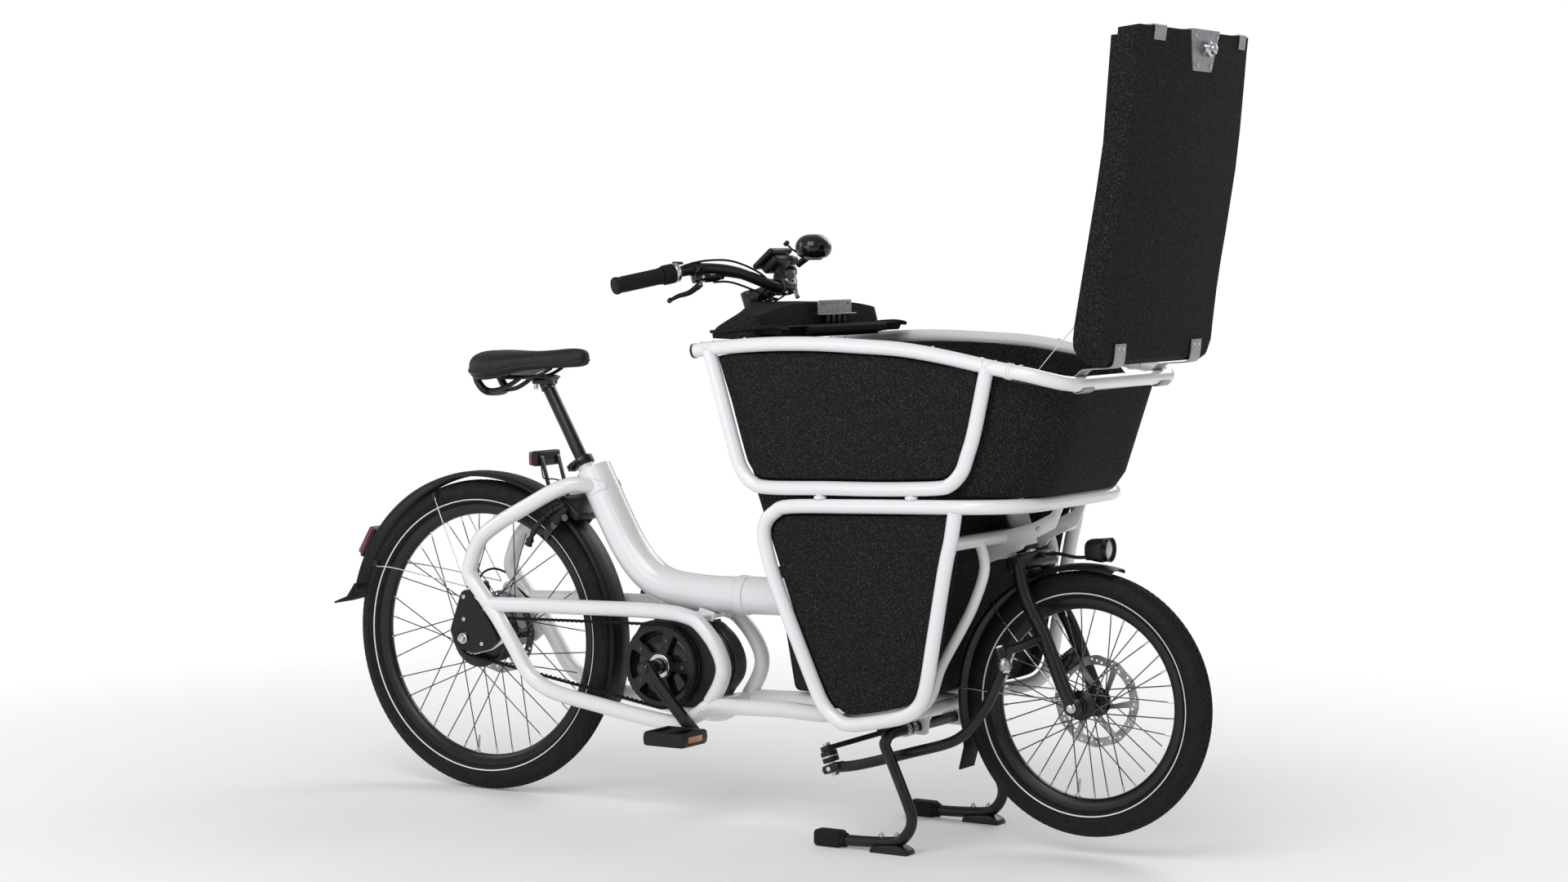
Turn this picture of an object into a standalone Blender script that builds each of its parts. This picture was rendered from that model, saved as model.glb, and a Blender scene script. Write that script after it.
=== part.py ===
"""Two-wheel front-box cargo bicycle: rigid frame, foam box with its lid open, rod steering, belt drive.

Metres, +X forward, +Y to the rider's left, +Z up, ground at z = 0. Dimensions are written from the
rear axle (x = 0) and the whole bicycle hangs on one empty that centres it over its own footprint.
"""

import math

import bmesh
import bpy
from mathutils import Matrix, Vector

# ---------------------------------------------------------------- driving dimensions
CENTRE_X = 0.6460            # rear axle to the middle of the overall length
SIDES = {"right": -1, "left": 1}
Y_AXIS = Vector((0, 1, 0))
Z_AXIS = Vector((0, 0, 1))

# wheels
REAR_AXLE = Vector((0.0, 0.0, 0.3345))
REAR_R = 0.3345
FRONT_AXLE = Vector((1.432, 0.0, 0.292))
FRONT_R = 0.258
TYRE_W = 0.055

# steering
TILT = math.radians(20.0)    # both steering axes lean back by this much
STEER_UP = Vector((-math.sin(TILT), 0, math.cos(TILT)))
STEER_FORWARD = Vector((math.cos(TILT), 0, math.sin(TILT)))   # square to the steering axes
COLUMN_FOOT = Vector((0.9795, 0.0, 0.205))
COLUMN_TOP = (1.046 - COLUMN_FOOT.z) / math.cos(TILT)   # measured along the column from its foot
FORK_CROWN = Vector((1.3055, 0.0, 0.575))
STEER_OFFSET = (-0.045, -0.150)   # lever pins from their steering axes: forward, sideways

# seat
SEAT_COLLAR = Vector((0.250, 0.0, 0.721))
SEAT_TILT = math.radians(30.0)
SEAT_UP = Vector((-math.sin(SEAT_TILT), 0, math.cos(SEAT_TILT)))
SEAT_BACK = Vector((-0.866, 0, -0.5))   # backward, square to the seatpost
POST_R = 0.0136

# drive
CRANK = Vector((0.477, 0.0, 0.304))
CRANK_LENGTH = 0.170
CRANK_ANGLE = math.radians(46.0)  # right arm below horizontal, pointing forward
RIGHT_ARM = Vector((math.cos(CRANK_ANGLE), 0, -math.sin(CRANK_ANGLE)))
PEDAL_HOLE_R = 0.0055
BELT_Y = -0.047
RING_R, PULLEY_R = 0.0850, 0.0408
RING_HALF_W = 0.0045         # belt ring and rear pulley, half thickness
BELT_T, BELT_W = 0.0040, 0.0110
BELT_GAP = 0.0012            # from a pulley to the line that BELT_T is measured from

# frame tubes
STAY_Y, STAY_R = 0.075, 0.0165
MAIN_R = 0.0375
LOOP_Y, LOOP_R = 0.265, 0.0140
CROSS_END_Y = 0.262          # ends of the tubes that cross between the two lower side loops

# box and lid
BOX_HALF = 0.248             # foam box outside half width
PAD_HALF = 0.262             # its side pads, proud inside the tube loops
PAD_INNER = 0.238
PAD_GAP = 0.0185             # from a loop's centreline to the pad's edge
WALL = 0.022
HINGE = Vector((1.500, 0.0, 0.917))
LID_OPEN = math.radians(88.0)
LID_HALF = 0.247
LATCH_Y = 0.042              # the latch sits left of centre, clear of the steering column

# kickstand
STAND_AXLE = Vector((1.100, 0.0, 0.232))
STAND_Y, STAND_R = 0.190, 0.0110

# name: linear base colour, roughness, metallic
COLOURS = {
    "white_paint": ((0.82, 0.82, 0.83), 0.22, 0.0),
    "black_paint": ((0.012, 0.012, 0.013), 0.35, 0.0),
    "foam": ((0.020, 0.020, 0.021), 0.85, 0.0),
    "black_plastic": ((0.014, 0.014, 0.015), 0.45, 0.0),
    "rubber": ((0.016, 0.016, 0.017), 0.75, 0.0),
    "saddle_skin": ((0.012, 0.012, 0.013), 0.55, 0.0),
    "steel": ((0.62, 0.62, 0.63), 0.30, 1.0),
    "grey_plate": ((0.32, 0.33, 0.34), 0.45, 0.6),
    "red_lens": ((0.25, 0.01, 0.02), 0.20, 0.0),
    "headlight": ((0.03, 0.03, 0.032), 0.25, 0.0),
}

for left_over in list(bpy.data.objects):
    bpy.data.objects.remove(left_over, do_unlink=True)

PARTS = bpy.data.collections.new("cargo_bicycle")
bpy.context.scene.collection.children.link(PARTS)
ROOT = bpy.data.objects.new("bicycle_origin", None)
ROOT.location = (-CENTRE_X, 0, 0)
PARTS.objects.link(ROOT)


def material(name):
    found = bpy.data.materials.get(name)
    if found is None:
        found = bpy.data.materials.new(name)
        found.use_nodes = True
        shader = found.node_tree.nodes["Principled BSDF"]
        colour, roughness, metallic = COLOURS[name]
        shader.inputs["Base Color"].default_value = (*colour, 1.0)
        shader.inputs["Roughness"].default_value = roughness
        shader.inputs["Metallic"].default_value = metallic
        found.diffuse_color = (*colour, 1.0)
    return found


# ---------------------------------------------------------------- points and directions
def arc(centre, radius, begin, end, steps):
    """steps + 1 points round a flat centre, from one angle to another in degrees."""
    points = []
    for i in range(steps + 1):
        angle = math.radians(begin + (end - begin) * i / steps)
        points.append((centre[0] + radius * math.cos(angle), centre[1] + radius * math.sin(angle)))
    return points


def ring(centre, radius, steps):
    return arc(centre, radius, 0, 360, steps)[:-1]


def sector(centre, outer, inner, begin, end, outer_steps, inner_steps):
    """Outline of a window between two radii, angles in degrees."""
    return (arc(centre, outer, begin, end, outer_steps)
            + arc(centre, inner, end, begin, inner_steps))


def both_sides(points):
    """A line on one side of the bicycle, carried on to the other side in reverse."""
    return points + [(x, -y, z) for x, y, z in reversed(points)]


def at_height(outline, z):
    return [(x, y, z) for x, y in outline]


def edge_normal(start, end):
    return Vector((-(end - start).y, (end - start).x)).normalized()


def inset(outline, by):
    """The outline moved inwards by this distance, corners mitred."""
    area = sum(a[0] * b[1] - b[0] * a[1] for a, b in zip(outline, outline[1:] + outline[:1]))
    sign = 1.0 if area > 0 else -1.0
    moved = []
    for i, point in enumerate(outline):
        here = Vector(point)
        normal_in = edge_normal(Vector(outline[i - 1]), here) * sign
        normal_out = edge_normal(here, Vector(outline[(i + 1) % len(outline)])) * sign
        middle = (normal_in + normal_out).normalized()
        moved.append(tuple(here + middle * by / max(0.5, middle.dot(normal_in))))
    return moved


def between(table, z):
    """The value at this height in a table of (z, value), carried on past its last row."""
    for (z0, v0), (z1, v1) in zip(table, table[1:]):
        if z <= z1:
            break
    return v0 + (v1 - v0) * (z - z0) / (z1 - z0)


def plan_ring(z, x_rear, x_front, half, r_rear, r_front, steps=3):
    """Rounded rectangle seen from above, anticlockwise from the rear right corner."""
    points = []
    for x, y, radius, begin in (
        (x_rear + r_rear, -half + r_rear, r_rear, 180),
        (x_front - r_front, -half + r_front, r_front, 270),
        (x_front - r_front, half - r_front, r_front, 0),
        (x_rear + r_rear, half - r_rear, r_rear, 90),
    ):
        points += at_height(arc((x, y), radius, begin, begin + 90, steps), z)
    return points


def steer_point(base, along, forward=0.0, side=0.0):
    return base + STEER_UP * along + STEER_FORWARD * forward + Vector((0, side, 0))


def column_x(z):
    return COLUMN_FOOT.x - (z - COLUMN_FOOT.z) * math.tan(TILT)


def outward(angle):
    """Unit direction in the XZ plane, in degrees above forward."""
    return Vector((math.cos(math.radians(angle)), 0, math.sin(math.radians(angle))))


def axes_matrix(*axes):
    return Matrix(axes).transposed().to_4x4()


# ---------------------------------------------------------------- modelling helpers
def new_object(mesh):
    obj = bpy.data.objects.new("piece", mesh)
    PARTS.objects.link(obj)
    return obj


def object_from(shape):
    """An object from a bmesh, which is freed."""
    mesh = bpy.data.meshes.new("shape")
    shape.to_mesh(mesh)
    shape.free()
    return new_object(mesh)


def tidy(mesh, near=1e-5):
    shape = bmesh.new()
    shape.from_mesh(mesh)
    bmesh.ops.remove_doubles(shape, verts=shape.verts, dist=near)
    bmesh.ops.recalc_face_normals(shape, faces=shape.faces)
    shape.to_mesh(mesh)
    shape.free()


def baked(obj, near=1e-5, matrix=None):
    """The object as a plain mesh object with its modifiers and transform applied."""
    bpy.context.view_layer.update()
    graph = bpy.context.evaluated_depsgraph_get()
    mesh = bpy.data.meshes.new_from_object(obj.evaluated_get(graph), depsgraph=graph)
    mesh.transform(obj.matrix_world if matrix is None else matrix @ obj.matrix_world)
    bpy.data.objects.remove(obj, do_unlink=True)
    tidy(mesh, near)
    return new_object(mesh)


def add_spline(curve, points, cyclic):
    spline = curve.splines.new("POLY")
    spline.points.add(len(points) - 1)
    for point, position in zip(spline.points, points):
        point.co = (*position, 1.0)
    spline.use_cyclic_u = cyclic


def tube(points, radius, sides=8):
    curve = bpy.data.curves.new("tube", "CURVE")
    curve.dimensions = "3D"
    curve.bevel_depth = radius
    curve.bevel_resolution = (sides - 4) // 2
    curve.use_fill_caps = True
    add_spline(curve, points, cyclic=False)
    return baked(new_object(curve))


def side_tube(points_xz, y, radius, sides=8):
    return tube([(x, y, z) for x, z in points_xz], radius, sides)


def add_cone(shape, start, end, radius, radius_end, sides, origin=Vector()):
    """Adds a closed cone or cylinder to a bmesh, start and end measured from the origin."""
    along = end - start
    turn = along.to_track_quat("Z", "Y").to_matrix().to_4x4()
    bmesh.ops.create_cone(
        shape, cap_ends=True, segments=sides, radius1=radius, radius2=radius_end,
        depth=along.length, matrix=Matrix.Translation(origin + (start + end) / 2) @ turn,
    )


def rod(start, end, radius, sides=10, radius_end=None):
    shape = bmesh.new()
    far_radius = radius if radius_end is None else radius_end
    add_cone(shape, Vector(start), Vector(end), radius, far_radius, sides)
    return object_from(shape)


def axial_rod(base, direction, low, high, radius, sides=12):
    """A rod along a direction, its ends measured from a base point."""
    return rod(base + direction * low, base + direction * high, radius, sides)


def cross_rod(x, z, y_start, y_end, radius, sides=12):
    return rod((x, y_start, z), (x, y_end, z), radius, sides)


def block(centre, size, axes=None, bevel=0.0):
    """A box of this size; axes are its three unit directions, world axes if not given."""
    shape = bmesh.new()
    bmesh.ops.create_cube(shape, size=1.0, matrix=Matrix.Diagonal((*size, 1.0)))
    obj = object_from(shape)
    if bevel:
        rounding = obj.modifiers.new("rounding", "BEVEL")
        rounding.width = bevel
        rounding.segments = 1
        rounding.limit_method = "NONE"
    turn = Matrix.Identity(4) if axes is None else axes_matrix(*axes)
    return baked(obj, matrix=Matrix.Translation(centre) @ turn)


def radial_block(axle, radius, angle, size):
    """A bevelled box whose first side points away from the axle, degrees above forward."""
    out = outward(angle)
    return block(axle + out * radius, size, (out, Y_AXIS, out.cross(Y_AXIS)), bevel=0.003)


def plate(outlines, y_low, y_high, matrix=None):
    """A flat shape in the XZ plane from y_low to y_high; outlines after the first are holes."""
    curve = bpy.data.curves.new("plate", "CURVE")
    curve.dimensions = "2D"
    curve.fill_mode = "BOTH"
    curve.extrude = (y_high - y_low) / 2
    for outline in outlines:
        add_spline(curve, [(x, z, 0.0) for x, z in outline], cyclic=True)
    middle = Matrix.Translation((0, (y_low + y_high) / 2, 0))
    stand_up = middle @ Matrix.Rotation(math.pi / 2, 4, "X")
    return baked(new_object(curve), matrix=stand_up if matrix is None else matrix @ stand_up)


def side_plate(outline, side, near, far):
    """A plate on one side of the bicycle, between two distances from its middle plane."""
    return plate([outline], *sorted((side * near, side * far)))


def turned(profile, centre, steps, closed_profile=False, sweep=360.0, start=0.0, axis="Y"):
    """A profile of (radius, along-axis) points turned about an axis through centre."""
    mesh = bpy.data.meshes.new("profile")
    edges = [(i, i + 1) for i in range(len(profile) - 1)]
    if closed_profile:
        edges.append((len(profile) - 1, 0))
    sign = -1 if axis == "Y" else 1
    mesh.from_pydata([(radius, 0.0, sign * along) for radius, along in profile], edges, [])
    obj = new_object(mesh)
    screw = obj.modifiers.new("turn", "SCREW")
    screw.steps = screw.render_steps = steps
    screw.angle = math.radians(sweep)
    screw.use_merge_vertices = True
    screw.merge_threshold = 1e-5
    # the Screw turns about local Z, which is laid along world -Y for the Y axis
    lay = {"Y": axes_matrix((1, 0, 0), (0, 0, 1), (0, -1, 0)), "Z": Matrix.Identity(4)}[axis]
    turn = Matrix.Rotation(math.radians(start), 4, "Z")
    obj = baked(obj, matrix=Matrix.Translation(centre) @ lay @ turn)
    if sweep < 360.0:
        shape = bmesh.new()
        shape.from_mesh(obj.data)
        open_edges = [edge for edge in shape.edges if edge.is_boundary]
        bmesh.ops.holes_fill(shape, edges=open_edges, sides=0)
        bmesh.ops.recalc_face_normals(shape, faces=shape.faces)
        shape.to_mesh(obj.data)
        shape.free()
    return obj


def loft(rings):
    """Closed solid through rings of equally many points."""
    count = len(rings[0])
    faces = [list(range(count))[::-1]]
    for level in range(len(rings) - 1):
        low, high = level * count, (level + 1) * count
        for i in range(count):
            after = (i + 1) % count
            faces.append((low + i, low + after, high + after, high + i))
    faces.append([(len(rings) - 1) * count + i for i in range(count)])
    mesh = bpy.data.meshes.new("loft")
    mesh.from_pydata([tuple(point) for one in rings for point in one], [], faces)
    tidy(mesh)
    return new_object(mesh)


def boolean(target, other, operation, own=False):
    step = target.modifiers.new("step", "BOOLEAN")
    step.operation = operation
    step.solver = "EXACT"
    step.use_self = own
    step.object = other
    result = baked(target, near=1e-6)
    bpy.data.objects.remove(other, do_unlink=True)
    return result


def joined(first, *others, own=False):
    """The union; own lets the first step also merge where the first piece crosses itself."""
    for other in others:
        first = boolean(first, other, "UNION", own)
        own = False
    return first


def cut(target, *cutters):
    for cutter in cutters:
        target = boolean(target, cutter, "DIFFERENCE")
    return target


def mirrored(obj):
    """The object itself, reflected to the other side of the bicycle."""
    obj.data.transform(Matrix.Diagonal((1, -1, 1, 1)))
    obj.data.flip_normals()
    return obj


def node(obj, name, paint, origin=(0, 0, 0), smooth=35.0):
    """Finishes a piece: name, origin, parent, material and shading (sharp above this angle)."""
    origin = Vector(origin)
    obj.name = name
    obj.data.name = name
    obj.data.transform(Matrix.Translation(-origin))
    obj.location = origin
    obj.parent = ROOT
    obj.data.materials.clear()
    obj.data.materials.append(material(paint))
    obj.data.shade_smooth()
    obj.data.set_sharp_from_angle(angle=math.radians(smooth))


# ---------------------------------------------------------------- rear frame
# top of the right stay, crossing in from the main tube: x, y, z
STAY_TOP = [(0.300, -0.020, 0.668), (0.262, -0.052, 0.671), (0.223, -0.066, 0.657),
            (0.156, -STAY_Y, 0.621)]
# rest of the stay, down behind the axle and forward below the motor: x, z
STAY_LINE = [(0.088, 0.585), (0.039, 0.549), (0.015, 0.503), (0.011, 0.470), (0.045, 0.427),
             (0.086, 0.379), (0.160, 0.273), (0.194, 0.248), (0.241, 0.232), (0.320, 0.219),
             (0.521, 0.193), (0.585, 0.214), (0.612, 0.232), (0.6405, 0.2365)]
# middle stay, forward and down round the motor: x, z
MID_LINE = [(0.062, 0.410), (0.275, 0.417), (0.521, 0.420), (0.559, 0.415), (0.590, 0.403),
            (0.627, 0.365), (0.648, 0.322), (0.643, 0.285), (0.618, 0.242)]
# main tube, from the seat collar forward: x, z
MAIN_LINE = [(0.2790, 0.7020), (0.335, 0.600), (0.372, 0.540), (0.415, 0.493), (0.470, 0.465),
             (0.560, 0.456), (0.6440, 0.457)]
# dropout plate round the rear axle: x, z
DROPOUT = [(0.020, 0.446), (-0.006, 0.438), (-0.034, 0.346), (-0.022, 0.318), (0.010, 0.306),
           (0.060, 0.315), (0.112, 0.334), (0.083, 0.376), (0.040, 0.430)]
SEAT_BORE_R = 0.0146
REAR_AXLE_HOLE_R = 0.0078


def make_rear_frame():
    frame = joined(
        side_tube(MAIN_LINE, 0.0, MAIN_R, 12),
        axial_rod(SEAT_COLLAR, SEAT_UP, -0.060, 0.004, 0.0175),
    )
    for side in SIDES.values():
        stay = [(x, y * -side, z) for x, y, z in STAY_TOP]
        stay += [(x, side * STAY_Y, z) for x, z in STAY_LINE]
        frame = joined(
            frame,
            tube(stay, STAY_R),
            side_tube(MID_LINE, side * STAY_Y, STAY_R - 0.0006),
        )
    # crosspieces: over the motor, at the stays' front ends and near the collar
    frame = joined(
        frame,
        block((0.578, 0, 0.4125), (0.030, 0.140, 0.026)),
        cross_rod(0.6175, 0.2365, -0.0745, 0.0745, 0.0120, 8),
        cross_rod(0.2430, 0.6620, -0.0600, 0.0600, 0.0080, 8),
        *[side_plate(DROPOUT, side, 0.0675, 0.0735) for side in SIDES.values()],
    )
    frame = cut(
        frame,
        axial_rod(SEAT_COLLAR, SEAT_UP, -0.215, 0.02, SEAT_BORE_R),
        cross_rod(0, REAR_AXLE.z, -0.1, 0.1, REAR_AXLE_HOLE_R, 10),
    )
    node(frame, "rear_frame", "white_paint")


# ---------------------------------------------------------------- front frame
# lower side loop, down its front, back along the bottom, up the column and forward: x, z
LOW_LOOP = [(1.283, 0.674), (1.262, 0.566), (1.237, 0.422), (1.222, 0.338), (1.206, 0.302),
            (1.176, 0.281), (1.118, 0.266), (1.056, 0.256), (1.023, 0.267), (0.998, 0.290),
            (0.975, 0.332), (0.909, 0.477), (0.881, 0.545), (0.864, 0.606), (0.867, 0.636),
            (0.888, 0.658), (0.922, 0.670), (1.056, 0.676), (1.285, 0.684)]
# right half of the bar that joins the loops round the front: x, y, z
FRONT_BAR = [(1.332, -0.2555, 0.6855), (1.371, -0.228, 0.686), (1.394, -0.187, 0.686),
             (1.400, -0.140, 0.686)]
# tube continuing each lower stay forward under the box: x, z
BOTTOM_LINE = [(0.6443, 0.2365), (0.706, 0.238), (0.793, 0.241), (0.886, 0.239), (0.950, 0.250),
               (1.000, 0.2615), (1.1255, 0.2615)]
# main tube, carried on to the column: x, z
BOOM_LINE = [(0.6445, 0.4570), (0.760, 0.4590), (0.8860, 0.4620)]
# strut from the upper cross tube down to the bottom one: x, z
STRUT = [(1.271, 0.612), (1.284, 0.560), (1.262, 0.492), (1.235, 0.440), (1.190, 0.362),
         (1.167, 0.300), (1.126, 0.2650)]
STRUT_Y = 0.146
# plate beside the head tube, up to the front bar: x, z
GUSSET = [(1.2400, 0.5605), (1.2370, 0.6045), (1.3360, 0.6320), (1.3790, 0.6560),
          (1.3950, 0.6820), (1.4050, 0.6800), (1.3850, 0.6330), (1.3165, 0.5915)]
# hanging plate that carries the kickstand axle: x, z
LUG = [(1.074, 0.262), (1.078, 0.216), (1.122, 0.216), (1.126, 0.262)]
# tubes between the two lower loops: x, z, radius
CROSS_TUBES = [(1.270, 0.612, 0.0135), (1.030, 0.2600, 0.0125), (1.125, 0.2655, 0.0125)]
HEAD_TUBE_R = 0.0220
COLUMN_BORE_R, FORK_BORE_R = 0.0136, 0.0146


def make_front_frame():
    half_loop = [(x, -LOOP_Y, z) for x, z in LOW_LOOP] + FRONT_BAR
    cross_tubes = [cross_rod(x, z, -CROSS_END_Y, CROSS_END_Y, radius, 8)
                   for x, z, radius in CROSS_TUBES]
    front = joined(tube(both_sides(half_loop), LOOP_R), *cross_tubes, own=True)
    front = joined(
        front,
        *[side_tube(BOTTOM_LINE, side * STAY_Y, STAY_R) for side in SIDES.values()],
        cross_rod(0.935, 0.2510, -0.0745, 0.0745, 0.0120, 8),
        axial_rod(COLUMN_FOOT, STEER_UP, 0.044, 0.795, HEAD_TUBE_R),
        side_tube(BOOM_LINE, 0.0, MAIN_R + 0.0015, 12),
        *[side_tube(STRUT, side * STRUT_Y, 0.0105) for side in SIDES.values()],
        *[side_plate(GUSSET, side, 0.0480, 0.0520) for side in SIDES.values()],
        axial_rod(FORK_CROWN, STEER_UP, 0.010, 0.112, HEAD_TUBE_R),
        *[side_plate(LUG, side, 0.0700, 0.0800) for side in SIDES.values()],
    )
    front = cut(
        front,
        axial_rod(COLUMN_FOOT, STEER_UP, -0.05, 0.85, COLUMN_BORE_R),
        axial_rod(FORK_CROWN, STEER_UP, -0.02, 0.15, FORK_BORE_R),
        cross_rod(STAND_AXLE.x, STAND_AXLE.z, -0.1, 0.1, STAND_R + 0.0012),
    )
    node(front, "front_frame", "white_paint")


# ---------------------------------------------------------------- upper side loops and front rail
# rail along the top of the box: x, z
TOP_RAIL = [(0.702, 0.966), (0.740, 0.972), (0.858, 0.982), (0.969, 0.985), (1.079, 0.982),
            (1.165, 0.978), (1.250, 0.967), (1.334, 0.952), (1.3955, 0.9415)]
# loop hanging below the rail, rear end first: x, z
UP_LOOP = [(0.737, 0.968), (0.756, 0.909), (0.770, 0.863), (0.800, 0.767), (0.813, 0.737),
           (0.834, 0.715), (0.871, 0.705), (1.123, 0.7115), (1.242, 0.718), (1.274, 0.727),
           (1.297, 0.751), (1.309, 0.782), (1.324, 0.830), (1.349, 0.946)]
# right half of the rail round the front, which is also the lid's hinge bar: x, y, z
FRONT_RAIL = [(1.3960, -LOOP_Y, 0.9414), (1.432, -0.2640, 0.9360), (1.463, -0.2530, 0.9285),
              (1.486, -0.2330, 0.9215), (1.498, -0.2080, 0.9180), (1.500, -0.1950, 0.9170)]


def make_upper_tubes():
    for name, side in SIDES.items():
        loop = joined(
            side_tube(TOP_RAIL, side * LOOP_Y, LOOP_R),
            side_tube(UP_LOOP, side * LOOP_Y, LOOP_R),
        )
        node(loop, f"upper_loop_{name}", "white_paint")
    node(tube(both_sides(FRONT_RAIL), LOOP_R, 10), "top_front_rail", "white_paint")


# ---------------------------------------------------------------- foam box
# front face of the tub: z, x
TUB_FRONT = [(0.703, 1.420), (0.730, 1.440), (0.900, 1.4965), (1.050, 1.5400)]
TUB_LEVELS = (0.7030, 0.7300, 0.8000, 0.9000, 1.0200)
TUB_HOLLOW_LEVELS = (0.7250, 0.8000, 0.9000, 1.0600)
TUB_CORNER_R, TUB_HOLLOW_CORNER_R = 0.130, 0.110   # front corners
# side view of what is kept of the tub, its upper edge being the rim: x, z
RIM = [(0.600, 0.660), (0.600, 0.9500), (0.735, 0.9550), (0.800, 0.9660), (0.970, 0.9760),
       (1.100, 0.9740), (1.250, 0.9590), (1.3750, 0.9370), (1.3900, 0.9210), (1.4480, 0.9130),
       (1.5100, 0.8960), (1.600, 0.8800), (1.600, 0.660)]
# the opening framed by the upper loop and its rail: x, z
UP_OPENING = UP_LOOP[1:-1] + [
    (1.347, 0.949), (1.250, 0.967), (1.165, 0.978), (1.079, 0.982), (0.969, 0.985),
    (0.858, 0.982), (0.745, 0.972)]
# front face of the well, at the middle and at the sides: z, x
WELL_MID = [(0.2820, 1.090), (0.3000, 1.138), (0.389, 1.160), (0.500, 1.200), (0.585, 1.229),
            (0.7024, 1.231)]
WELL_SIDE = [(0.2820, 1.095), (0.3000, 1.160), (0.389, 1.210), (0.500, 1.230), (0.585, 1.243),
             (0.7024, 1.245)]
WELL_HOLLOW_LEVELS = (0.304, 0.389, 0.500, 0.585, 0.720)
TUB_COLUMN_GAP, WELL_COLUMN_GAP = 0.027, 0.030   # steering axis to the rear face, forward
WELL_CORNER_R = 0.012


def with_side_pads(body, opening):
    outline = inset(opening, PAD_GAP)
    return joined(
        body, *[side_plate(outline, side, PAD_INNER, PAD_HALF) for side in SIDES.values()])


def tub_solid(levels, shrink, half, r_front):
    return loft([
        plan_ring(z, column_x(z) + TUB_COLUMN_GAP + shrink,
                  between(TUB_FRONT, max(z, TUB_FRONT[0][0])) - shrink, half, 0.030, r_front)
        for z in levels
    ])


def make_box_tub():
    solid = tub_solid(TUB_LEVELS, 0.0, BOX_HALF, TUB_CORNER_R)
    tub = boolean(solid, plate([RIM], -0.4, 0.4), "INTERSECT")
    tub = cut(
        with_side_pads(tub, UP_OPENING),
        tub_solid(TUB_HOLLOW_LEVELS, WALL, BOX_HALF - WALL, TUB_HOLLOW_CORNER_R),
        # opening in the floor, down into the well
        loft([plan_ring(z, 0.856, 1.209, 0.2215, WELL_CORNER_R, WELL_CORNER_R, 2)
              for z in (0.690, 0.740)]),
    )
    node(tub, "box_tub", "foam")


def well_ring(z):
    rear, mid, front = column_x(z) + WELL_COLUMN_GAP, between(WELL_MID, z), between(WELL_SIDE, z)
    right = [(rear, -0.235), (rear + 0.013, -BOX_HALF), (front - 0.012, -BOX_HALF),
             (front, -0.236), (front, -0.176), (mid, -0.166)]
    return both_sides(at_height(right, z))


def make_box_well():
    hollow = loft([
        plan_ring(z, column_x(z) + WELL_COLUMN_GAP + WALL, between(WELL_MID, z) - WALL,
                  BOX_HALF - WALL, WELL_CORNER_R, WELL_CORNER_R, 2)
        for z in WELL_HOLLOW_LEVELS
    ])
    well = loft([well_ring(z) for z, _ in WELL_MID])
    node(cut(with_side_pads(well, LOW_LOOP[1:]), hollow), "box_well", "foam")


# ---------------------------------------------------------------- rear cover and catch
# cover seen from above, at its foot and at its top: x, y
COVER_PLAN = [(0.838, -0.246), (0.838, 0.246), (0.770, 0.246), (0.706, 0.215), (0.690, 0.120),
              (0.640, 0.070), (0.622, 0.030), (0.622, -0.030), (0.640, -0.070), (0.690, -0.120),
              (0.706, -0.215), (0.770, -0.246)]
COVER_TOP = [(0.838, -0.222), (0.838, 0.222), (0.800, 0.215), (0.765, 0.180), (0.742, 0.110),
             (0.705, 0.060), (0.690, 0.026), (0.690, -0.026), (0.705, -0.060), (0.742, -0.110),
             (0.765, -0.180), (0.800, -0.215)]


def make_rear_cover():
    """A cap over the column head, open underneath."""
    inner_plan, inner_top = inset(COVER_PLAN, 0.008), inset(COVER_TOP, 0.012)
    cover = joined(
        loft([at_height(COVER_PLAN, 0.9900), at_height(COVER_PLAN, 1.0050),
              at_height(COVER_TOP, 1.0580)]),
        block((0.868, 0, 1.0070), (0.066, 0.470, 0.0160)),
    )
    cover = cut(
        cover,
        loft([at_height(inner_plan, 0.9800), at_height(inner_plan, 1.0020),
              at_height(inner_top, 1.0480)]),
        axial_rod(COLUMN_FOOT, STEER_UP, 0.70, 1.10, 0.0260),
    )
    node(cover, "rear_cover", "foam")


def make_catch_plate():
    """An angle plate on the cover's front edge, slotted in its flat leg."""
    catch = cut(
        block((0.8470, LATCH_Y, 1.0350), (0.0160, 0.130, 0.0030)),
        block((0.8495, LATCH_Y, 1.0350), (0.0060, 0.060, 0.0200)),
    )
    catch = joined(catch, block((0.8415, LATCH_Y, 1.0480), (0.0030, 0.130, 0.0285)))
    node(catch, "catch_plate", "grey_plate")


# ---------------------------------------------------------------- lid, shaped closed, then opened
# side view of the closed lid, its top from the front and its lower edge from the rear: x, z
LID_TOP = [(1.467, 0.980), (1.458, 0.990), (1.394, 0.997), (1.272, 1.020), (1.164, 1.042),
           (1.027, 1.065), (0.877, 1.081), (0.849, 1.088)]
LID_RIM = [(0.8600, 1.0300), (1.059, 1.0080), (1.144, 0.9920), (1.249, 0.9700), (1.393, 0.9390),
           (1.431, 0.9330), (1.4680, 0.9405)]
# side view of its hollow, reaching down past the lower edge: x, z
LID_HOLLOW = [(1.440, 0.970), (1.390, 0.975), (1.272, 0.998), (1.164, 1.020), (1.027, 1.043),
              (0.895, 1.058), (0.895, 0.900), (1.440, 0.900)]
# hinge strap beyond its wrap round the rail: x, z
STRAP_END = [(1.4725, 0.9350), (1.4706, 0.9815), (1.4600, 0.9935), (1.4100, 0.9985)]
STRAP_WRAP_R = 0.0166
STRAP_HALF_T, STRAP_HALF_W = 0.0011, 0.0225
STRAP_Y = 0.170
LOCK = Vector((0.882, LATCH_Y, 1.0850))


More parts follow.
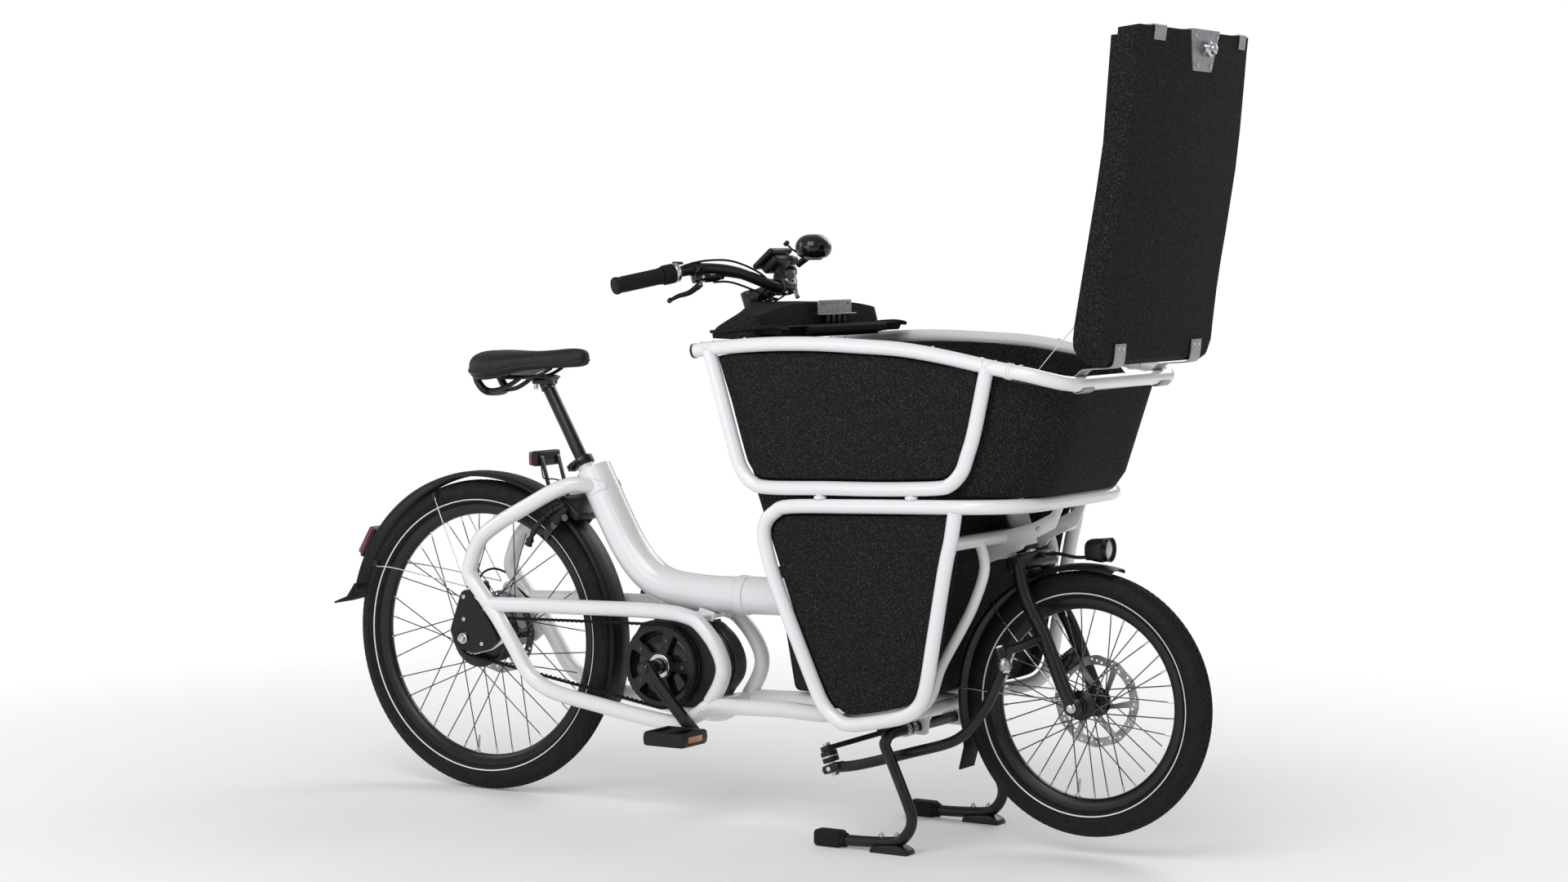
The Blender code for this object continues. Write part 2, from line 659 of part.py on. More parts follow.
def opened(obj):
    """A piece shaped on the closed lid, swung up about the hinge."""
    turn = Matrix.Rotation(LID_OPEN, 4, "Y")
    obj.data.transform(Matrix.Translation(HINGE) @ turn @ Matrix.Translation(-HINGE))
    return obj


def make_lid():
    inner_half = LID_HALF - WALL
    lid = cut(plate([LID_TOP + LID_RIM], -LID_HALF, LID_HALF),
              plate([LID_HOLLOW], -inner_half, inner_half))
    for side in SIDES.values():   # bevel the front corners
        corner = [(1.480, side * 0.206), (1.480, side * 0.262), (1.420, side * 0.262)]
        if side > 0:
            corner.reverse()
        lid = cut(lid, loft([at_height(corner, z) for z in (0.90, 1.05)]))
    node(opened(lid), "lid", "foam", HINGE)


def strap_outline():
    """Strip wrapped round the rail, then up and over the lid's front edge."""
    line = arc((HINGE.x, HINGE.z), STRAP_WRAP_R, 60, -171, 7) + STRAP_END
    above, below = [], []
    for i, (x, z) in enumerate(line):
        before, after = line[max(i - 1, 0)], line[min(i + 1, len(line) - 1)]
        offset = edge_normal(Vector(before), Vector(after)) * STRAP_HALF_T
        above.append((x + offset.x, z + offset.y))
        below.append((x - offset.x, z - offset.y))
    return above + below[::-1]


def make_hinge_straps():
    for name, side in SIDES.items():
        middle = side * STRAP_Y
        strap = plate([strap_outline()], middle - STRAP_HALF_W, middle + STRAP_HALF_W)
        node(opened(strap), f"hinge_strap_{name}", "grey_plate", HINGE)


def make_lid_lock():
    lock = joined(
        axial_rod(LOCK, Z_AXIS, -0.0002, 0.0160, 0.0115),
        block(LOCK + Vector((-0.016, 0, 0.0110)), (0.032, 0.012, 0.0060)),
    )
    origin = HINGE + Matrix.Rotation(LID_OPEN, 3, "Y") @ (LOCK - HINGE)
    node(opened(lock), "lid_lock", "steel", origin)


# ---------------------------------------------------------------- drive
# side views: x, z
MOTOR = [(0.440, 0.3940), (0.548, 0.3940), (0.580, 0.3800), (0.606, 0.355), (0.622, 0.320),
         (0.620, 0.285), (0.598, 0.254), (0.565, 0.222), (0.440, 0.222), (0.410, 0.240),
         (0.394, 0.280), (0.394, 0.335), (0.410, 0.372)]
BATTERY = [(0.700, 0.515), (0.742, 0.520), (0.800, 0.510), (0.905, 0.285), (0.890, 0.2620),
           (0.748, 0.2620)]
# pedal body from its axle: x, z
PEDAL = [(-0.046, -0.012), (-0.040, -0.014), (0.040, -0.014), (0.046, -0.012), (0.048, 0),
         (0.046, 0.012), (0.040, 0.014), (-0.040, 0.014), (-0.046, 0.012), (-0.048, 0)]
PEDAL_IN, PEDAL_OUT = 0.1250, 0.2180   # body, distances from the middle plane
CRANK_XZ = (CRANK.x, CRANK.z)


def make_motor_and_battery():
    motor = cut(plate([MOTOR], -0.0320, 0.0560), cross_rod(*CRANK_XZ, -0.1, 0.1, 0.0120))
    node(motor, "motor", "black_plastic")
    node(plate([BATTERY], 0.0450, 0.1300), "battery", "black_plastic")


def belt_path(grow):
    """The belt's outline round both pulleys, grown outwards by this much."""
    big, small = RING_R + BELT_GAP + grow, PULLEY_R + BELT_GAP + grow
    run, rise = CRANK.x - REAR_AXLE.x, CRANK.z - REAR_AXLE.z
    lean = math.degrees(math.atan2(rise, run))
    open_angle = math.degrees(math.acos((small - big) / math.hypot(run, rise)))
    wrap = 180 - open_angle
    return (arc(CRANK_XZ, big, lean - wrap, lean + wrap, 16)
            + arc((REAR_AXLE.x, REAR_AXLE.z), small, lean + wrap, lean + wrap + 2 * open_angle, 8))


def make_belt_drive():
    belt = plate([belt_path(BELT_T), belt_path(0.0006)], BELT_Y - BELT_W / 2, BELT_Y + BELT_W / 2)
    node(belt, "belt", "rubber", smooth=40)
    windows = [sector(CRANK_XZ, 0.072, 0.032, 72 * arm + 12, 72 * arm + 60, 4, 2)
               for arm in range(5)]
    belt_ring = plate(
        [ring(CRANK_XZ, RING_R, 40), ring(CRANK_XZ, 0.0112, 12)] + windows,
        BELT_Y - RING_HALF_W, BELT_Y + RING_HALF_W,
    )
    node(belt_ring, "belt_ring", "black_paint", CRANK)
    profile = [(PULLEY_R, -RING_HALF_W), (PULLEY_R, RING_HALF_W),
               (0.0130, RING_HALF_W), (0.0130, -RING_HALF_W)]
    pulley = turned(profile, REAR_AXLE + Y_AXIS * BELT_Y, 24, closed_profile=True)
    node(pulley, "rear_pulley", "steel", REAR_AXLE)


def crank_arm(side, direction):
    """One arm, wider at the axle boss than at the pedal end."""
    across = Vector((-direction.z, 0, direction.x))
    outline = []
    for centre, reach in ((CRANK, 0.0170), (CRANK + direction * CRANK_LENGTH, -0.0125)):
        for i in range(5):
            angle = math.pi / 2 + math.pi * i / 4
            point = centre + (direction * math.cos(angle) * reach
                              + across * math.sin(angle) * reach)
            outline.append((point.x, point.z))
    return side_plate(outline, side, 0.0950, 0.1080)


def pedal(side, centre):
    middle = side * (PEDAL_IN + PEDAL_OUT) / 2
    outline = [(centre.x + x, centre.z + z) for x, z in PEDAL]
    body = cut(
        side_plate(outline, side, PEDAL_IN, PEDAL_OUT),
        *[block((centre.x + x, middle, centre.z), (0.025, 0.070, 0.060))
          for x in (0.0255, -0.0255)],
    )
    return joined(body, cross_rod(centre.x, centre.z, side * 0.0960, side * 0.1300, 0.0047, 10))


def make_cranks_and_pedals():
    """The left crank carries the long axle, the right one a short boss."""
    # boss or axle: its far end in y, radius
    for name, boss_end, boss_r in (("right", -0.0525, 0.0150), ("left", -0.0515, 0.0098)):
        side = SIDES[name]
        direction = RIGHT_ARM * -side
        arm = joined(
            crank_arm(side, direction),
            cross_rod(*CRANK_XZ, side * 0.0960, boss_end, boss_r),
        )
        tip = CRANK + direction * CRANK_LENGTH
        hole = cross_rod(tip.x, tip.z, *sorted((side * 0.08, side * 0.12)), PEDAL_HOLE_R, 10)
        node(cut(arm, hole), f"crank_{name}", "black_paint", CRANK)
        node(pedal(side, tip), f"pedal_{name}", "black_plastic", tip)


# ---------------------------------------------------------------- wheels
# hub profiles from right to left: radius, y
FRONT_HUB = [(0.0, -0.0660), (0.0048, -0.0660), (0.0048, -0.0450), (0.0150, -0.0450),
             (0.0160, -0.0320), (0.0290, -0.0310), (0.0290, -0.0270), (0.0150, -0.0250),
             (0.0150, 0.0230), (0.0280, 0.0250), (0.0280, 0.0290), (0.0190, 0.0320),
             (0.0190, 0.0450), (0.0048, 0.0450), (0.0048, 0.0660), (0.0, 0.0660)]
REAR_HUB = [(0.0, -0.0860), (0.0070, -0.0860), (0.0070, -0.0600), (0.0120, -0.0600),
            (0.0120, -0.0400), (0.0600, -0.0380), (0.0680, -0.0330), (0.0680, -0.0280),
            (0.0560, -0.0240), (0.0520, 0.0200), (0.0620, 0.0260), (0.0620, 0.0310),
            (0.0300, 0.0360), (0.0180, 0.0400), (0.0180, 0.0600), (0.0070, 0.0600),
            (0.0070, 0.0860), (0.0, 0.0860)]
RIM_DEPTH = 0.0740           # tyre's outside down to the rim's inner face
SPOKES = 16
SPOKE_R = 0.0012
SPOKE_TIP_SCALE = 0.9912     # keeps the spoke tips within the flats of the faceted rim


def tyre_profile(radius):
    half = TYRE_W / 2
    outer = [(radius, 0.010), (radius - 0.009, half - 0.007), (radius - 0.027, half),
             (radius - 0.044, half - 0.006), (radius - 0.0535, 0.0125)]
    return outer + [(distance, -y) for distance, y in reversed(outer)]


def rim_profile(radius):
    half = [(radius - 0.0538, 0.0120), (radius - 0.0660, 0.0120), (radius - RIM_DEPTH, 0.0060)]
    return half + [(distance, -y) for distance, y in reversed(half)]


def spoked_hub(axle, radius, hub_profile, flange_y, flange_r):
    hub = turned(hub_profile, axle, 16)
    tip_r = (radius - RIM_DEPTH) * SPOKE_TIP_SCALE - 0.0005
    quarter = SPOKES // 4
    for side in SIDES.values():
        for lean in (-1, 1):
            shape = bmesh.new()
            for i in range(quarter):
                tip = 2 * math.pi * i / quarter + (math.pi / quarter if side > 0 else 0.0)
                tip += lean * math.radians(360 / SPOKES / 2)
                root = tip - lean * math.radians(50)
                start = Vector((flange_r * math.cos(root), side * (flange_y + lean * 0.0012),
                                flange_r * math.sin(root)))
                end = Vector((tip_r * math.cos(tip), side * 0.0040, tip_r * math.sin(tip)))
                add_cone(shape, start, end, SPOKE_R, SPOKE_R, 3, origin=axle)
            hub = joined(hub, object_from(shape))
    return hub


def rotor(axle, y, bore_r):
    centre = (axle.x, axle.z)
    windows = [sector(centre, 0.066, bore_r + 0.009, 60 * arm + 10, 60 * arm + 48, 3, 1)
               for arm in range(6)]
    outlines = [ring(centre, 0.090, 30), ring(centre, bore_r, 16)] + windows
    return plate(outlines, y - 0.0010, y + 0.0010)


def make_wheel(name, axle, radius, steps, hub, disc):
    """hub: profile, flange y, flange radius; disc: y, bore radius."""
    node(turned(tyre_profile(radius), axle, steps, True), f"{name}_tyre", "rubber", axle)
    node(turned(rim_profile(radius), axle, steps, True), f"{name}_rim", "black_paint", axle)
    node(spoked_hub(axle, radius, *hub), f"{name}_spokes", "steel", axle)
    node(rotor(axle, *disc), f"{name}_rotor", "steel", axle)


# ---------------------------------------------------------------- guards, calipers, rear lights, lock
# flap at the rear guard's lower end: x, z
FLAP = [(-0.3360, 0.4200), (-0.3400, 0.4290), (-0.3480, 0.4170), (-0.3620, 0.398),
        (-0.3980, 0.384), (-0.3960, 0.3805), (-0.3590, 0.3900), (-0.3470, 0.4040)]
GUARD_T = 0.0026
LOCK_DIRECTION = outward(49.3)


def guard(axle, radius, half, sweep, start, steps):
    """A curved guard, from the start angle through the sweep, degrees above forward."""
    edge, shoulder = radius - 0.0090, radius - 0.0015
    outer = [(edge, -half), (shoulder, -half * 0.80), (radius, -half * 0.35),
             (radius, half * 0.35), (shoulder, half * 0.80), (edge, half)]
    inner = [(edge, half - GUARD_T), (shoulder - GUARD_T, half * 0.76),
             (radius - GUARD_T, half * 0.33), (radius - GUARD_T, -half * 0.33),
             (shoulder - GUARD_T, -half * 0.76), (edge, -half + GUARD_T)]
    return turned(outer + inner, axle, steps, True, sweep, start)


def caliper(axle, y, angle, width, length):
    """A block slotted along its middle, at this angle round the axle."""
    body = cut(
        radial_block(axle, 0.0960, angle, (0.0340, width, length)),
        radial_block(axle, 0.0860, angle, (0.0300, 0.0060, 0.0800)),
    )
    body.data.transform(Matrix.Translation((0, y, 0)))
    return body


def make_guards_and_calipers():
    rear_guard = guard(REAR_AXLE, 0.3530, 0.0340, sweep=189.0, start=-21.0, steps=20)
    rear_guard = joined(rear_guard, plate([FLAP], -0.030, 0.030))
    node(rear_guard, "rear_fender", "black_plastic")
    front_guard = guard(FRONT_AXLE, 0.2710, 0.0310, sweep=122.0, start=76.0, steps=14)
    node(front_guard, "front_fender", "black_plastic", FORK_CROWN)
    node(caliper(REAR_AXLE, 0.0, 104.0, 0.0190, 0.0520), "rear_caliper", "black_plastic")
    node(caliper(FRONT_AXLE, 0.0400, 128.0, 0.0148, 0.0500), "front_caliper", "black_plastic",
         FORK_CROWN)


def make_rear_lights():
    tail_light = radial_block(REAR_AXLE, 0.3640, 149.0, (0.0200, 0.050, 0.072))
    node(tail_light, "tail_light", "red_lens")
    top_light = block((0.1525, 0, 0.7210), (0.075, 0.092, 0.030), bevel=0.003)
    for y in (-0.0435, 0.0435):
        for top_x, foot_x in ((0.128, 0.152), (0.166, 0.194)):
            leg = [(top_x, 0.715), (top_x + 0.012, 0.715), (foot_x + 0.012, 0.664),
                   (foot_x, 0.664)]
            top_light = joined(top_light, plate([leg], y - 0.0015, y + 0.0015))
    node(top_light, "top_light", "black_plastic")


def make_ring_lock():
    """A horseshoe across the rear tyre, square to the wheel."""
    horseshoe = sector((0, 0), 0.0605, 0.0500, -25, 205, 10, 10)
    turn = axes_matrix(Y_AXIS, LOCK_DIRECTION.cross(Y_AXIS) * -1, LOCK_DIRECTION)
    place = Matrix.Translation(REAR_AXLE + LOCK_DIRECTION * 0.3145)
    node(plate([horseshoe], -0.009, 0.009, matrix=place @ turn), "ring_lock", "black_plastic")


# ---------------------------------------------------------------- seat
CLAMP_CENTRE = SEAT_COLLAR - SEAT_UP * 0.0055
LEVER_PIN = CLAMP_CENTRE + SEAT_BACK * 0.0270 + Vector((0, -0.0150, 0))
# quick-release lever's line from its pin: y, distance forward of the pin
SEAT_LEVER = [(-0.010, 0.006), (-0.018, 0.022), (-0.019, 0.042)]
# saddle stations: x, half width, underside, top
SADDLE = [
    (-0.034, 0.060, 0.915, 0.938), (-0.020, 0.086, 0.897, 0.945), (0.015, 0.100, 0.898, 0.948),
    (0.060, 0.094, 0.905, 0.948), (0.110, 0.062, 0.914, 0.947), (0.165, 0.036, 0.914, 0.950),
    (0.220, 0.027, 0.912, 0.955), (0.252, 0.022, 0.916, 0.953), (0.264, 0.010, 0.927, 0.946),
]


def make_seat_clamp():
    clamp = cut(
        joined(
            axial_rod(SEAT_COLLAR, SEAT_UP, -0.014, 0.003, 0.0225, 14),
            block(CLAMP_CENTRE + SEAT_BACK * 0.026, (0.014, 0.016, 0.014),
                  (SEAT_BACK, Y_AXIS, SEAT_UP)),
        ),
        axial_rod(SEAT_COLLAR, SEAT_UP, -0.05, 0.05, 0.0184, 14),
    )
    node(clamp, "seat_clamp", "black_paint")
    line = [LEVER_PIN] + [LEVER_PIN + Vector((0, y, 0)) - SEAT_BACK * forward
                          for y, forward in SEAT_LEVER]
    lever = joined(axial_rod(LEVER_PIN, SEAT_UP, -0.006, 0.006, 0.0062, 10),
                   tube(line, 0.0040, 6))
    node(lever, "seat_lever", "black_paint", LEVER_PIN)


def make_seatpost():
    post = joined(
        axial_rod(SEAT_COLLAR, SEAT_UP, -0.110, 0.190, POST_R),
        block(SEAT_COLLAR + SEAT_UP * 0.192, (0.052, 0.042, 0.018), bevel=0.003),
    )
    node(post, "seatpost", "black_paint", SEAT_COLLAR)


def saddle_section(x, half, low, top):
    edge_z, under_z = low + 0.004, max(low + 0.001, 0.910)
    side_z, shoulder_z = low + (top - low) * 0.55, top - 0.004
    return [(x, -half, edge_z), (x, -half * 0.60, under_z), (x, half * 0.60, under_z),
            (x, half, edge_z), (x, half * 0.98, side_z), (x, half * 0.70, shoulder_z),
            (x, half * 0.2, top), (x, -half * 0.2, top), (x, -half * 0.70, shoulder_z),
            (x, -half * 0.98, side_z)]


def make_saddle():
    saddle = loft([saddle_section(*station) for station in SADDLE])
    node(saddle, "saddle", "saddle_skin", SEAT_COLLAR)


# ---------------------------------------------------------------- steering
REAR_EYE = steer_point(COLUMN_FOOT, -0.045, *STEER_OFFSET)
FRONT_EYE = steer_point(FORK_CROWN, -0.195, *STEER_OFFSET)
EYE_BORE_R = 0.0070
PIN_R = 0.0060
# steering rod, passing under the box from the rear eye to the front one: x, z
ROD_LINE = [(REAR_EYE.x + 0.004, REAR_EYE.z + 0.001), (1.005, 0.157), (1.070, 0.175),
            (1.137, 0.195), (1.200, 0.214), (1.235, 0.231), (1.264, 0.258), (1.298, 0.309),
            (FRONT_EYE.x - 0.006, FRONT_EYE.z - 0.010)]
# fork leg: x, z
FORK_LEG = [(1.3125, 0.560), (1.322, 0.517), (1.338, 0.479), (1.365, 0.433), (1.392, 0.372),
            (1.414, 0.322), (1.4310, 0.2930)]
FORK_LEG_Y = 0.0620
# headlight bracket: x, z
LIGHT_BRACKET = [(1.3400, 0.5760), (1.3650, 0.5790), (1.4050, 0.5770), (1.4350, 0.5830)]


def steering_pin(base, low, high):
    return rod(steer_point(base, low, *STEER_OFFSET), steer_point(base, high, *STEER_OFFSET), PIN_R)


def make_steering_column():
    lever_outline = arc((0, 0), 0.0190, -15, 165, 5) + arc(STEER_OFFSET, 0.0140, 165, 345, 5)
    turn = axes_matrix(STEER_FORWARD, -STEER_UP, Y_AXIS)
    column = joined(
        axial_rod(COLUMN_FOOT, STEER_UP, -0.010, COLUMN_TOP, 0.0125),
        plate([lever_outline], 0.0, 0.0100, matrix=Matrix.Translation(COLUMN_FOOT) @ turn),
        steering_pin(COLUMN_FOOT, -0.060, -0.004),
    )
    node(column, "steering_column", "black_paint", COLUMN_FOOT)


def make_steering_rod():
    piece = joined(
        side_tube(ROD_LINE, STEER_OFFSET[1], 0.0105),
        axial_rod(REAR_EYE, STEER_UP, -0.010, 0.010, 0.0140),
        axial_rod(FRONT_EYE, STEER_UP, -0.009, 0.009, 0.0130),
    )
    bores = [axial_rod(eye, STEER_UP, -0.05, 0.05, EYE_BORE_R) for eye in (REAR_EYE, FRONT_EYE)]
    node(cut(piece, *bores), "steering_rod", "black_paint", REAR_EYE)


def make_fork():
    fork = joined(
        block(steer_point(FORK_CROWN, -0.0135), (0.042, 0.150, 0.033),
              (STEER_FORWARD, Y_AXIS, STEER_UP), 0.005),
        axial_rod(FORK_CROWN, STEER_UP, -0.010, 0.106, 0.0135),
    )
    for side in SIDES.values():
        fork = joined(
            fork,
            side_tube(FORK_LEG, side * FORK_LEG_Y, 0.0142),
            cross_rod(FRONT_AXLE.x, FRONT_AXLE.z, side * 0.0540, side * 0.0700, 0.0170, 10),
        )
    # the steering lever, out from the right leg to its pin
    lever_end = tuple(steer_point(FORK_CROWN, -0.1700, *STEER_OFFSET))
    fork = joined(
        fork,
        tube([(1.3690, -0.0600, 0.4250), (1.3480, -0.1100, 0.4120), lever_end], 0.0090),
        steering_pin(FORK_CROWN, -0.208, -0.160),
    )
    fork = cut(fork, cross_rod(FRONT_AXLE.x, FRONT_AXLE.z, -0.1, 0.1, 0.0056, 10))
    node(fork, "fork", "black_paint", FORK_CROWN)


def make_headlight():
    light = joined(
        rod((1.4280, 0, 0.5920), (1.4800, 0, 0.5920), 0.0180, 12, radius_end=0.0240),
        side_tube(LIGHT_BRACKET, 0.0, 0.0035, 6),
    )
    node(light, "headlight", "headlight", FORK_CROWN)


# ---------------------------------------------------------------- handlebar
BAR_X, BAR_Z = 0.745, 1.0900   # the bar's middle
# right half of the bar, from its end inwards: x, y, z
BAR_HALF = [(0.560, -0.330, 1.0930), (0.632, -0.200, 1.1210), (0.660, -0.150, 1.1260),
            (0.700, -0.100, 1.1180), (BAR_X, -0.034, BAR_Z)]
GRIP_IN, GRIP_OUT = Vector(BAR_HALF[1]), Vector(BAR_HALF[0])
GRIP_DIR = (GRIP_OUT - GRIP_IN).normalized()
GRIP_R, GRIP_BORE_R = 0.0168, 0.0119

# right brake: the clamp on the bar and the directions it is set out in
BRAKE_INNER = Vector(BAR_HALF[2])
CLAMP = BRAKE_INNER.lerp(GRIP_IN, 0.45)
CLAMP_DIR = (GRIP_IN - BRAKE_INNER).normalized()
LEVER_AIM = Vector((0.46, 0.0, -0.888)).normalized()
LEVER_OUT = (LEVER_AIM - CLAMP_DIR * LEVER_AIM.dot(CLAMP_DIR)).normalized()
LEVER_AXIS = CLAMP_DIR.cross(LEVER_OUT).normalized()
LEVER_PIVOT = CLAMP + LEVER_OUT * 0.034 + CLAMP_DIR * 0.004
LEVER_TIP = Vector((0.632, -0.244, 1.064))

DISPLAY_FACE = Vector((-0.66, 0, 0.75)).normalized()
BELL = Vector((0.757, 0.100, 1.1500))
# bell body from the top of its dome down: radius, height
BELL_PROFILE = [(0.0, 0.0440), (0.0160, 0.0425), (0.0290, 0.0350), (0.0360, 0.0240),
                (0.0375, 0.0120), (0.0375, 0.0), (0.0, 0.0)]


def make_bar_and_stem():
    node(tube(both_sides(BAR_HALF), 0.0111), "handlebar", "black_paint", COLUMN_FOOT)
    base = steer_point(COLUMN_FOOT, COLUMN_TOP + 0.0005)
    stem = joined(
        axial_rod(base, STEER_UP, 0, 0.034, 0.0165),
        tube([base + STEER_UP * 0.018, (0.7020, 0, 1.0760), (BAR_X, 0, BAR_Z)], 0.0140),
        cross_rod(BAR_X, BAR_Z, -0.0210, 0.0210, 0.0200),
    )
    stem = cut(stem, cross_rod(BAR_X, BAR_Z, -0.05, 0.05, 0.0125))
    node(stem, "stem", "black_paint", COLUMN_FOOT)


def sleeve(start, end, radius):
    bore = rod(start - (end - start), end + (end - start), GRIP_BORE_R, 12)
    return cut(rod(start, end, radius, 12), bore)


def make_grips():
    """The right grip is short, to leave room for the twist shifter."""
    grip_end = GRIP_OUT + GRIP_DIR * 0.003
    right = sleeve(GRIP_IN + GRIP_DIR * 0.046, grip_end, GRIP_R)
    node(right, "grip_right", "rubber", COLUMN_FOOT)
    left = mirrored(sleeve(GRIP_IN + GRIP_DIR * 0.012, grip_end, GRIP_R))
    node(left, "grip_left", "rubber", COLUMN_FOOT)
    shifter = sleeve(GRIP_IN + GRIP_DIR * 0.010, GRIP_IN + GRIP_DIR * 0.045, 0.0195)
    node(shifter, "twist_shifter", "black_plastic", GRIP_IN + GRIP_DIR * 0.028)


def brake_mount():
    return cut(
        joined(
            axial_rod(CLAMP, CLAMP_DIR, -0.009, 0.009, 0.0165),
            block(CLAMP + LEVER_OUT * 0.0190 - CLAMP_DIR * 0.006, (0.040, 0.014, 0.020),
                  (CLAMP_DIR, LEVER_OUT, LEVER_AXIS), 0.002),
        ),
        axial_rod(CLAMP, CLAMP_DIR, -0.05, 0.05, 0.0121),
    )


def brake_lever():
    line = [LEVER_PIVOT, LEVER_PIVOT.lerp(LEVER_TIP, 0.35) + LEVER_OUT * 0.004,
            LEVER_PIVOT.lerp(LEVER_TIP, 0.7), LEVER_TIP]
    return joined(axial_rod(LEVER_PIVOT, LEVER_AXIS, -0.0065, 0.0065, 0.0068, 10),
                  tube(line, 0.0046, 6))


def make_brakes():
    left_pivot = Vector((LEVER_PIVOT.x, -LEVER_PIVOT.y, LEVER_PIVOT.z))
    node(brake_mount(), "brake_mount_right", "black_plastic", COLUMN_FOOT)
    node(mirrored(brake_mount()), "brake_mount_left", "black_plastic", COLUMN_FOOT)
    node(brake_lever(), "brake_lever_right", "black_paint", LEVER_PIVOT)
    node(mirrored(brake_lever()), "brake_lever_left", "black_paint", left_pivot)


def make_display_and_bell():
    axes = (DISPLAY_FACE.cross(Y_AXIS) * -1, Y_AXIS, DISPLAY_FACE)
    display = joined(
        block((0.7200, 0, 1.1450), (0.056, 0.082, 0.012), axes, 0.002),
        rod((0.7250, 0, 1.1400), (0.7400, 0, 1.1120), 0.0060, 8),
    )
    node(display, "display", "black_plastic", COLUMN_FOOT)
    bell = joined(
        turned(BELL_PROFILE, BELL, 16, axis="Z"),
        rod((0.7500, 0.1000, 1.1520), (0.7200, 0.0990, 1.1320), 0.0070, 8),
    )
    node(bell, "bell", "black_plastic", COLUMN_FOOT)


# ---------------------------------------------------------------- kickstand
# leg from its rear tip, along the ground and up: x, z
STAND_LEG = [(0.942, 0.0150), (1.022, 0.0160), (1.075, 0.0185), (1.120, 0.0240), (1.143, 0.0430),
             (1.151, 0.0690), (1.142, 0.0990), (1.107, 0.1760), (1.0915, 0.2080)]
# foot plate under the leg's bend: x, z
STAND_PAD = [(1.066, 0.0), (1.150, 0.0), (1.128, 0.0180), (1.080, 0.0140)]
PAD_HALF_W = 0.0170


def make_kickstand():
    right_half = [(x, -STAND_Y, z) for x, z in STAND_LEG]
    right_half += [(1.0960, -STAND_Y + 0.004, 0.2250),
                   (STAND_AXLE.x, -STAND_Y + 0.020, STAND_AXLE.z)]
    stand = joined(
        tube(both_sides(right_half), STAND_R),
        *[side_plate(STAND_PAD, side, STAND_Y - PAD_HALF_W, STAND_Y + PAD_HALF_W)
          for side in SIDES.values()],
    )
    node(stand, "kickstand", "black_paint", STAND_AXLE)
    for name, side in SIDES.items():
        y = side * STAND_Y
        boot = cut(
            block((0.9690, y, 0.0170), (0.0620, 0.0350, 0.0330), bevel=0.005),
            rod((0.9400, y, 0.01497), (1.0200, y, 0.01597), 0.0118, 12),
        )
        node(boot, f"stand_boot_{name}", "rubber", STAND_AXLE)


# ---------------------------------------------------------------- the whole bicycle
make_rear_frame()
make_front_frame()
make_upper_tubes()
make_box_tub()
make_box_well()
make_rear_cover()
make_catch_plate()
make_lid()
make_hinge_straps()
make_lid_lock()
make_motor_and_battery()
make_belt_drive()
make_cranks_and_pedals()
make_wheel("rear", REAR_AXLE, REAR_R, steps=28, hub=(REAR_HUB, 0.0300, 0.0580),
           disc=(0.0480, 0.0186))
make_wheel("front", FRONT_AXLE, FRONT_R, steps=24, hub=(FRONT_HUB, 0.0270, 0.0240),
           disc=(0.0400, 0.0196))
make_guards_and_calipers()
make_rear_lights()
make_ring_lock()
make_seat_clamp()
make_seatpost()
make_saddle()
make_steering_column()
make_steering_rod()
make_fork()
make_headlight()
make_bar_and_stem()
make_grips()
make_brakes()
make_display_and_bell()
make_kickstand()
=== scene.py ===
"""A two-wheeled cargo bicycle with a lidded foam box over its front wheel.

+X is forward, +Y the rider's left and +Z up, in metres. Dimensions are written from the
rear axle (x = 0) and moved to the CAD position by OFFSET as each piece is added.
"""
import math
import random
from math import cos, pi, radians, sin, tau

import bmesh
import bpy
from mathutils import Matrix, Vector


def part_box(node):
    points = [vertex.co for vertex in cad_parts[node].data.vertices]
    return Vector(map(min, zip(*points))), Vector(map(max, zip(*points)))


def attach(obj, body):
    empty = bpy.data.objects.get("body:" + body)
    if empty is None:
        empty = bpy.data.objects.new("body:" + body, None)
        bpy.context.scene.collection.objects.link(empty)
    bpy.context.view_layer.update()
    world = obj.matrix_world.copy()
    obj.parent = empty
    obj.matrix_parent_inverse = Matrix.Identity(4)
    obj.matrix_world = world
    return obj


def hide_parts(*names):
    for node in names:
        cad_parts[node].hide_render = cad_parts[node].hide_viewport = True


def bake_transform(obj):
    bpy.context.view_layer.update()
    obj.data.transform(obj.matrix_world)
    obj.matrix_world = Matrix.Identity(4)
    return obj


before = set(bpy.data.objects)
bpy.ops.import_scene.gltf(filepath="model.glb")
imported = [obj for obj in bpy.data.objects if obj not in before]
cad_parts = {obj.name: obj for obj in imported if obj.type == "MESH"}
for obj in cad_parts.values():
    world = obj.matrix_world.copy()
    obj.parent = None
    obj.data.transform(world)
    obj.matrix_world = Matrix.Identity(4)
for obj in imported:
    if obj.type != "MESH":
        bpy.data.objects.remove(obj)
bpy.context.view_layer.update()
low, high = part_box("rear_tyre")
OFFSET = Matrix.Translation(((low.x + high.x) / 2, 0, 0))
random.seed(7)

# ------------------------------------------------------------------ materials


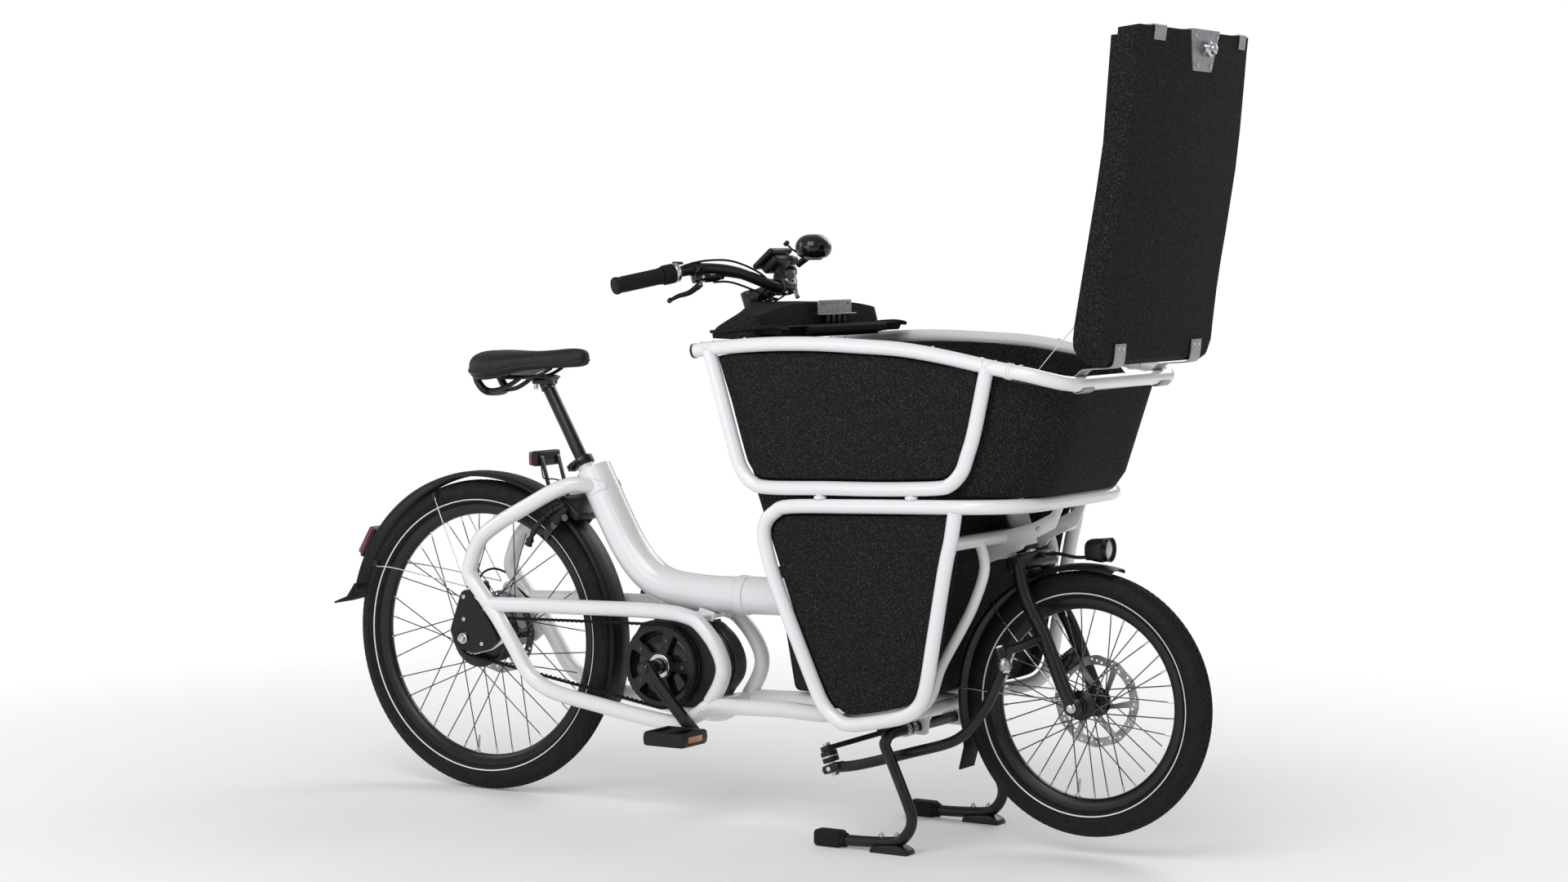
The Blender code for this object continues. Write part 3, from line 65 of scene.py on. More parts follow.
class Surface:
    """A material around one Principled BSDF, textured in object coordinates."""

    def __init__(self, name, colour, rough, metal=0.0, **more):
        self.material = bpy.data.materials.new(name)
        self.material.use_nodes = True
        self.material.diffuse_color = (*colour, 1.0)
        self.tree = self.material.node_tree
        self.shader = self.tree.nodes["Principled BSDF"]
        values = {"Base_Color": (*colour, 1.0), "Roughness": rough, "Metallic": metal, **more}
        for key, value in values.items():
            self.shader.inputs[key.replace("_", " ")].default_value = value
        self.where = self.tree.nodes.new("ShaderNodeTexCoord").outputs["Object"]

    def link(self, output, socket):
        self.tree.links.new(output, socket)

    def new(self, kind, **inputs):
        node = self.tree.nodes.new(kind)
        for key, value in inputs.items():
            node.inputs[key].default_value = value
        return node

    def noise(self, scale, detail=3, rough=0.6):
        node = self.new("ShaderNodeTexNoise", Scale=scale, Detail=detail, Roughness=rough)
        self.link(self.where, node.inputs["Vector"])
        return node.outputs["Fac"]

    def cells(self, scale):
        node = self.new("ShaderNodeTexVoronoi", Scale=scale)
        self.link(self.where, node.inputs["Vector"])
        return node.outputs["Distance"]

    def ramp(self, value, stops):
        """Colours by value; stops are (position, colour) from low to high."""
        node = self.new("ShaderNodeValToRGB")
        elements = node.color_ramp.elements
        for element, (position, colour) in zip(elements, (stops[0], stops[-1])):
            element.position = position
            element.color = (*colour, 1)
        for position, colour in stops[1:-1]:
            elements.new(position).color = (*colour, 1)
        self.link(value, node.inputs["Fac"])
        return node.outputs["Color"]

    def span(self, value, from_min, from_max, to_min, to_max):
        node = self.new("ShaderNodeMapRange", **{
            "From Min": from_min, "From Max": from_max, "To Min": to_min, "To Max": to_max})
        self.link(value, node.inputs["Value"])
        return node.outputs["Result"]

    def maths(self, operation, first, second):
        node = self.new("ShaderNodeMath")
        node.operation = operation
        for socket, value in zip(node.inputs, (first, second)):
            if isinstance(value, (int, float)):
                socket.default_value = value
            else:
                self.link(value, socket)
        return node.outputs["Value"]

    def bump(self, height, strength, distance):
        node = self.new("ShaderNodeBump", Strength=strength, Distance=distance)
        self.link(height, node.inputs["Height"])
        self.link(node.outputs["Normal"], self.shader.inputs["Normal"])

    def colour(self, value, *stops):
        self.link(self.ramp(value, stops), self.shader.inputs["Base Color"])

    def rough(self, value, from_min=0.3, from_max=0.7, *, to_min, to_max):
        result = self.span(value, from_min, from_max, to_min, to_max)
        self.link(result, self.shader.inputs["Roughness"])

    def mottle(self, scale, detail, dark, light, start=0.3, end=0.7):
        """Noise patches of colour between dark and light."""
        self.colour(self.noise(scale, detail), (start, dark), (end, light))

    def wear(self, scale, to_min, to_max, detail=3):
        """Noise patches of roughness."""
        self.rough(self.noise(scale, detail), to_min=to_min, to_max=to_max)

    def grain(self, scale, detail, strength, distance):
        """Noise bumps."""
        self.bump(self.noise(scale, detail), strength, distance)

    def facets(self, scale, centre, edge, strength, distance):
        """Moulded lens cells: colour and bumps from cells of one size."""
        self.colour(self.cells(scale), (0.0, centre), (0.8, edge))
        self.bump(self.cells(scale), strength, distance)


MATERIALS = {}


def surface(key, *args, **more):
    """A new surface, listed in MATERIALS under a short key."""
    made = Surface(*args, **more)
    MATERIALS[key] = made.material
    return made


# frame paint
look = surface("white", "white_paint", (0.8, 0.8, 0.81), rough=0.24,
               Coat_Weight=0.6, Coat_Roughness=0.08)
look.mottle(scale=5, detail=3, dark=(0.745, 0.75, 0.765), light=(0.775, 0.78, 0.795),
            start=0.2, end=0.8)
look.wear(scale=60, to_min=0.22, to_max=0.27)
look.grain(scale=260, detail=2, strength=0.05, distance=0.0004)

# painted weld beads
look = surface("weld", "weld_white", (0.78, 0.78, 0.79), rough=0.3,
               Coat_Weight=0.5, Coat_Roughness=0.12)
look.mottle(scale=120, detail=5, dark=(0.7, 0.705, 0.72), light=(0.76, 0.765, 0.78))
look.grain(scale=420, detail=3, strength=0.5, distance=0.001)

# foam of small beads: cells darkened at their edges, broken up by fine noise
look = surface("foam", "bead_foam", (0.01, 0.01, 0.0105), rough=0.86, Specular_IOR_Level=0.08)
beads = look.cells(scale=300)
fine = look.noise(scale=430, detail=3, rough=0.62)
tone = look.maths("MULTIPLY",
                  look.span(beads, from_min=0.0, from_max=0.62, to_min=1.0, to_max=0.3),
                  look.span(fine, from_min=0.34, from_max=0.68, to_min=0.1, to_max=1.5))
look.colour(tone, (0.0, (0.005, 0.005, 0.0053)), (0.3, (0.01, 0.01, 0.0105)),
            (0.6, (0.024, 0.024, 0.0245)), (0.95, (0.06, 0.06, 0.061)))
look.rough(fine, to_min=0.66, to_max=0.9)
look.bump(look.maths("ADD", look.maths("MULTIPLY", beads, -0.6),
                     look.maths("MULTIPLY", fine, 0.8)), strength=0.55, distance=0.0012)

# speckled foam skin
look = surface("foam_skin", "foam_skin", (0.01, 0.01, 0.011), rough=0.7, Specular_IOR_Level=0.14)
fine = look.noise(scale=900, detail=4, rough=0.7)
look.colour(fine, (0.35, (0.004, 0.004, 0.0045)), (0.6, (0.014, 0.014, 0.015)),
            (0.76, (0.08, 0.08, 0.08)))
look.bump(look.maths("ADD", look.maths("MULTIPLY", look.cells(scale=300), -0.5), fine),
          strength=0.4, distance=0.0009)

# moulded plastic
look = surface("plastic", "black_plastic", (0.008, 0.008, 0.009), rough=0.42,
               Specular_IOR_Level=0.28)
look.mottle(scale=35, detail=4, dark=(0.0055, 0.0055, 0.006), light=(0.0105, 0.0105, 0.011))
look.wear(scale=90, detail=4, to_min=0.34, to_max=0.52)
look.grain(scale=1500, detail=2, strength=0.18, distance=0.0004)

# polished plastic
look = surface("gloss", "gloss_plastic", (0.006, 0.006, 0.007), rough=0.14,
               Coat_Weight=0.25, Coat_Roughness=0.05, Specular_IOR_Level=0.35)
look.mottle(scale=30, detail=3, dark=(0.004, 0.004, 0.005), light=(0.008, 0.008, 0.009))
look.wear(scale=70, to_min=0.09, to_max=0.18)

# black paint
look = surface("paint", "black_paint", (0.007, 0.007, 0.008), rough=0.32,
               Coat_Weight=0.12, Coat_Roughness=0.18, Specular_IOR_Level=0.3)
look.mottle(scale=25, detail=5, dark=(0.005, 0.005, 0.0055), light=(0.0095, 0.0095, 0.01))
look.wear(scale=120, detail=4, to_min=0.26, to_max=0.4)
look.grain(scale=700, detail=2, strength=0.1, distance=0.0003)

# tyres
look = surface("tyre", "tyre_rubber", (0.009, 0.009, 0.0095), rough=0.74, Specular_IOR_Level=0.2)
look.mottle(scale=60, detail=6, dark=(0.006, 0.006, 0.0065), light=(0.0135, 0.0135, 0.014))
look.wear(scale=160, detail=4, to_min=0.6, to_max=0.82)
look.grain(scale=900, detail=3, strength=0.25, distance=0.0006)

# grips, hoses and belt
look = surface("rubber", "grip_rubber", (0.008, 0.008, 0.009), rough=0.74,
               Specular_IOR_Level=0.2)
look.mottle(scale=200, detail=4, dark=(0.006, 0.006, 0.0065), light=(0.0125, 0.0125, 0.013))
look.bump(look.cells(scale=700), strength=0.4, distance=0.0006)

# reflective tyre line
look = surface("stripe", "reflective_line", (0.72, 0.73, 0.75), rough=0.35)
look.mottle(scale=300, detail=4, dark=(0.6, 0.61, 0.63), light=(0.8, 0.81, 0.83))
look.bump(look.cells(scale=1500), strength=0.3, distance=0.0003)

# bright fasteners
look = surface("steel", "bright_steel", (0.6, 0.6, 0.61), rough=0.24, metal=1.0)
look.mottle(scale=45, detail=5, dark=(0.52, 0.52, 0.53), light=(0.68, 0.68, 0.69))
look.wear(scale=240, detail=4, to_min=0.18, to_max=0.34)
look.grain(scale=1200, detail=2, strength=0.08, distance=0.0002)

# brake discs
look = surface("rotor", "rotor_steel", (0.36, 0.36, 0.37), rough=0.3, metal=1.0)
look.mottle(scale=140, detail=6, dark=(0.26, 0.26, 0.27), light=(0.46, 0.46, 0.47))
look.wear(scale=500, detail=4, to_min=0.26, to_max=0.44)

# grey sheet metal
look = surface("grey", "grey_sheet", (0.3, 0.31, 0.32), rough=0.45, metal=0.5)
look.mottle(scale=70, detail=5, dark=(0.25, 0.26, 0.27), light=(0.36, 0.37, 0.38))
look.wear(scale=300, to_min=0.38, to_max=0.55)
look.grain(scale=800, detail=2, strength=0.12, distance=0.0003)

# dark steel
look = surface("dark", "dark_steel", (0.1, 0.1, 0.105), rough=0.36, metal=0.9)
look.mottle(scale=90, detail=5, dark=(0.06, 0.06, 0.063), light=(0.15, 0.15, 0.155))
look.wear(scale=300, detail=4, to_min=0.28, to_max=0.46)

# satin mudguards
look = surface("satin", "satin_black", (0.007, 0.007, 0.008), rough=0.46,
               Specular_IOR_Level=0.26)
look.mottle(scale=30, detail=5, dark=(0.005, 0.005, 0.0055), light=(0.0095, 0.0095, 0.01))
look.wear(scale=260, detail=4, to_min=0.4, to_max=0.54)
look.bump(look.cells(scale=700), strength=0.1, distance=0.0003)

# saddle cover
look = surface("saddle", "saddle_skin", (0.008, 0.008, 0.009), rough=0.5,
               Specular_IOR_Level=0.3)
pebbles = look.cells(scale=520)
look.mottle(scale=40, detail=5, dark=(0.006, 0.006, 0.0065), light=(0.0115, 0.0115, 0.012))
look.wear(scale=90, detail=4, to_min=0.38, to_max=0.56)
look.bump(look.maths("ADD", look.maths("MULTIPLY", pebbles, -1.0),
                     look.noise(scale=1500, detail=2)), strength=0.35, distance=0.0007)

# lenses
look = surface("red", "red_lens", (0.2, 0.008, 0.015), rough=0.14, Coat_Weight=0.8)
look.facets(scale=420, centre=(0.3, 0.012, 0.02), edge=(0.1, 0.004, 0.01),
            strength=0.4, distance=0.0008)
look = surface("amber", "amber_lens", (0.55, 0.2, 0.02), rough=0.16, Coat_Weight=0.6)
look.facets(scale=500, centre=(0.7, 0.28, 0.03), edge=(0.34, 0.1, 0.01),
            strength=0.4, distance=0.0008)
look = surface("lens", "clear_lens", (0.75, 0.78, 0.8), rough=0.08,
               Transmission_Weight=0.35, Coat_Weight=1.0)
look.facets(scale=260, centre=(0.86, 0.88, 0.9), edge=(0.45, 0.47, 0.5),
            strength=0.5, distance=0.001)

# ------------------------------------------------------------------ mesh helpers


def new_object(mesh):
    obj = bpy.data.objects.new("piece", mesh)
    bpy.context.scene.collection.objects.link(obj)
    return obj


def from_bmesh(work):
    mesh = bpy.data.meshes.new("piece")
    work.to_mesh(mesh)
    work.free()
    return new_object(mesh)


def from_faces(points, faces):
    mesh = bpy.data.meshes.new("piece")
    mesh.from_pydata([tuple(point) for point in points], [], faces)
    return new_object(mesh)


def clean(obj, near=1e-6):
    """Joins coincident points and turns the faces outward."""
    work = bmesh.new()
    work.from_mesh(obj.data)
    bmesh.ops.remove_doubles(work, verts=work.verts, dist=near)
    bmesh.ops.recalc_face_normals(work, faces=work.faces)
    work.to_mesh(obj.data)
    work.free()
    return obj


def bake(obj):
    """The object with its modifiers applied."""
    bpy.context.view_layer.update()
    graph = bpy.context.evaluated_depsgraph_get()
    mesh = bpy.data.meshes.new_from_object(obj.evaluated_get(graph), depsgraph=graph)
    mesh.transform(obj.matrix_world)
    bpy.data.objects.remove(obj, do_unlink=True)
    return new_object(mesh)


def catmull_rom(before, start, end, after, t):
    return 0.5 * ((2 * start) + (end - before) * t
                  + (2 * before - 5 * start + 4 * end - after) * t * t
                  + (3 * start - before - 3 * end + after) * t ** 3)


def smooth_line(points, per=5):
    """An open curve through the points, with per steps between neighbours."""
    points = [Vector(point) for point in points]
    last = len(points) - 1
    curve = []
    for i in range(last):
        near = (points[max(i - 1, 0)], points[i], points[i + 1], points[min(i + 2, last)])
        curve += [catmull_rom(*near, k / per) for k in range(per)]
    return curve + [points[-1]]


def sweep(line, radius, sides=20, closed=False):
    """A round tube along a line, ends slightly domed; radius is a number or one per point."""
    line = [Vector(point) for point in line]
    count = len(line)
    radii = radius if isinstance(radius, list) else [radius] * count
    tangents = []
    for i in range(count):
        before = line[(i - 1) % count] if closed else line[max(i - 1, 0)]
        after = line[(i + 1) % count] if closed else line[min(i + 1, count - 1)]
        tangents.append((after - before).normalized())
    side = tangents[0].orthogonal().normalized()
    points, faces = [], []
    for i in range(count):
        if i:
            side = (side - tangents[i] * side.dot(tangents[i])).normalized()
        other = tangents[i].cross(side)
        for k in range(sides):
            angle = tau * k / sides
            points.append(line[i] + (side * cos(angle) + other * sin(angle)) * radii[i])
    for i in range(count if closed else count - 1):
        here, there = i * sides, (i + 1) % count * sides
        for k in range(sides):
            after = (k + 1) % sides
            faces.append((here + k, here + after, there + after, there + k))
    if not closed:
        for i, way in ((0, -1), (count - 1, 1)):
            tip = len(points)
            points.append(line[i] + tangents[i] * way * radii[i] * 0.1)
            for k in range(sides):
                edge = (i * sides + k, i * sides + (k + 1) % sides)
                faces.append((*edge[::way], tip))
    return clean(from_faces(points, faces))


def tube(points, radius, sides=20, per=5):
    return sweep(smooth_line(points, per), radius, sides)


def side_tube(points, y, radius, sides=20, per=5):
    """A tube through (x, z) points at one y."""
    return tube([(x, y, z) for x, z in points], radius, sides, per)


def rounded(obj, width, segments=3, angle=30.0):
    bevel = obj.modifiers.new("round", "BEVEL")
    bevel.width = width
    bevel.segments = segments
    bevel.limit_method = "ANGLE"
    bevel.angle_limit = radians(angle)
    return clean(bake(obj))


def rod(start, end, radius, sides=28, radius_end=None, bevel=0.0):
    start, end = Vector(start), Vector(end)
    along = end - start
    work = bmesh.new()
    bmesh.ops.create_cone(
        work, cap_ends=True, segments=sides, radius1=radius,
        radius2=radius if radius_end is None else radius_end, depth=along.length,
        matrix=Matrix.Translation((start + end) / 2)
        @ along.to_track_quat("Z", "Y").to_matrix().to_4x4())
    obj = from_bmesh(work)
    return rounded(obj, bevel, 2) if bevel else obj


def y_rod(x, z, y_start, y_end, radius, sides=28, bevel=0.0):
    """A rod parallel to y."""
    return rod((x, y_start, z), (x, y_end, z), radius, sides, bevel=bevel)


def basis(axes):
    return Matrix(axes).transposed().to_4x4()


def block(centre, size, axes=None, bevel=0.002, segments=3):
    work = bmesh.new()
    bmesh.ops.create_cube(work, size=1.0, matrix=Matrix.Diagonal((*size, 1.0)))
    obj = from_bmesh(work)
    if bevel:
        obj = rounded(obj, bevel, segments)
    turn = basis(axes) if axes else Matrix.Identity(4)
    obj.data.transform(Matrix.Translation(centre) @ turn)
    return clean(obj)


def plate(outlines, y_low, y_high, matrix=None, bevel=0.0, segments=2, angle=30.0):
    """A sheet between two y values; the first (x, z) outline bounds it, the others are holes."""
    curve = bpy.data.curves.new("outline", "CURVE")
    curve.dimensions = "2D"
    curve.fill_mode = "BOTH"
    curve.extrude = (y_high - y_low) / 2
    for outline in outlines:
        spline = curve.splines.new("POLY")
        spline.points.add(len(outline) - 1)
        for point, (x, z) in zip(spline.points, outline):
            point.co = (x, z, 0.0, 1.0)
        spline.use_cyclic_u = True
    stand = Matrix.Translation((0, (y_low + y_high) / 2, 0)) @ Matrix.Rotation(pi / 2, 4, "X")
    obj = clean(bake(new_object(curve)), 1e-5)
    if bevel:
        obj = rounded(obj, bevel, segments, angle)
    obj.data.transform(stand if matrix is None else matrix @ stand)
    return clean(obj)


def side_plate(outlines, side, near, far, **more):
    """A plate on one side of the bicycle, near and far from its middle."""
    return plate(outlines, *sorted((side * near, side * far)), **more)


def turned(profile, centre, steps=64, closed=False, sweep_deg=360.0, start=0.0, axis="Y"):
    """A profile of (radius, along) points turned about an axis through centre."""
    centre = Vector(centre)
    whole = sweep_deg >= 360
    rings = steps if whole else steps + 1
    points, faces = [], []
    for i in range(rings):
        angle = radians(start + sweep_deg * i / steps)
        for radius, along in profile:
            out, over = radius * cos(angle), radius * sin(angle)
            place = {"X": (along, out, over), "Y": (out, along, over), "Z": (out, over, along)}
            points.append(centre + Vector(place[axis]))
    count = len(profile)
    for i in range(rings if whole else rings - 1):
        here, there = i * count, (i + 1) % rings * count
        for k in range(count if closed else count - 1):
            after = (k + 1) % count
            faces.append((here + k, here + after, there + after, there + k))
    if closed and not whole:
        faces.append(tuple(range(count)))
        faces.append(tuple((rings - 1) * count + k for k in reversed(range(count))))
    return clean(from_faces(points, faces))


def turned_at(profile, place, lean, steps, closed=False, axis="Z"):
    """A turned shape leaned about y, then moved to its place."""
    obj = turned(profile, (0, 0, 0), steps, closed, axis=axis)
    obj.data.transform(Matrix.Translation(place) @ Matrix.Rotation(lean, 4, "Y"))
    return obj


def loft(rings):
    count = len(rings[0])
    faces = [tuple(reversed(range(count)))]
    for level in range(len(rings) - 1):
        here, there = level * count, (level + 1) * count
        for i in range(count):
            after = (i + 1) % count
            faces.append((here + i, here + after, there + after, there + i))
    faces.append(tuple((len(rings) - 1) * count + i for i in range(count)))
    return clean(from_faces([point for ring in rings for point in ring], faces))


def boolean(target, other, operation):
    modifier = target.modifiers.new("boolean", "BOOLEAN")
    modifier.operation = operation
    modifier.solver = "EXACT"
    modifier.object = other
    result = bake(target)
    bpy.data.objects.remove(other, do_unlink=True)
    return clean(result)


def cut(target, *others):
    for other in others:
        target = boolean(target, other, "DIFFERENCE")
    return target


def merge(*objs):
    """Several shapes as one object."""
    work = bmesh.new()
    for obj in objs:
        work.from_mesh(obj.data)
        bpy.data.objects.remove(obj, do_unlink=True)
    return from_bmesh(work)


def flipped(obj):
    """A copy mirrored to the other side."""
    mesh = obj.data.copy()
    mesh.transform(Matrix.Diagonal((1, -1, 1, 1)))
    mesh.flip_normals()
    return new_object(mesh)


def both(obj):
    """The shape and its mirror image as one."""
    return merge(obj, flipped(obj))


def finish(obj, name, material, place=None):
    obj.name = name
    obj.data.name = name
    if place is not None:
        obj.data.transform(place)
    obj.data.transform(OFFSET)
    obj.data.materials.clear()
    obj.data.materials.append(MATERIALS[material])
    obj.data.shade_smooth()
    return obj


def add(obj, name, material, body="frame", replaces=None, smooth=35.0, place=None):
    """Finishes a shape, or a list of shapes as one, and hands it to its moving body."""
    if isinstance(obj, list):
        obj = merge(*obj)
    finish(obj, name, material, place)
    obj.data.set_sharp_from_angle(angle=radians(smooth))
    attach(obj, body)
    if replaces:
        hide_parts(replaces)


# ------------------------------------------------------------------ outline helpers


def on_circle(x, z, radius, angle):
    return (x + radius * cos(angle), z + radius * sin(angle))


def arc(x, z, radius, begin, end, steps):
    return [on_circle(x, z, radius, begin + (end - begin) * i / steps) for i in range(steps + 1)]


def circle(x, z, radius, steps):
    return [on_circle(x, z, radius, tau * i / steps) for i in range(steps)]


def inset(outline, distance):
    """A closed outline moved inward."""
    area = sum(a[0] * b[1] - b[0] * a[1] for a, b in zip(outline, outline[1:] + outline[:1]))
    sign = 1.0 if area > 0 else -1.0

    def normal(step):
        return Vector((-step.y, step.x)).normalized() * sign

    moved = []
    for i, here in enumerate(outline):
        before, after = Vector(outline[i - 1]), Vector(outline[(i + 1) % len(outline)])
        here = Vector(here)
        first = normal(here - before)
        middle = (first + normal(after - here)).normalized()
        moved.append(tuple(here + middle * distance / max(0.5, middle.dot(first))))
    return moved


def smooth_outline(outline, per=3):
    """A closed curve through a 2D outline."""
    points = [Vector(point) for point in outline]
    count = len(points)
    curve = []
    for i in range(count):
        near = (points[i - 1], points[i], points[(i + 1) % count], points[(i + 2) % count])
        curve += [tuple(catmull_rom(*near, k / per)) for k in range(per)]
    return curve


def fillet(outline, radius, steps=4):
    """Corners of a closed outline rounded to about this radius."""
    result = []
    for i, corner in enumerate(outline):
        here = Vector(corner)
        back = Vector(outline[i - 1]) - here
        ahead = Vector(outline[(i + 1) % len(outline)]) - here
        start = here + back.normalized() * min(radius, back.length * 0.45)
        end = here + ahead.normalized() * min(radius, ahead.length * 0.45)
        for k in range(steps + 1):
            t = k / steps
            point = start * (1 - t) ** 2 + here * 2 * t * (1 - t) + end * t * t
            result.append((point.x, point.y))
    return result


def mirrored(line):
    """The line's mirror image, run the other way."""
    return [(x, -y, z) for x, y, z in reversed(line)]


def interpolate(table, value):
    """A value read from a rising table of pairs; the end spans run on past the ends."""
    for (x0, y0), (x1, y1) in zip(table, table[1:]):
        if value <= x1:
            break
    return y0 + (y1 - y0) * (value - x0) / (x1 - x0)


def plan_ring(z, x_rear, x_front, half, r_rear, r_front, steps=8):
    """A level rectangle with rounded corners."""
    corners = ((x_rear + r_rear, -half + r_rear, r_rear, 180),
               (x_front - r_front, -half + r_front, r_front, 270),
               (x_front - r_front, half - r_front, r_front, 0),
               (x_rear + r_rear, half - r_rear, r_rear, 90))
    return [(*on_circle(x, y, radius, radians(begin + 90 * i / steps)), z)
            for x, y, radius, begin in corners for i in range(steps + 1)]


def slice_mesh(work, place, normal):
    bmesh.ops.bisect_plane(work, geom=work.verts[:] + work.edges[:] + work.faces[:],
                           plane_co=place, plane_no=normal)


# ------------------------------------------------------------------ small parts


def weld_bead(point, direction, radius, main_point, main_direction, main_radius, size=0.0014):
    """A rippled bead where a tube runs into a main tube."""
    steps = 44
    point, along = Vector(point), Vector(direction).normalized()
    origin, main = Vector(main_point), Vector(main_direction).normalized()
    across = along.orthogonal().normalized()
    over = along.cross(across)
    line, radii = [], []
    for i in range(steps):
        angle = tau * i / steps
        start = point + (across * cos(angle) + over * sin(angle)) * (radius + 0.0004)
        # distance along the tube to the main tube's surface, from a quadratic
        offset = start - origin
        offset = offset - main * offset.dot(main)
        slope = along - main * along.dot(main)
        square, linear = slope.dot(slope), 2 * offset.dot(slope)
        disc = linear * linear - 4 * square * (offset.dot(offset) - main_radius * main_radius)
        if disc <= 0 or square < 1e-9:
            distance = -linear / (2 * square) if square > 1e-9 else 0.0
        else:
            distance = (-linear + math.sqrt(disc)) / (2 * square)
        line.append(start + along * distance)
        radii.append(size * (1.0 + 0.16 * sin(i * tau / steps * 22)))
    return sweep(line, radii, 8, closed=True)


def weld_ring(x, z, radius, slant, size, ripple):
    """A bead around the main tube, leaning forward by slant at the top."""
    angles = [tau * i / 60 for i in range(60)]
    line = [(x + slant * sin(a), radius * cos(a), z + radius * sin(a)) for a in angles]
    return sweep(line, [size + ripple * sin(i * 2.2) for i in range(60)], 8, closed=True)


def screw(place, axis, radius, height):
    """A socket head screw standing on a surface."""
    place, axis = Vector(place), Vector(axis).normalized()
    head = rod(place - axis * 0.001, place + axis * height, radius, 20, bevel=radius * 0.18)
    return cut(head, rod(place + axis * (height * 0.45), place + axis * (height + 0.003),
                         radius * 0.5, 6))


# ------------------------------------------------------------------ shared geometry
SIDES = ((-1, "right"), (1, "left"))
LEFT = Vector((0, 1, 0))
TILT = radians(20)              # steering axes lean back by this
STEER_UP = Vector((-sin(TILT), 0, cos(TILT)))
STEER_FWD = Vector((cos(TILT), 0, sin(TILT)))
STEER_AXES = (STEER_FWD, LEFT, STEER_FWD.cross(LEFT))
REAR, FRONT = Vector((0, 0, 0.3345)), Vector((1.432, 0, 0.292))     # wheel axles
REAR_RADIUS, FRONT_RADIUS = 0.3345, 0.258                           # tyres
COLUMN_FOOT, FORK_CROWN = Vector((0.9795, 0, 0.205)), Vector((1.3055, 0, 0.575))
LINK = (-0.045, -0.15)          # steering rod ends, forward of and left of each axis
SEAT_COLLAR = Vector((0.25, 0, 0.721))
SEAT_LEAN = radians(30)
SEAT_UP = Vector((-0.5, 0, cos(SEAT_LEAN)))
CRANK = Vector((0.477, 0, 0.304))
HINGE = Vector((1.5, 0, 0.917))
LID_OPEN = (Matrix.Translation(HINGE) @ Matrix.Rotation(radians(88), 4, "Y")
            @ Matrix.Translation(-HINGE))
FRAME_Y = 0.075                 # paired lower frame tubes
LOOP_Y = 0.265                  # loops at the sides of the box


def foot_at(along, forward=0.0, left=0.0):
    """A point from the column foot, in the leaning steering axes."""
    return COLUMN_FOOT + STEER_UP * along + STEER_FWD * forward + LEFT * left


def crown_at(along, forward=0.0, left=0.0):
    """A point from the fork crown, in the leaning steering axes."""
    return FORK_CROWN + STEER_UP * along + STEER_FWD * forward + LEFT * left


def column_x(z):
    return COLUMN_FOOT.x - (z - COLUMN_FOOT.z) * math.tan(TILT)


# ------------------------------------------------------------------ rear frame
# centre lines from the seat end to the front: x, y, z, or x, z where y is constant
STAY_RADIUS = 0.0165
STAY = [
    (0.3, 0.02, 0.668), (0.262, 0.052, 0.671), (0.223, 0.066, 0.657), (0.156, 0.075, 0.621),
    (0.088, 0.075, 0.585), (0.039, 0.075, 0.549), (0.015, 0.075, 0.503), (0.011, 0.075, 0.47),
    (0.045, 0.075, 0.427), (0.086, 0.075, 0.379), (0.127, 0.075, 0.321), (0.16, 0.075, 0.273),
    (0.194, 0.075, 0.248), (0.241, 0.075, 0.232), (0.32, 0.075, 0.219), (0.521, 0.075, 0.193),
    (0.585, 0.075, 0.214), (0.612, 0.075, 0.232), (0.641, 0.075, 0.2365)]
MIDDLE_TUBE = [
    (0.062, 0.41), (0.17, 0.414), (0.275, 0.417), (0.44, 0.421), (0.521, 0.42), (0.559, 0.415),
    (0.59, 0.403), (0.627, 0.365), (0.648, 0.322), (0.643, 0.285), (0.618, 0.242)]
MAIN_TUBE = [
    (0.279, 0.702), (0.307, 0.651), (0.335, 0.6), (0.372, 0.54), (0.415, 0.493), (0.47, 0.465),
    (0.56, 0.456), (0.644, 0.457)]
add(side_tube(MAIN_TUBE, 0.0, 0.0375, 40, 6), "rear_main_tube", "white", replaces="rear_frame")
add(rod(SEAT_COLLAR - SEAT_UP * 0.05, SEAT_COLLAR - SEAT_UP * 0.015, 0.0177, 32),
    "seat_tube", "white")
add(both(sweep(smooth_line(STAY, 6), STAY_RADIUS, 24)), "rear_stays", "white")
add(both(side_tube(MIDDLE_TUBE, FRAME_Y, 0.016, 24, 6)), "rear_side_tubes", "white")
BRACKET_EAR = [(0.56, 0.41), (0.598, 0.402), (0.604, 0.42), (0.566, 0.43)]
add([
    block((0.578, 0, 0.4125), (0.034, 0.142, 0.01), bevel=0.003),
    both(plate([fillet(BRACKET_EAR, 0.004)], 0.03, 0.0355, bevel=0.0012)),
    y_rod(0.6175, 0.2365, -0.0745, 0.0745, 0.012, 24),
    y_rod(0.243, 0.662, -0.06, 0.06, 0.008, 20),
    y_rod(0.57, 0.206, -0.0745, 0.0745, 0.01, 20),
], "rear_cross_members", "white")

# tube end, its direction and radius, then a point on the main tube, its direction and
# radius; y values are for the left side
STAY_WELDS = [
    ((0.3, 0.03, 0.668), (-0.038, 0.032, 0.003), 0.0165, (0.3, 0, 0.664), (-0.5, 0, 0.866), 0.0375),
    ((0.1, 0.075, 0.412), (-1, 0, -0.02), 0.016, (0.045, 0.075, 0.427), (0.65, 0, -0.76), 0.0165),
    ((0.62, 0.075, 0.25), (-0.5, 0, -0.86), 0.016, (0.612, 0.075, 0.232), (0.6, 0, 0.25), 0.0165)]


def on_side(point, side):
    return (point[0], side * point[1], point[2])


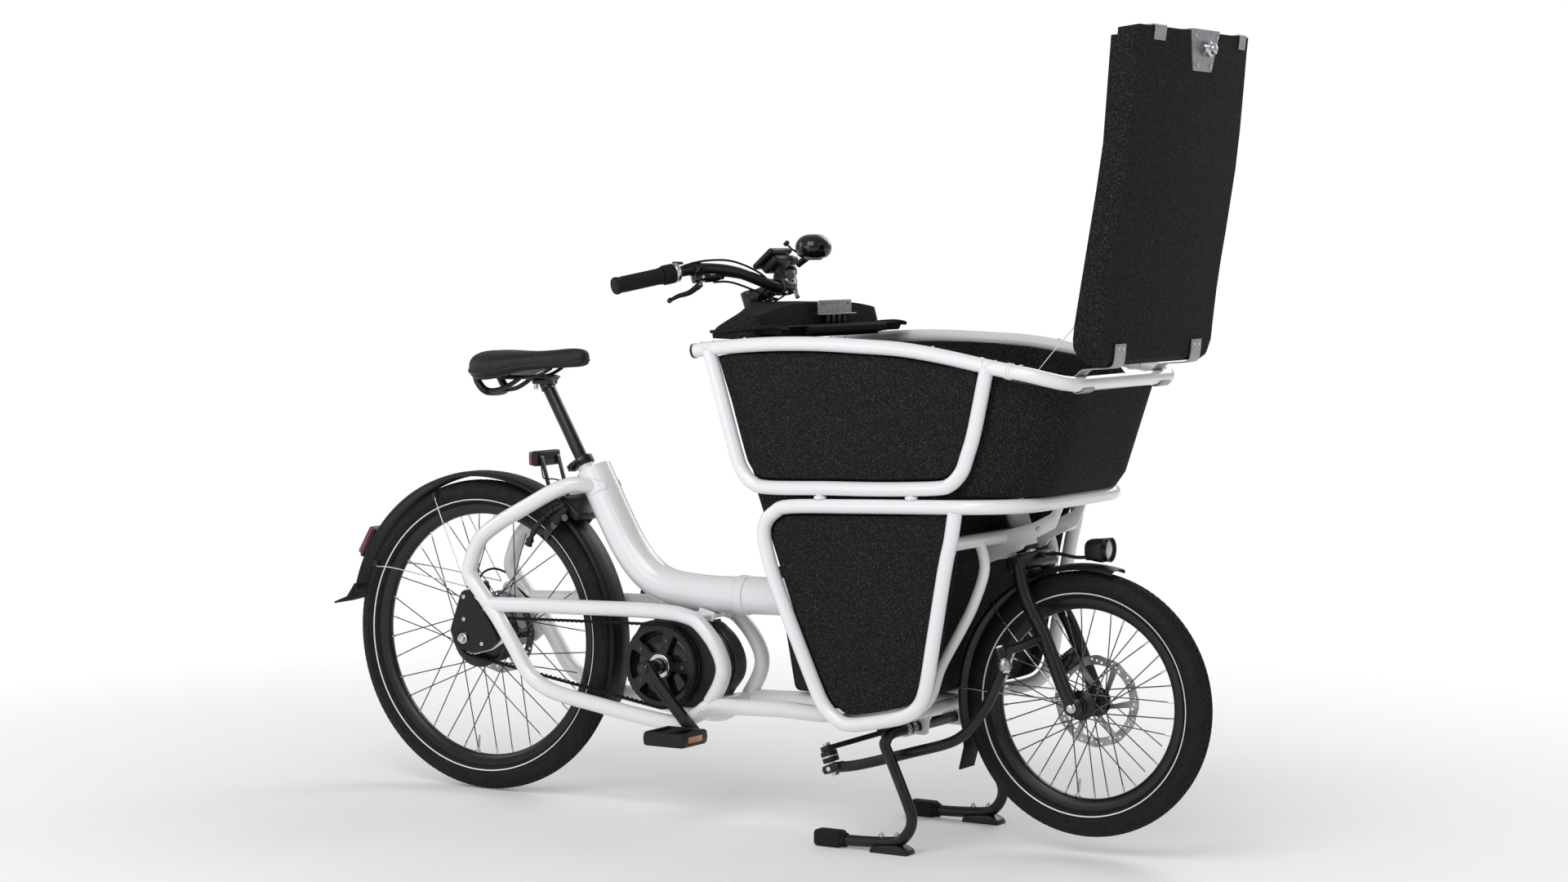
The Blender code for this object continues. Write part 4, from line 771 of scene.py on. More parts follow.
welds = []
for side in (-1, 1):
    for point, direction, radius, main_point, main_direction, main_radius in STAY_WELDS:
        welds.append(weld_bead(on_side(point, side), on_side(direction, side), radius,
                               on_side(main_point, side), main_direction, main_radius))
welds.append(weld_bead(SEAT_COLLAR - SEAT_UP * 0.045, SEAT_UP, 0.0177,
                       SEAT_COLLAR - SEAT_UP * 0.0385, (0, 1, 0), 0.001, size=0.0026))
welds.append(weld_ring(0.644, 0.457, 0.0385, slant=0.0, size=0.0018, ripple=0.0003))
add(welds, "rear_welds", "weld")

DROPOUT = fillet([
    (0.018, 0.446), (-0.006, 0.44), (-0.036, 0.346), (-0.022, 0.314), (0.02, 0.3),
    (0.066, 0.312), (0.1, 0.334), (0.083, 0.376), (0.04, 0.43)], 0.008)
DROPOUT_COVER = fillet([
    (0.015, 0.44), (-0.004, 0.436), (-0.0345, 0.35), (-0.02, 0.316), (0.026, 0.303),
    (0.066, 0.314), (0.092, 0.336), (0.07, 0.372)], 0.009)
COVER_GROOVE = [(0.0, 0.495), (0.011, 0.47), (0.045, 0.427), (0.086, 0.379), (0.16, 0.273)]
for side, tag in SIDES:
    add(side_plate([DROPOUT, circle(0, REAR.z, 0.0085, 20)], side, 0.068, 0.073, bevel=0.001),
        "dropout_" + tag, "white")
    cover = side_plate([DROPOUT_COVER], side, 0.0735, 0.088, bevel=0.0025, segments=3)
    cover = cut(cover, side_tube(COVER_GROOVE, side * FRAME_Y, 0.0175),
                y_rod(0, REAR.z, side * 0.06, side * 0.1, 0.015, 24))
    add(cover, "dropout_cover_" + tag, "plastic")
    add([screw((x, side * 0.0875, z), (0, side, 0), 0.0046, 0.003)
         for x, z in ((0.003, 0.424), (0.003, 0.376), (0.05, 0.326))],
        "dropout_screws_" + tag, "steel")

# ------------------------------------------------------------------ front frame
LOWER_LOOP = [      # x, z down the front, under the box and back over the top
    (1.283, 0.674), (1.2745, 0.62), (1.262, 0.566), (1.237, 0.422), (1.222, 0.338),
    (1.206, 0.302), (1.176, 0.281), (1.118, 0.266), (1.056, 0.256), (1.023, 0.267),
    (0.998, 0.29), (0.975, 0.332), (0.909, 0.477), (0.881, 0.545), (0.864, 0.606),
    (0.867, 0.636), (0.888, 0.658), (0.922, 0.67), (1.056, 0.676), (1.17, 0.68), (1.285, 0.684)]
FRONT_BAR = [(1.332, -0.2555, 0.6855), (1.371, -0.228, 0.686), (1.394, -0.187, 0.686),
             (1.4, -0.14, 0.686)]
right_half = [(x, -LOOP_Y, z) for x, z in LOWER_LOOP] + FRONT_BAR
front_middle = [(1.4015, -0.06, 0.686), (1.4015, 0.06, 0.686)]
add(tube(right_half + front_middle + mirrored(right_half), 0.014, 28, 5),
    "lower_loop", "white", replaces="front_frame")
CROSS_TUBES = [     # x, z, half length, radius
    (1.27, 0.612, 0.262, 0.0135), (1.03, 0.26, 0.262, 0.0125), (1.125, 0.2655, 0.262, 0.0125),
    (0.935, 0.251, 0.0745, 0.012)]
add([y_rod(x, z, -half, half, radius, 24) for x, z, half, radius in CROSS_TUBES],
    "cross_tubes", "white")
BOTTOM_TUBE = [(0.64, 0.2365), (0.706, 0.238), (0.793, 0.241), (0.886, 0.239), (0.95, 0.25),
               (1.0, 0.2615), (1.1255, 0.2615)]
add(both(side_tube(BOTTOM_TUBE, FRAME_Y, 0.0165, 24, 5)), "bottom_tubes", "white")
SLEEVE = [(0.0388, -0.012), (0.0408, -0.01), (0.0408, 0.01), (0.0388, 0.012), (0.03, 0.012),
          (0.03, -0.012)]
add([side_tube([(0.6445, 0.457), (0.76, 0.459), (0.886, 0.462)], 0.0, 0.0388, 40, 4),
     turned(SLEEVE, (0.657, 0, 0.4572), 56, True, axis="X")], "main_sleeve", "white")
holder = cut(rod(foot_at(0.044), foot_at(0.795), 0.022, 36),
             rod(foot_at(0.0), foot_at(0.85), 0.018, 32))
add(rounded(holder, 0.0015, 2), "column_tube", "white")
holder = cut(rod(crown_at(0.01), crown_at(0.112), 0.022, 40),
             rod(crown_at(0.0), crown_at(0.13), 0.0175, 32))
add(rounded(holder, 0.0015, 2), "head_tube", "white")
BEARING = [(0.016, -0.002), (0.0236, -0.002), (0.0246, 0.0005), (0.0246, 0.0045),
           (0.0232, 0.006), (0.016, 0.006)]
for along, name in ((0.0095, "head_bearing_low"), (0.11, "head_bearing_top")):
    add(turned_at(BEARING, crown_at(along), -TILT, 48, True), name, "paint")
STRUT = [(1.271, 0.612), (1.284, 0.56), (1.262, 0.492), (1.235, 0.44), (1.19, 0.362),
         (1.167, 0.3), (1.126, 0.265)]
add(both(side_tube(STRUT, 0.146, 0.0105, 20, 5)), "rear_struts", "white")
GUSSET = fillet([
    (1.23, 0.553), (1.23, 0.61), (1.336, 0.64), (1.376, 0.66), (1.392, 0.683), (1.405, 0.68),
    (1.385, 0.633), (1.323, 0.601), (1.316, 0.5885)], 0.004)
add(both(plate([GUSSET], 0.048, 0.052, bevel=0.001)), "gussets", "white")
sheet_axes = (Vector((0.964, 0, 0.267)), LEFT, Vector((-0.267, 0, 0.964)))
sheet = merge(block((1.286, 0, 0.6195), (0.1, 0.1, 0.003), sheet_axes, 0.001),
              block((1.2395, 0, 0.583), (0.003, 0.1, 0.044), None, 0.001))
add(cut(sheet, rod(crown_at(0.0), crown_at(0.13), 0.018, 32)), "gusset_sheet", "white")
STAND_PIVOT = (1.1, 0.232)      # x, z
LUG = fillet([(1.074, 0.262), (1.078, 0.216), (1.122, 0.216), (1.126, 0.262)], 0.008)
add(both(plate([LUG, circle(*STAND_PIVOT, 0.0122, 24)], 0.07, 0.08, bevel=0.0012)),
    "stand_lugs", "white")
BOLT_RADIUS = 0.0036
bolts = []
for side in (-1, 1):
    bolts.append(y_rod(1.35, 0.63, side * 0.0515, side * 0.0532, BOLT_RADIUS * 1.45, 24))
    bolts.append(y_rod(1.35, 0.63, side * 0.052, side * 0.0548, BOLT_RADIUS, 6,
                       bevel=BOLT_RADIUS * 0.12))
add(bolts, "gusset_bolts", "steel")
welds = [weld_bead((1.1167, side * FRAME_Y, 0.2615), (-1, 0, 0), 0.0165,
                   (1.113, side * FRAME_Y, 0.2655), (0, 1, 0), 0.0125) for side in (-1, 1)]
welds.append(weld_ring(0.845, 0.4612, 0.0395, slant=0.016, size=0.002, ripple=0.0))
add(welds, "front_welds", "weld")

# upper loops and front rail; x, z from rear to front
TOP_RAIL = [
    (0.702, 0.966), (0.74, 0.972), (0.858, 0.982), (0.969, 0.985), (1.079, 0.982),
    (1.165, 0.978), (1.25, 0.967), (1.334, 0.952), (1.3955, 0.9415)]
UPPER_LOOP = [
    (0.737, 0.968), (0.756, 0.909), (0.77, 0.863), (0.8, 0.767), (0.813, 0.737), (0.834, 0.715),
    (0.871, 0.705), (1.0, 0.7085), (1.123, 0.7115), (1.242, 0.718), (1.274, 0.727),
    (1.297, 0.751), (1.309, 0.782), (1.324, 0.83), (1.349, 0.946)]
RAIL_CAP = [(0.0, -0.0032), (0.01, -0.003), (0.0142, -0.0012), (0.0148, 0.0006),
            (0.0148, 0.004), (0.0, 0.004)]
RAIL_SLEEVE = [(0.0139, -0.005), (0.0158, -0.0035), (0.0158, 0.0005), (0.0144, 0.0012),
               (0.0144, 0.0022), (0.0158, 0.003), (0.0158, 0.006), (0.0139, 0.0075)]
for side, tag in SIDES:
    y = side * LOOP_Y
    add([side_tube(TOP_RAIL, y, 0.014, 28, 5), side_tube(UPPER_LOOP, y, 0.0139, 28, 5)],
        "top_loop_" + tag, "white", replaces="upper_loop_" + tag)
    add(turned_at(RAIL_CAP, (0.702, y, 0.966), -radians(9), 40, axis="X"),
        "rail_cap_" + tag, "gloss")
    pins = []
    for x, z in ((0.99, 0.6905), (1.19, 0.6975)):
        pins.append(rod((x, y, z - 0.012), (x, y, z + 0.012), 0.0085, 24, bevel=0.001))
        pins.append(rod((x, y, z - 0.003), (x, y, z + 0.003), 0.0125, 28, bevel=0.0012))
    add(pins, "loop_spacers_" + tag, "white")
    add([
        weld_bead((0.756, y, 0.909), (-0.3, 0, 0.95), 0.0139,
                  (0.74, y, 0.972), (0.99, 0, 0.1), 0.014),
        weld_bead((1.324, y, 0.83), (0.21, 0, 0.97), 0.0139,
                  (1.349, y, 0.9495), (0.98, 0, -0.17), 0.014),
        turned_at(RAIL_SLEEVE, (1.3955, y, 0.9415), radians(9.5), 48, axis="X"),
    ], "rail_joint_" + tag, "white")
RAIL_BEND = [
    (1.396, -0.265, 0.9414), (1.432, -0.264, 0.936), (1.463, -0.253, 0.9285),
    (1.486, -0.233, 0.9215), (1.498, -0.208, 0.918), (1.5, -0.195, 0.917)]
rail_middle = [(1.5, -0.1, 0.917), (1.5, 0.1, 0.917)]
add(tube(RAIL_BEND + rail_middle + mirrored(RAIL_BEND), 0.014, 28, 5),
    "front_rail", "white", replaces="top_front_rail")
RAIL_SCREWS = [     # x, y and z of the rail's middle, and forward lean of the screw
    (1.235, 0.265, 0.969, 0.12), (1.42, 0.2645, 0.938, 0.12), (0.82, 0.265, 0.9788, -0.05)]
add([screw((x, side * y, z + 0.014), (lean, 0, 1), 0.0038, 0.0022)
     for side in (-1, 1) for x, y, z, lean in RAIL_SCREWS], "rail_screws", "steel")

# ------------------------------------------------------------------ foam box
TUB_FRONT = [(0.703, 1.42), (0.73, 1.44), (0.9, 1.4965), (1.05, 1.54)]      # z, x


def tub_solid(levels, shrink, half, r_front):
    return loft([plan_ring(z, column_x(z) + 0.027 + shrink,
                           interpolate(TUB_FRONT, max(z, 0.703)) - shrink,
                           half, 0.03, r_front, 10) for z in levels])


def straight_walls(levels, x_rear, x_front, half):
    return loft([plan_ring(z, x_rear, x_front, half, 0.012, 0.012, 4) for z in levels])


TUB_SIDE = [        # x, z of what is kept of the tub, seen from the side
    (0.6, 0.66), (0.6, 0.95), (0.735, 0.955), (0.8, 0.966), (0.88, 0.9728), (0.97, 0.976),
    (1.04, 0.976), (1.1, 0.974), (1.18, 0.9685), (1.25, 0.959), (1.32, 0.9482), (1.375, 0.937),
    (1.39, 0.921), (1.448, 0.913), (1.51, 0.896), (1.6, 0.88), (1.6, 0.66)]
tub = boolean(tub_solid((0.703, 0.71, 0.73, 0.77, 0.8, 0.85, 0.9, 0.96, 1.02), 0.0, 0.248, 0.13),
              plate([TUB_SIDE], -0.4, 0.4), "INTERSECT")
tub = cut(tub, tub_solid((0.725, 0.8, 0.9, 1.06), 0.022, 0.226, 0.11))
tub = cut(tub, straight_walls((0.69, 0.74), 0.856, 1.209, 0.2215))
add(rounded(tub, 0.005, 3, 42.0), "tub_shell", "foam", replaces="box_tub")


def add_side_panels(opening, name):
    """Foam panels filling the loops on both sides."""
    outline = smooth_outline(inset(opening, 0.0185), 4)
    add([side_plate([outline], side, 0.24, 0.262, bevel=0.0065, segments=4, angle=50.0)
         for side in (-1, 1)], name, "foam")


UPPER_EDGE = [(1.347, 0.949), (1.25, 0.967), (1.165, 0.978), (1.079, 0.982), (0.969, 0.985),
              (0.858, 0.982), (0.745, 0.972)]
add_side_panels(UPPER_LOOP[1:-1] + UPPER_EDGE, "tub_side_panels")
lining = loft([plan_ring(z, column_x(0.725) + 0.052, 1.411, 0.222, 0.02, 0.105, 8)
               for z in (0.7252, 0.729)])
lining = cut(lining, straight_walls((0.69, 0.78), 0.85, 1.215, 0.225))
add(rounded(lining, 0.0012, 2), "tub_floor_lining", "foam_skin")

# front of the well below the tub, z and x: recessed in the middle, further out at the sides
WELL_MIDDLE = [(0.282, 1.09), (0.3, 1.138), (0.389, 1.16), (0.5, 1.2), (0.585, 1.229),
               (0.7024, 1.231)]
WELL_SIDE = [(0.282, 1.095), (0.3, 1.16), (0.389, 1.21), (0.5, 1.23), (0.585, 1.243),
             (0.7024, 1.245)]


def well_ring(z):
    rear, middle = column_x(z) + 0.03, interpolate(WELL_MIDDLE, z)
    front = interpolate(WELL_SIDE, z)
    right = fillet([(rear, -0.1), (rear, -0.248), (front, -0.248), (front, -0.171),
                    (middle, -0.16), (middle, -0.06)], 0.014)[5:-5]
    ring = [(x, y, z) for x, y in [(rear, 0.0)] + right + [(middle, 0.0)]]
    return ring + mirrored(ring[1:-1])


well = loft([well_ring(z) for z in (0.282, 0.29, 0.3, 0.34, 0.389, 0.445, 0.5, 0.545, 0.585,
                                    0.64, 0.7024)])
well = cut(well, loft([plan_ring(z, column_x(z) + 0.052, interpolate(WELL_MIDDLE, z) - 0.022,
                                 0.226, 0.012, 0.012, 4)
                       for z in (0.304, 0.389, 0.5, 0.585, 0.72)]))
add(rounded(well, 0.005, 3, 42.0), "well_shell", "foam", replaces="box_well")
add_side_panels(LOWER_LOOP[1:], "well_side_panels")

# rear cover over the column head; right half plans, x and y, from the front edge back
COVER_FOOT = [(0.838, -0.246), (0.77, -0.246), (0.706, -0.215), (0.69, -0.12),
              (0.64, -0.07), (0.622, -0.03)]
COVER_TOP = [(0.838, -0.238), (0.8, -0.23), (0.765, -0.196), (0.742, -0.124),
             (0.705, -0.064), (0.69, -0.028)]


def cover_ring(z, rise):
    """Plan of the cover between its foot (rise = 0) and its crown (rise = 1)."""
    half = [(a[0] * (1 - rise) + b[0] * rise, a[1] * (1 - rise) + b[1] * rise)
            for a, b in zip(COVER_FOOT, COVER_TOP)]
    plan = half[:1] + [(x, -y) for x, y in half] + half[:0:-1]
    return [(x, y, z) for x, y in fillet(plan, 0.03)]


COVER_RINGS = [     # z, rise
    (0.99, 0.0), (0.996, -0.02), (1.003, 0.0), (1.012, 0.14), (1.03, 0.48), (1.045, 0.78),
    (1.054, 0.97), (1.058, 1.1)]
HOLLOW_RINGS = [    # z, rise, front limit in x, narrowing in y
    (0.98, 0.1, 0.832, 1), (1.002, 0.16, 0.83, 1), (1.026, 1.0, 0.824, 0.92)]
LATCH_Y = 0.042
cover = loft([cover_ring(z, rise) for z, rise in COVER_RINGS])
cover = boolean(cover, block((0.868, 0, 1.007), (0.066, 0.47, 0.016), bevel=0.004), "UNION")
cover = cut(
    cover,
    loft([[(min(x, limit), y * narrow, z) for x, y, _ in cover_ring(0, rise)]
          for z, rise, limit, narrow in HOLLOW_RINGS]),
    rod(foot_at(0.7), foot_at(1.1), 0.026, 40),
    y_rod(0.93, 0.983, -0.15, -0.26, 0.05, 40),
    y_rod(0.93, 0.983, 0.15, 0.26, 0.05, 40),
)
# the cover falls away to both sides, and back from its front face beside the latch
work = bmesh.new()
work.from_mesh(cover.data)
for k in range(-12, 13):
    slice_mesh(work, (0, 0.02 * k, 0), (0, 1, 0))
for k in range(1, 6):
    slice_mesh(work, (0.69 + 0.025 * k, 0, 0), (1, 0, 0))
SHOULDER = 1.0165
for vert in work.verts:
    if vert.co.z > SHOULDER:
        outward = min(1.0, max(0.0, (abs(vert.co.y - 0.02) - 0.06) / 0.19))
        vert.co.z = SHOULDER + (vert.co.z - SHOULDER) * (1.0 - 0.52 * outward ** 1.8)
        if vert.co.x > 0.8 and not abs(vert.co.y - LATCH_Y) < 0.07:
            vert.co.x -= 0.01 * (vert.co.z - SHOULDER) / 0.0415
work.to_mesh(cover.data)
work.free()
add(cover, "column_cover", "foam", replaces="rear_cover")
COVER_LIP = [(0.712, 0.218, 1.003), (0.75, 0.238, 1.004), (0.79, 0.244, 1.008),
             (0.835, 0.244, 1.013), (0.872, 0.238, 1.015), (0.9, 0.232, 1.012)]
add([tube([on_side(point, side) for point in COVER_LIP],
          [0.0035] * 5 + [0.0045] * 20 + [0.0035], 12, 5) for side in (-1, 1)],
    "cover_lips", "foam")
catch = cut(block((0.847, LATCH_Y, 1.035), (0.016, 0.13, 0.003), bevel=0.0008),
            block((0.8495, LATCH_Y, 1.035), (0.006, 0.06, 0.02), bevel=0.001))
CATCH_FACE = fillet([(-0.065, -0.0145), (0.065, -0.0145), (0.065, 0.0145), (-0.065, 0.0145)],
                    0.004)
face_plate = plate(
    [CATCH_FACE, circle(-0.05, 0.006, 0.0028, 16), circle(0.05, 0.006, 0.0028, 16)],
    -0.0015, 0.0015, bevel=0.0006,
    matrix=Matrix.Translation((0.8415, LATCH_Y, 1.048)) @ Matrix.Rotation(pi / 2, 4, "Z"))
add([catch, face_plate], "latch_catch", "grey", replaces="catch_plate")
add([block((0.844, LATCH_Y + y, 1.024), (0.006, 0.013, 0.019), bevel=0.0015)
     for y in (-0.034, -0.012, 0.01, 0.032)], "catch_slats", "plastic")

# ------------------------------------------------------------------ lid
# drawn closed and swung open about the hinge; x, z outlines
LID_TOP = [         # front to rear
    (1.467, 0.98), (1.458, 0.99), (1.43, 0.9935), (1.394, 0.9985), (1.33, 1.0085),
    (1.272, 1.0195), (1.22, 1.0305), (1.164, 1.0415), (1.1, 1.054), (1.027, 1.065),
    (0.95, 1.0745), (0.877, 1.083), (0.849, 1.087)]
LID_RIM = [         # rear to front
    (0.8525, 1.044), (0.865, 1.0425), (0.8656, 1.0295), (0.96, 1.019), (1.059, 1.008),
    (1.144, 0.992), (1.249, 0.97), (1.33, 0.953), (1.39, 0.9405), (1.416, 0.937),
    (1.436, 0.9372), (1.451, 0.942), (1.461, 0.952), (1.466, 0.964)]
LID_HOLLOW = [
    (1.44, 0.97), (1.39, 0.975), (1.272, 0.998), (1.164, 1.02), (1.027, 1.043), (0.895, 1.058),
    (0.895, 0.9), (1.44, 0.9)]
LID_CORNER = [      # x, y of what is cut from each front corner
    (1.485, 0.199), (1.47, 0.216), (1.452, 0.233), (1.43, 0.2465), (1.405, 0.252),
    (1.405, 0.262), (1.5, 0.262)]
lid = plate([LID_TOP + LID_RIM], -0.247, 0.247)
for side in (-1, 1):
    corner = [(x, side * y) for x, y in LID_CORNER][::-side]
    lid = cut(lid, loft([[(x, y, z) for x, y in corner] for z in (0.9, 1.05)]))
lid = rounded(lid, 0.0075, 4, 32.0)
lid = cut(lid, rounded(plate([LID_HOLLOW], -0.225, 0.225), 0.006, 3, 32.0))


def add_to_lid(obj, name, material, body="lid", **more):
    add(obj, name, material, body, place=LID_OPEN, **more)


add_to_lid(lid, "lid_shell", "foam", replaces="lid", smooth=40.0)


def lid_height(x):
    return interpolate(sorted(LID_TOP), x)


def on_lid(outline, thick, sink=0.0004, cuts=10):
    """A sheet lying on the closed lid's curved outer face; outline in (x, y)."""
    shape = plate([outline], 0.0, thick)
    shape.data.transform(Matrix.Rotation(-pi / 2, 4, "X"))
    work = bmesh.new()
    work.from_mesh(shape.data)
    xs = [vert.co.x for vert in work.verts]
    for k in range(1, cuts):
        slice_mesh(work, (min(xs) + (max(xs) - min(xs)) * k / cuts, 0, 0), (1, 0, 0))
    for vert in work.verts:
        vert.co.z += lid_height(vert.co.x) - sink
    work.to_mesh(shape.data)
    work.free()
    return clean(shape)


END_BAND = [        # x, y
    (0.85, -0.24), (0.885, -0.242), (0.9, -0.22), (0.918, -0.15), (0.933, -0.06),
    (0.937, 0.042), (0.933, 0.12), (0.918, 0.185), (0.9, 0.225), (0.885, 0.242), (0.85, 0.24)]
add_to_lid(on_lid(END_BAND, 0.0021), "lid_end_band", "foam")


def strip(line, y_low, y_high, half):
    """A bent sheet strip: an (x, z) line thickened by half each way and widened along y."""
    points = smooth_line([(x, 0, z) for x, z in line], 4)
    upper, lower = [], []
    for i, point in enumerate(points):
        tangent = (points[min(i + 1, len(points) - 1)] - points[max(i - 1, 0)]).normalized()
        normal = Vector((-tangent.z, 0, tangent.x)) * half
        upper.append((point + normal).xz[:])
        lower.append((point - normal).xz[:])
    return plate([upper + lower[::-1]], y_low, y_high, bevel=0.0006, angle=50.0)


# each strap curls round the front rail, then climbs the lid's front
STRAP_LINE = [on_circle(HINGE.x, HINGE.z, 0.0166, radians(60 - 33.0 * i)) for i in range(8)]
STRAP_LINE += [(1.474, 0.927), (1.4725, 0.95), (1.4712, 0.978), (1.466, 0.99), (1.45, 0.9945),
               (1.427, 0.9972)]
END_CLIP = [(0.874, 1.0856), (0.86, 1.0878), (0.8474, 1.0893), (0.8466, 1.08), (0.848, 1.056)]
END_CLIP_SPANS = {-1: (-0.16, 0.024), 1: (0.215, 0.014)}     # middle y and half width
for side, tag in SIDES:
    y = side * 0.17
    add_to_lid(strip(STRAP_LINE, y - 0.0225, y + 0.0225, 0.0011),
               "strap_" + tag, "grey", replaces="hinge_strap_" + tag, smooth=40.0)
    add_to_lid([screw((1.435, y + shift, 0.9968), (0.12, 0, 1), 0.0042, 0.0024)
                for shift in (-0.01, 0.01)], "strap_screws_" + tag, "steel")
    middle, half = END_CLIP_SPANS[side]
    add_to_lid(strip(END_CLIP, middle - half, middle + half, 0.001), "end_clip_" + tag, "grey")


def trapezoid(x_rear, x_front, half_rear, half_front):
    return fillet([(x_rear, LATCH_Y - half_rear), (x_rear, LATCH_Y + half_rear),
                   (x_front, LATCH_Y + half_front), (x_front, LATCH_Y - half_front)], 0.004)


latch = on_lid(trapezoid(0.847, 0.9225, 0.064, 0.042), 0.0024, -0.002, 8)
latch_pad = on_lid(trapezoid(0.848, 0.929, 0.07, 0.047), 0.0026, 0.0002, 8)
fold = block((0.8462, LATCH_Y, 1.076), (0.0022, 0.124, 0.03), bevel=0.0008)
rivets = [rod((x, LATCH_Y + y, lid_height(x) + 0.004), (x, LATCH_Y + y, lid_height(x) + 0.0056),
              0.003, 20, bevel=0.0007)
          for x, y in ((0.912, -0.03), (0.912, 0.03), (0.858, -0.05), (0.858, 0.05))]
add_to_lid(latch_pad, "latch_pad", "foam_skin")
add_to_lid([latch, fold], "latch_plate", "grey")
add_to_lid(rivets, "latch_rivets", "steel")
LOCK = Vector((0.882, LATCH_Y, 1.085))
LOCK_KNOB = [
    (0.0, 0.024), (0.008, 0.0238), (0.0096, 0.0228), (0.01, 0.0205), (0.01, 0.016),
    (0.0118, 0.015), (0.0142, 0.013), (0.0146, 0.01), (0.0146, 0.003), (0.0, 0.003)]
add_to_lid([
    turned(LOCK_KNOB, LOCK, 56, axis="Z"),
    block(LOCK + Vector((0, -0.01, 0.015)), (0.012, 0.046, 0.0075), bevel=0.0026),
    y_rod(LOCK.x, LOCK.z + 0.015, LOCK.y - 0.036, LOCK.y - 0.028, 0.0068, 32, bevel=0.0015),
], "lock_knob", "steel", "lock", replaces="lid_lock", smooth=40.0)
# stay wires between frame and lid, drawn in the rest pose
STAY_WIRE = [(1.43, 0.227, 0.935), (1.46, 0.223, 0.972), (1.495, 0.219, 1.012),
             (1.52, 0.217, 1.04)]
wires = finish(merge(*[tube([on_side(point, side) for point in STAY_WIRE], 0.0009, 8, 6)
                       for side in (-1, 1)]), "lid_stay_wires", "steel")
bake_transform(wires)

# ------------------------------------------------------------------ motor and battery
MOTOR = smooth_outline([
    (0.44, 0.394), (0.548, 0.394), (0.58, 0.38), (0.606, 0.355), (0.622, 0.32), (0.62, 0.285),
    (0.598, 0.254), (0.565, 0.222), (0.44, 0.222), (0.41, 0.24), (0.394, 0.28), (0.394, 0.335),
    (0.41, 0.372)], 4)
motor = plate([MOTOR], -0.032, 0.056, bevel=0.008, segments=4, angle=50.0)
motor = cut(motor, y_rod(CRANK.x, CRANK.z, -0.1, 0.1, 0.012, 32))
add(motor, "motor_case", "plastic", replaces="motor")
ribs = [block((0.452 + i * 0.014, 0.012, 0.395), (0.005, 0.07, 0.006), bevel=0.0012, segments=2)
        for i in range(9)]
parting = plate([inset(MOTOR, -0.0022), inset(MOTOR, 0.006)], 0.008, 0.013, bevel=0.0008)
add([parting, *ribs], "motor_ribs", "plastic")
cover = plate([inset(MOTOR, 0.012)], 0.0555, 0.06, bevel=0.0018, segments=3, angle=50.0)
cover = cut(cover, y_rod(CRANK.x, CRANK.z, 0.0, 0.1, 0.015, 32))
add(cover, "motor_cover_left", "gloss")
add([screw((0.505 + 0.085 * cos(radians(deg)), 0.0598, 0.308 + 0.066 * sin(radians(deg))),
           (0, 1, 0), 0.0042, 0.0022) for deg in (28, 95, 160, 212, 262, 325)],
    "motor_screws", "steel")
MOTOR_FACE = [(0.016, -0.0318), (0.016, -0.035), (0.06, -0.0372), (0.064, -0.036),
              (0.066, -0.0318)]
add(turned(MOTOR_FACE, CRANK, 72), "motor_face_right", "gloss")
BATTERY = [(0.7, 0.515), (0.742, 0.52), (0.8, 0.51), (0.905, 0.285), (0.89, 0.262),
           (0.748, 0.262)]
add(plate([fillet(BATTERY, 0.014, 5)], 0.045, 0.13, bevel=0.007, segments=4, angle=50.0),
    "battery_case", "plastic", replaces="battery")
panel = plate([fillet(inset(BATTERY, 0.016), 0.012, 5)], 0.1295, 0.1312, bevel=0.0007)
HANDLE = fillet([(0.735, 0.5), (0.79, 0.492), (0.797, 0.478), (0.738, 0.484)], 0.005)
add(cut(panel, plate([HANDLE], 0.128, 0.134)), "battery_panel", "gloss")
add([block((0.77 + 0.008 * i, 0.1311, 0.452), (0.004, 0.0012, 0.0018), bevel=0.0004, segments=1)
     for i in range(5)], "battery_marks", "stripe")
add([y_rod(0.758, 0.3, 0.1305, 0.1325, 0.0085, bevel=0.0005),
     block((0.758, 0.1328, 0.3), (0.0015, 0.0016, 0.007), bevel=0.0003, segments=1)],
    "battery_lock", "steel")

# ------------------------------------------------------------------ belt drive
BELT_Y = -0.047
BELT_LIFT = 0.003               # belt line above the sprockets
BELT_POINTS = 118 * 4           # four points to each belt tooth


def belt_line():
    """The belt's path: around the crank ring, then around the rear pulley."""
    big, small = 0.085 + BELT_LIFT, 0.0408 + BELT_LIFT
    x, z = CRANK.x - REAR.x, CRANK.z - REAR.z
    lean, gap = math.atan2(z, x), math.acos((small - big) / math.hypot(x, z))
    return (arc(CRANK.x, CRANK.z, big, lean - (pi - gap), lean + (pi - gap), 60)
            + arc(REAR.x, REAR.z, small, lean + (pi - gap), lean + (pi + gap), 30))


def resampled(outline, count):
    """Evenly spaced points along a closed (x, z) outline."""
    points = [Vector((x, 0, z)) for x, z in outline + outline[:1]]
    lengths = [0.0]
    for start, end in zip(points, points[1:]):
        lengths.append(lengths[-1] + (end - start).length)
    result, j = [], 0
    for i in range(count):
        want = lengths[-1] * i / count
        while lengths[j + 1] < want:
            j += 1
        part = (want - lengths[j]) / (lengths[j + 1] - lengths[j])
        result.append(points[j].lerp(points[j + 1], part))
    return result


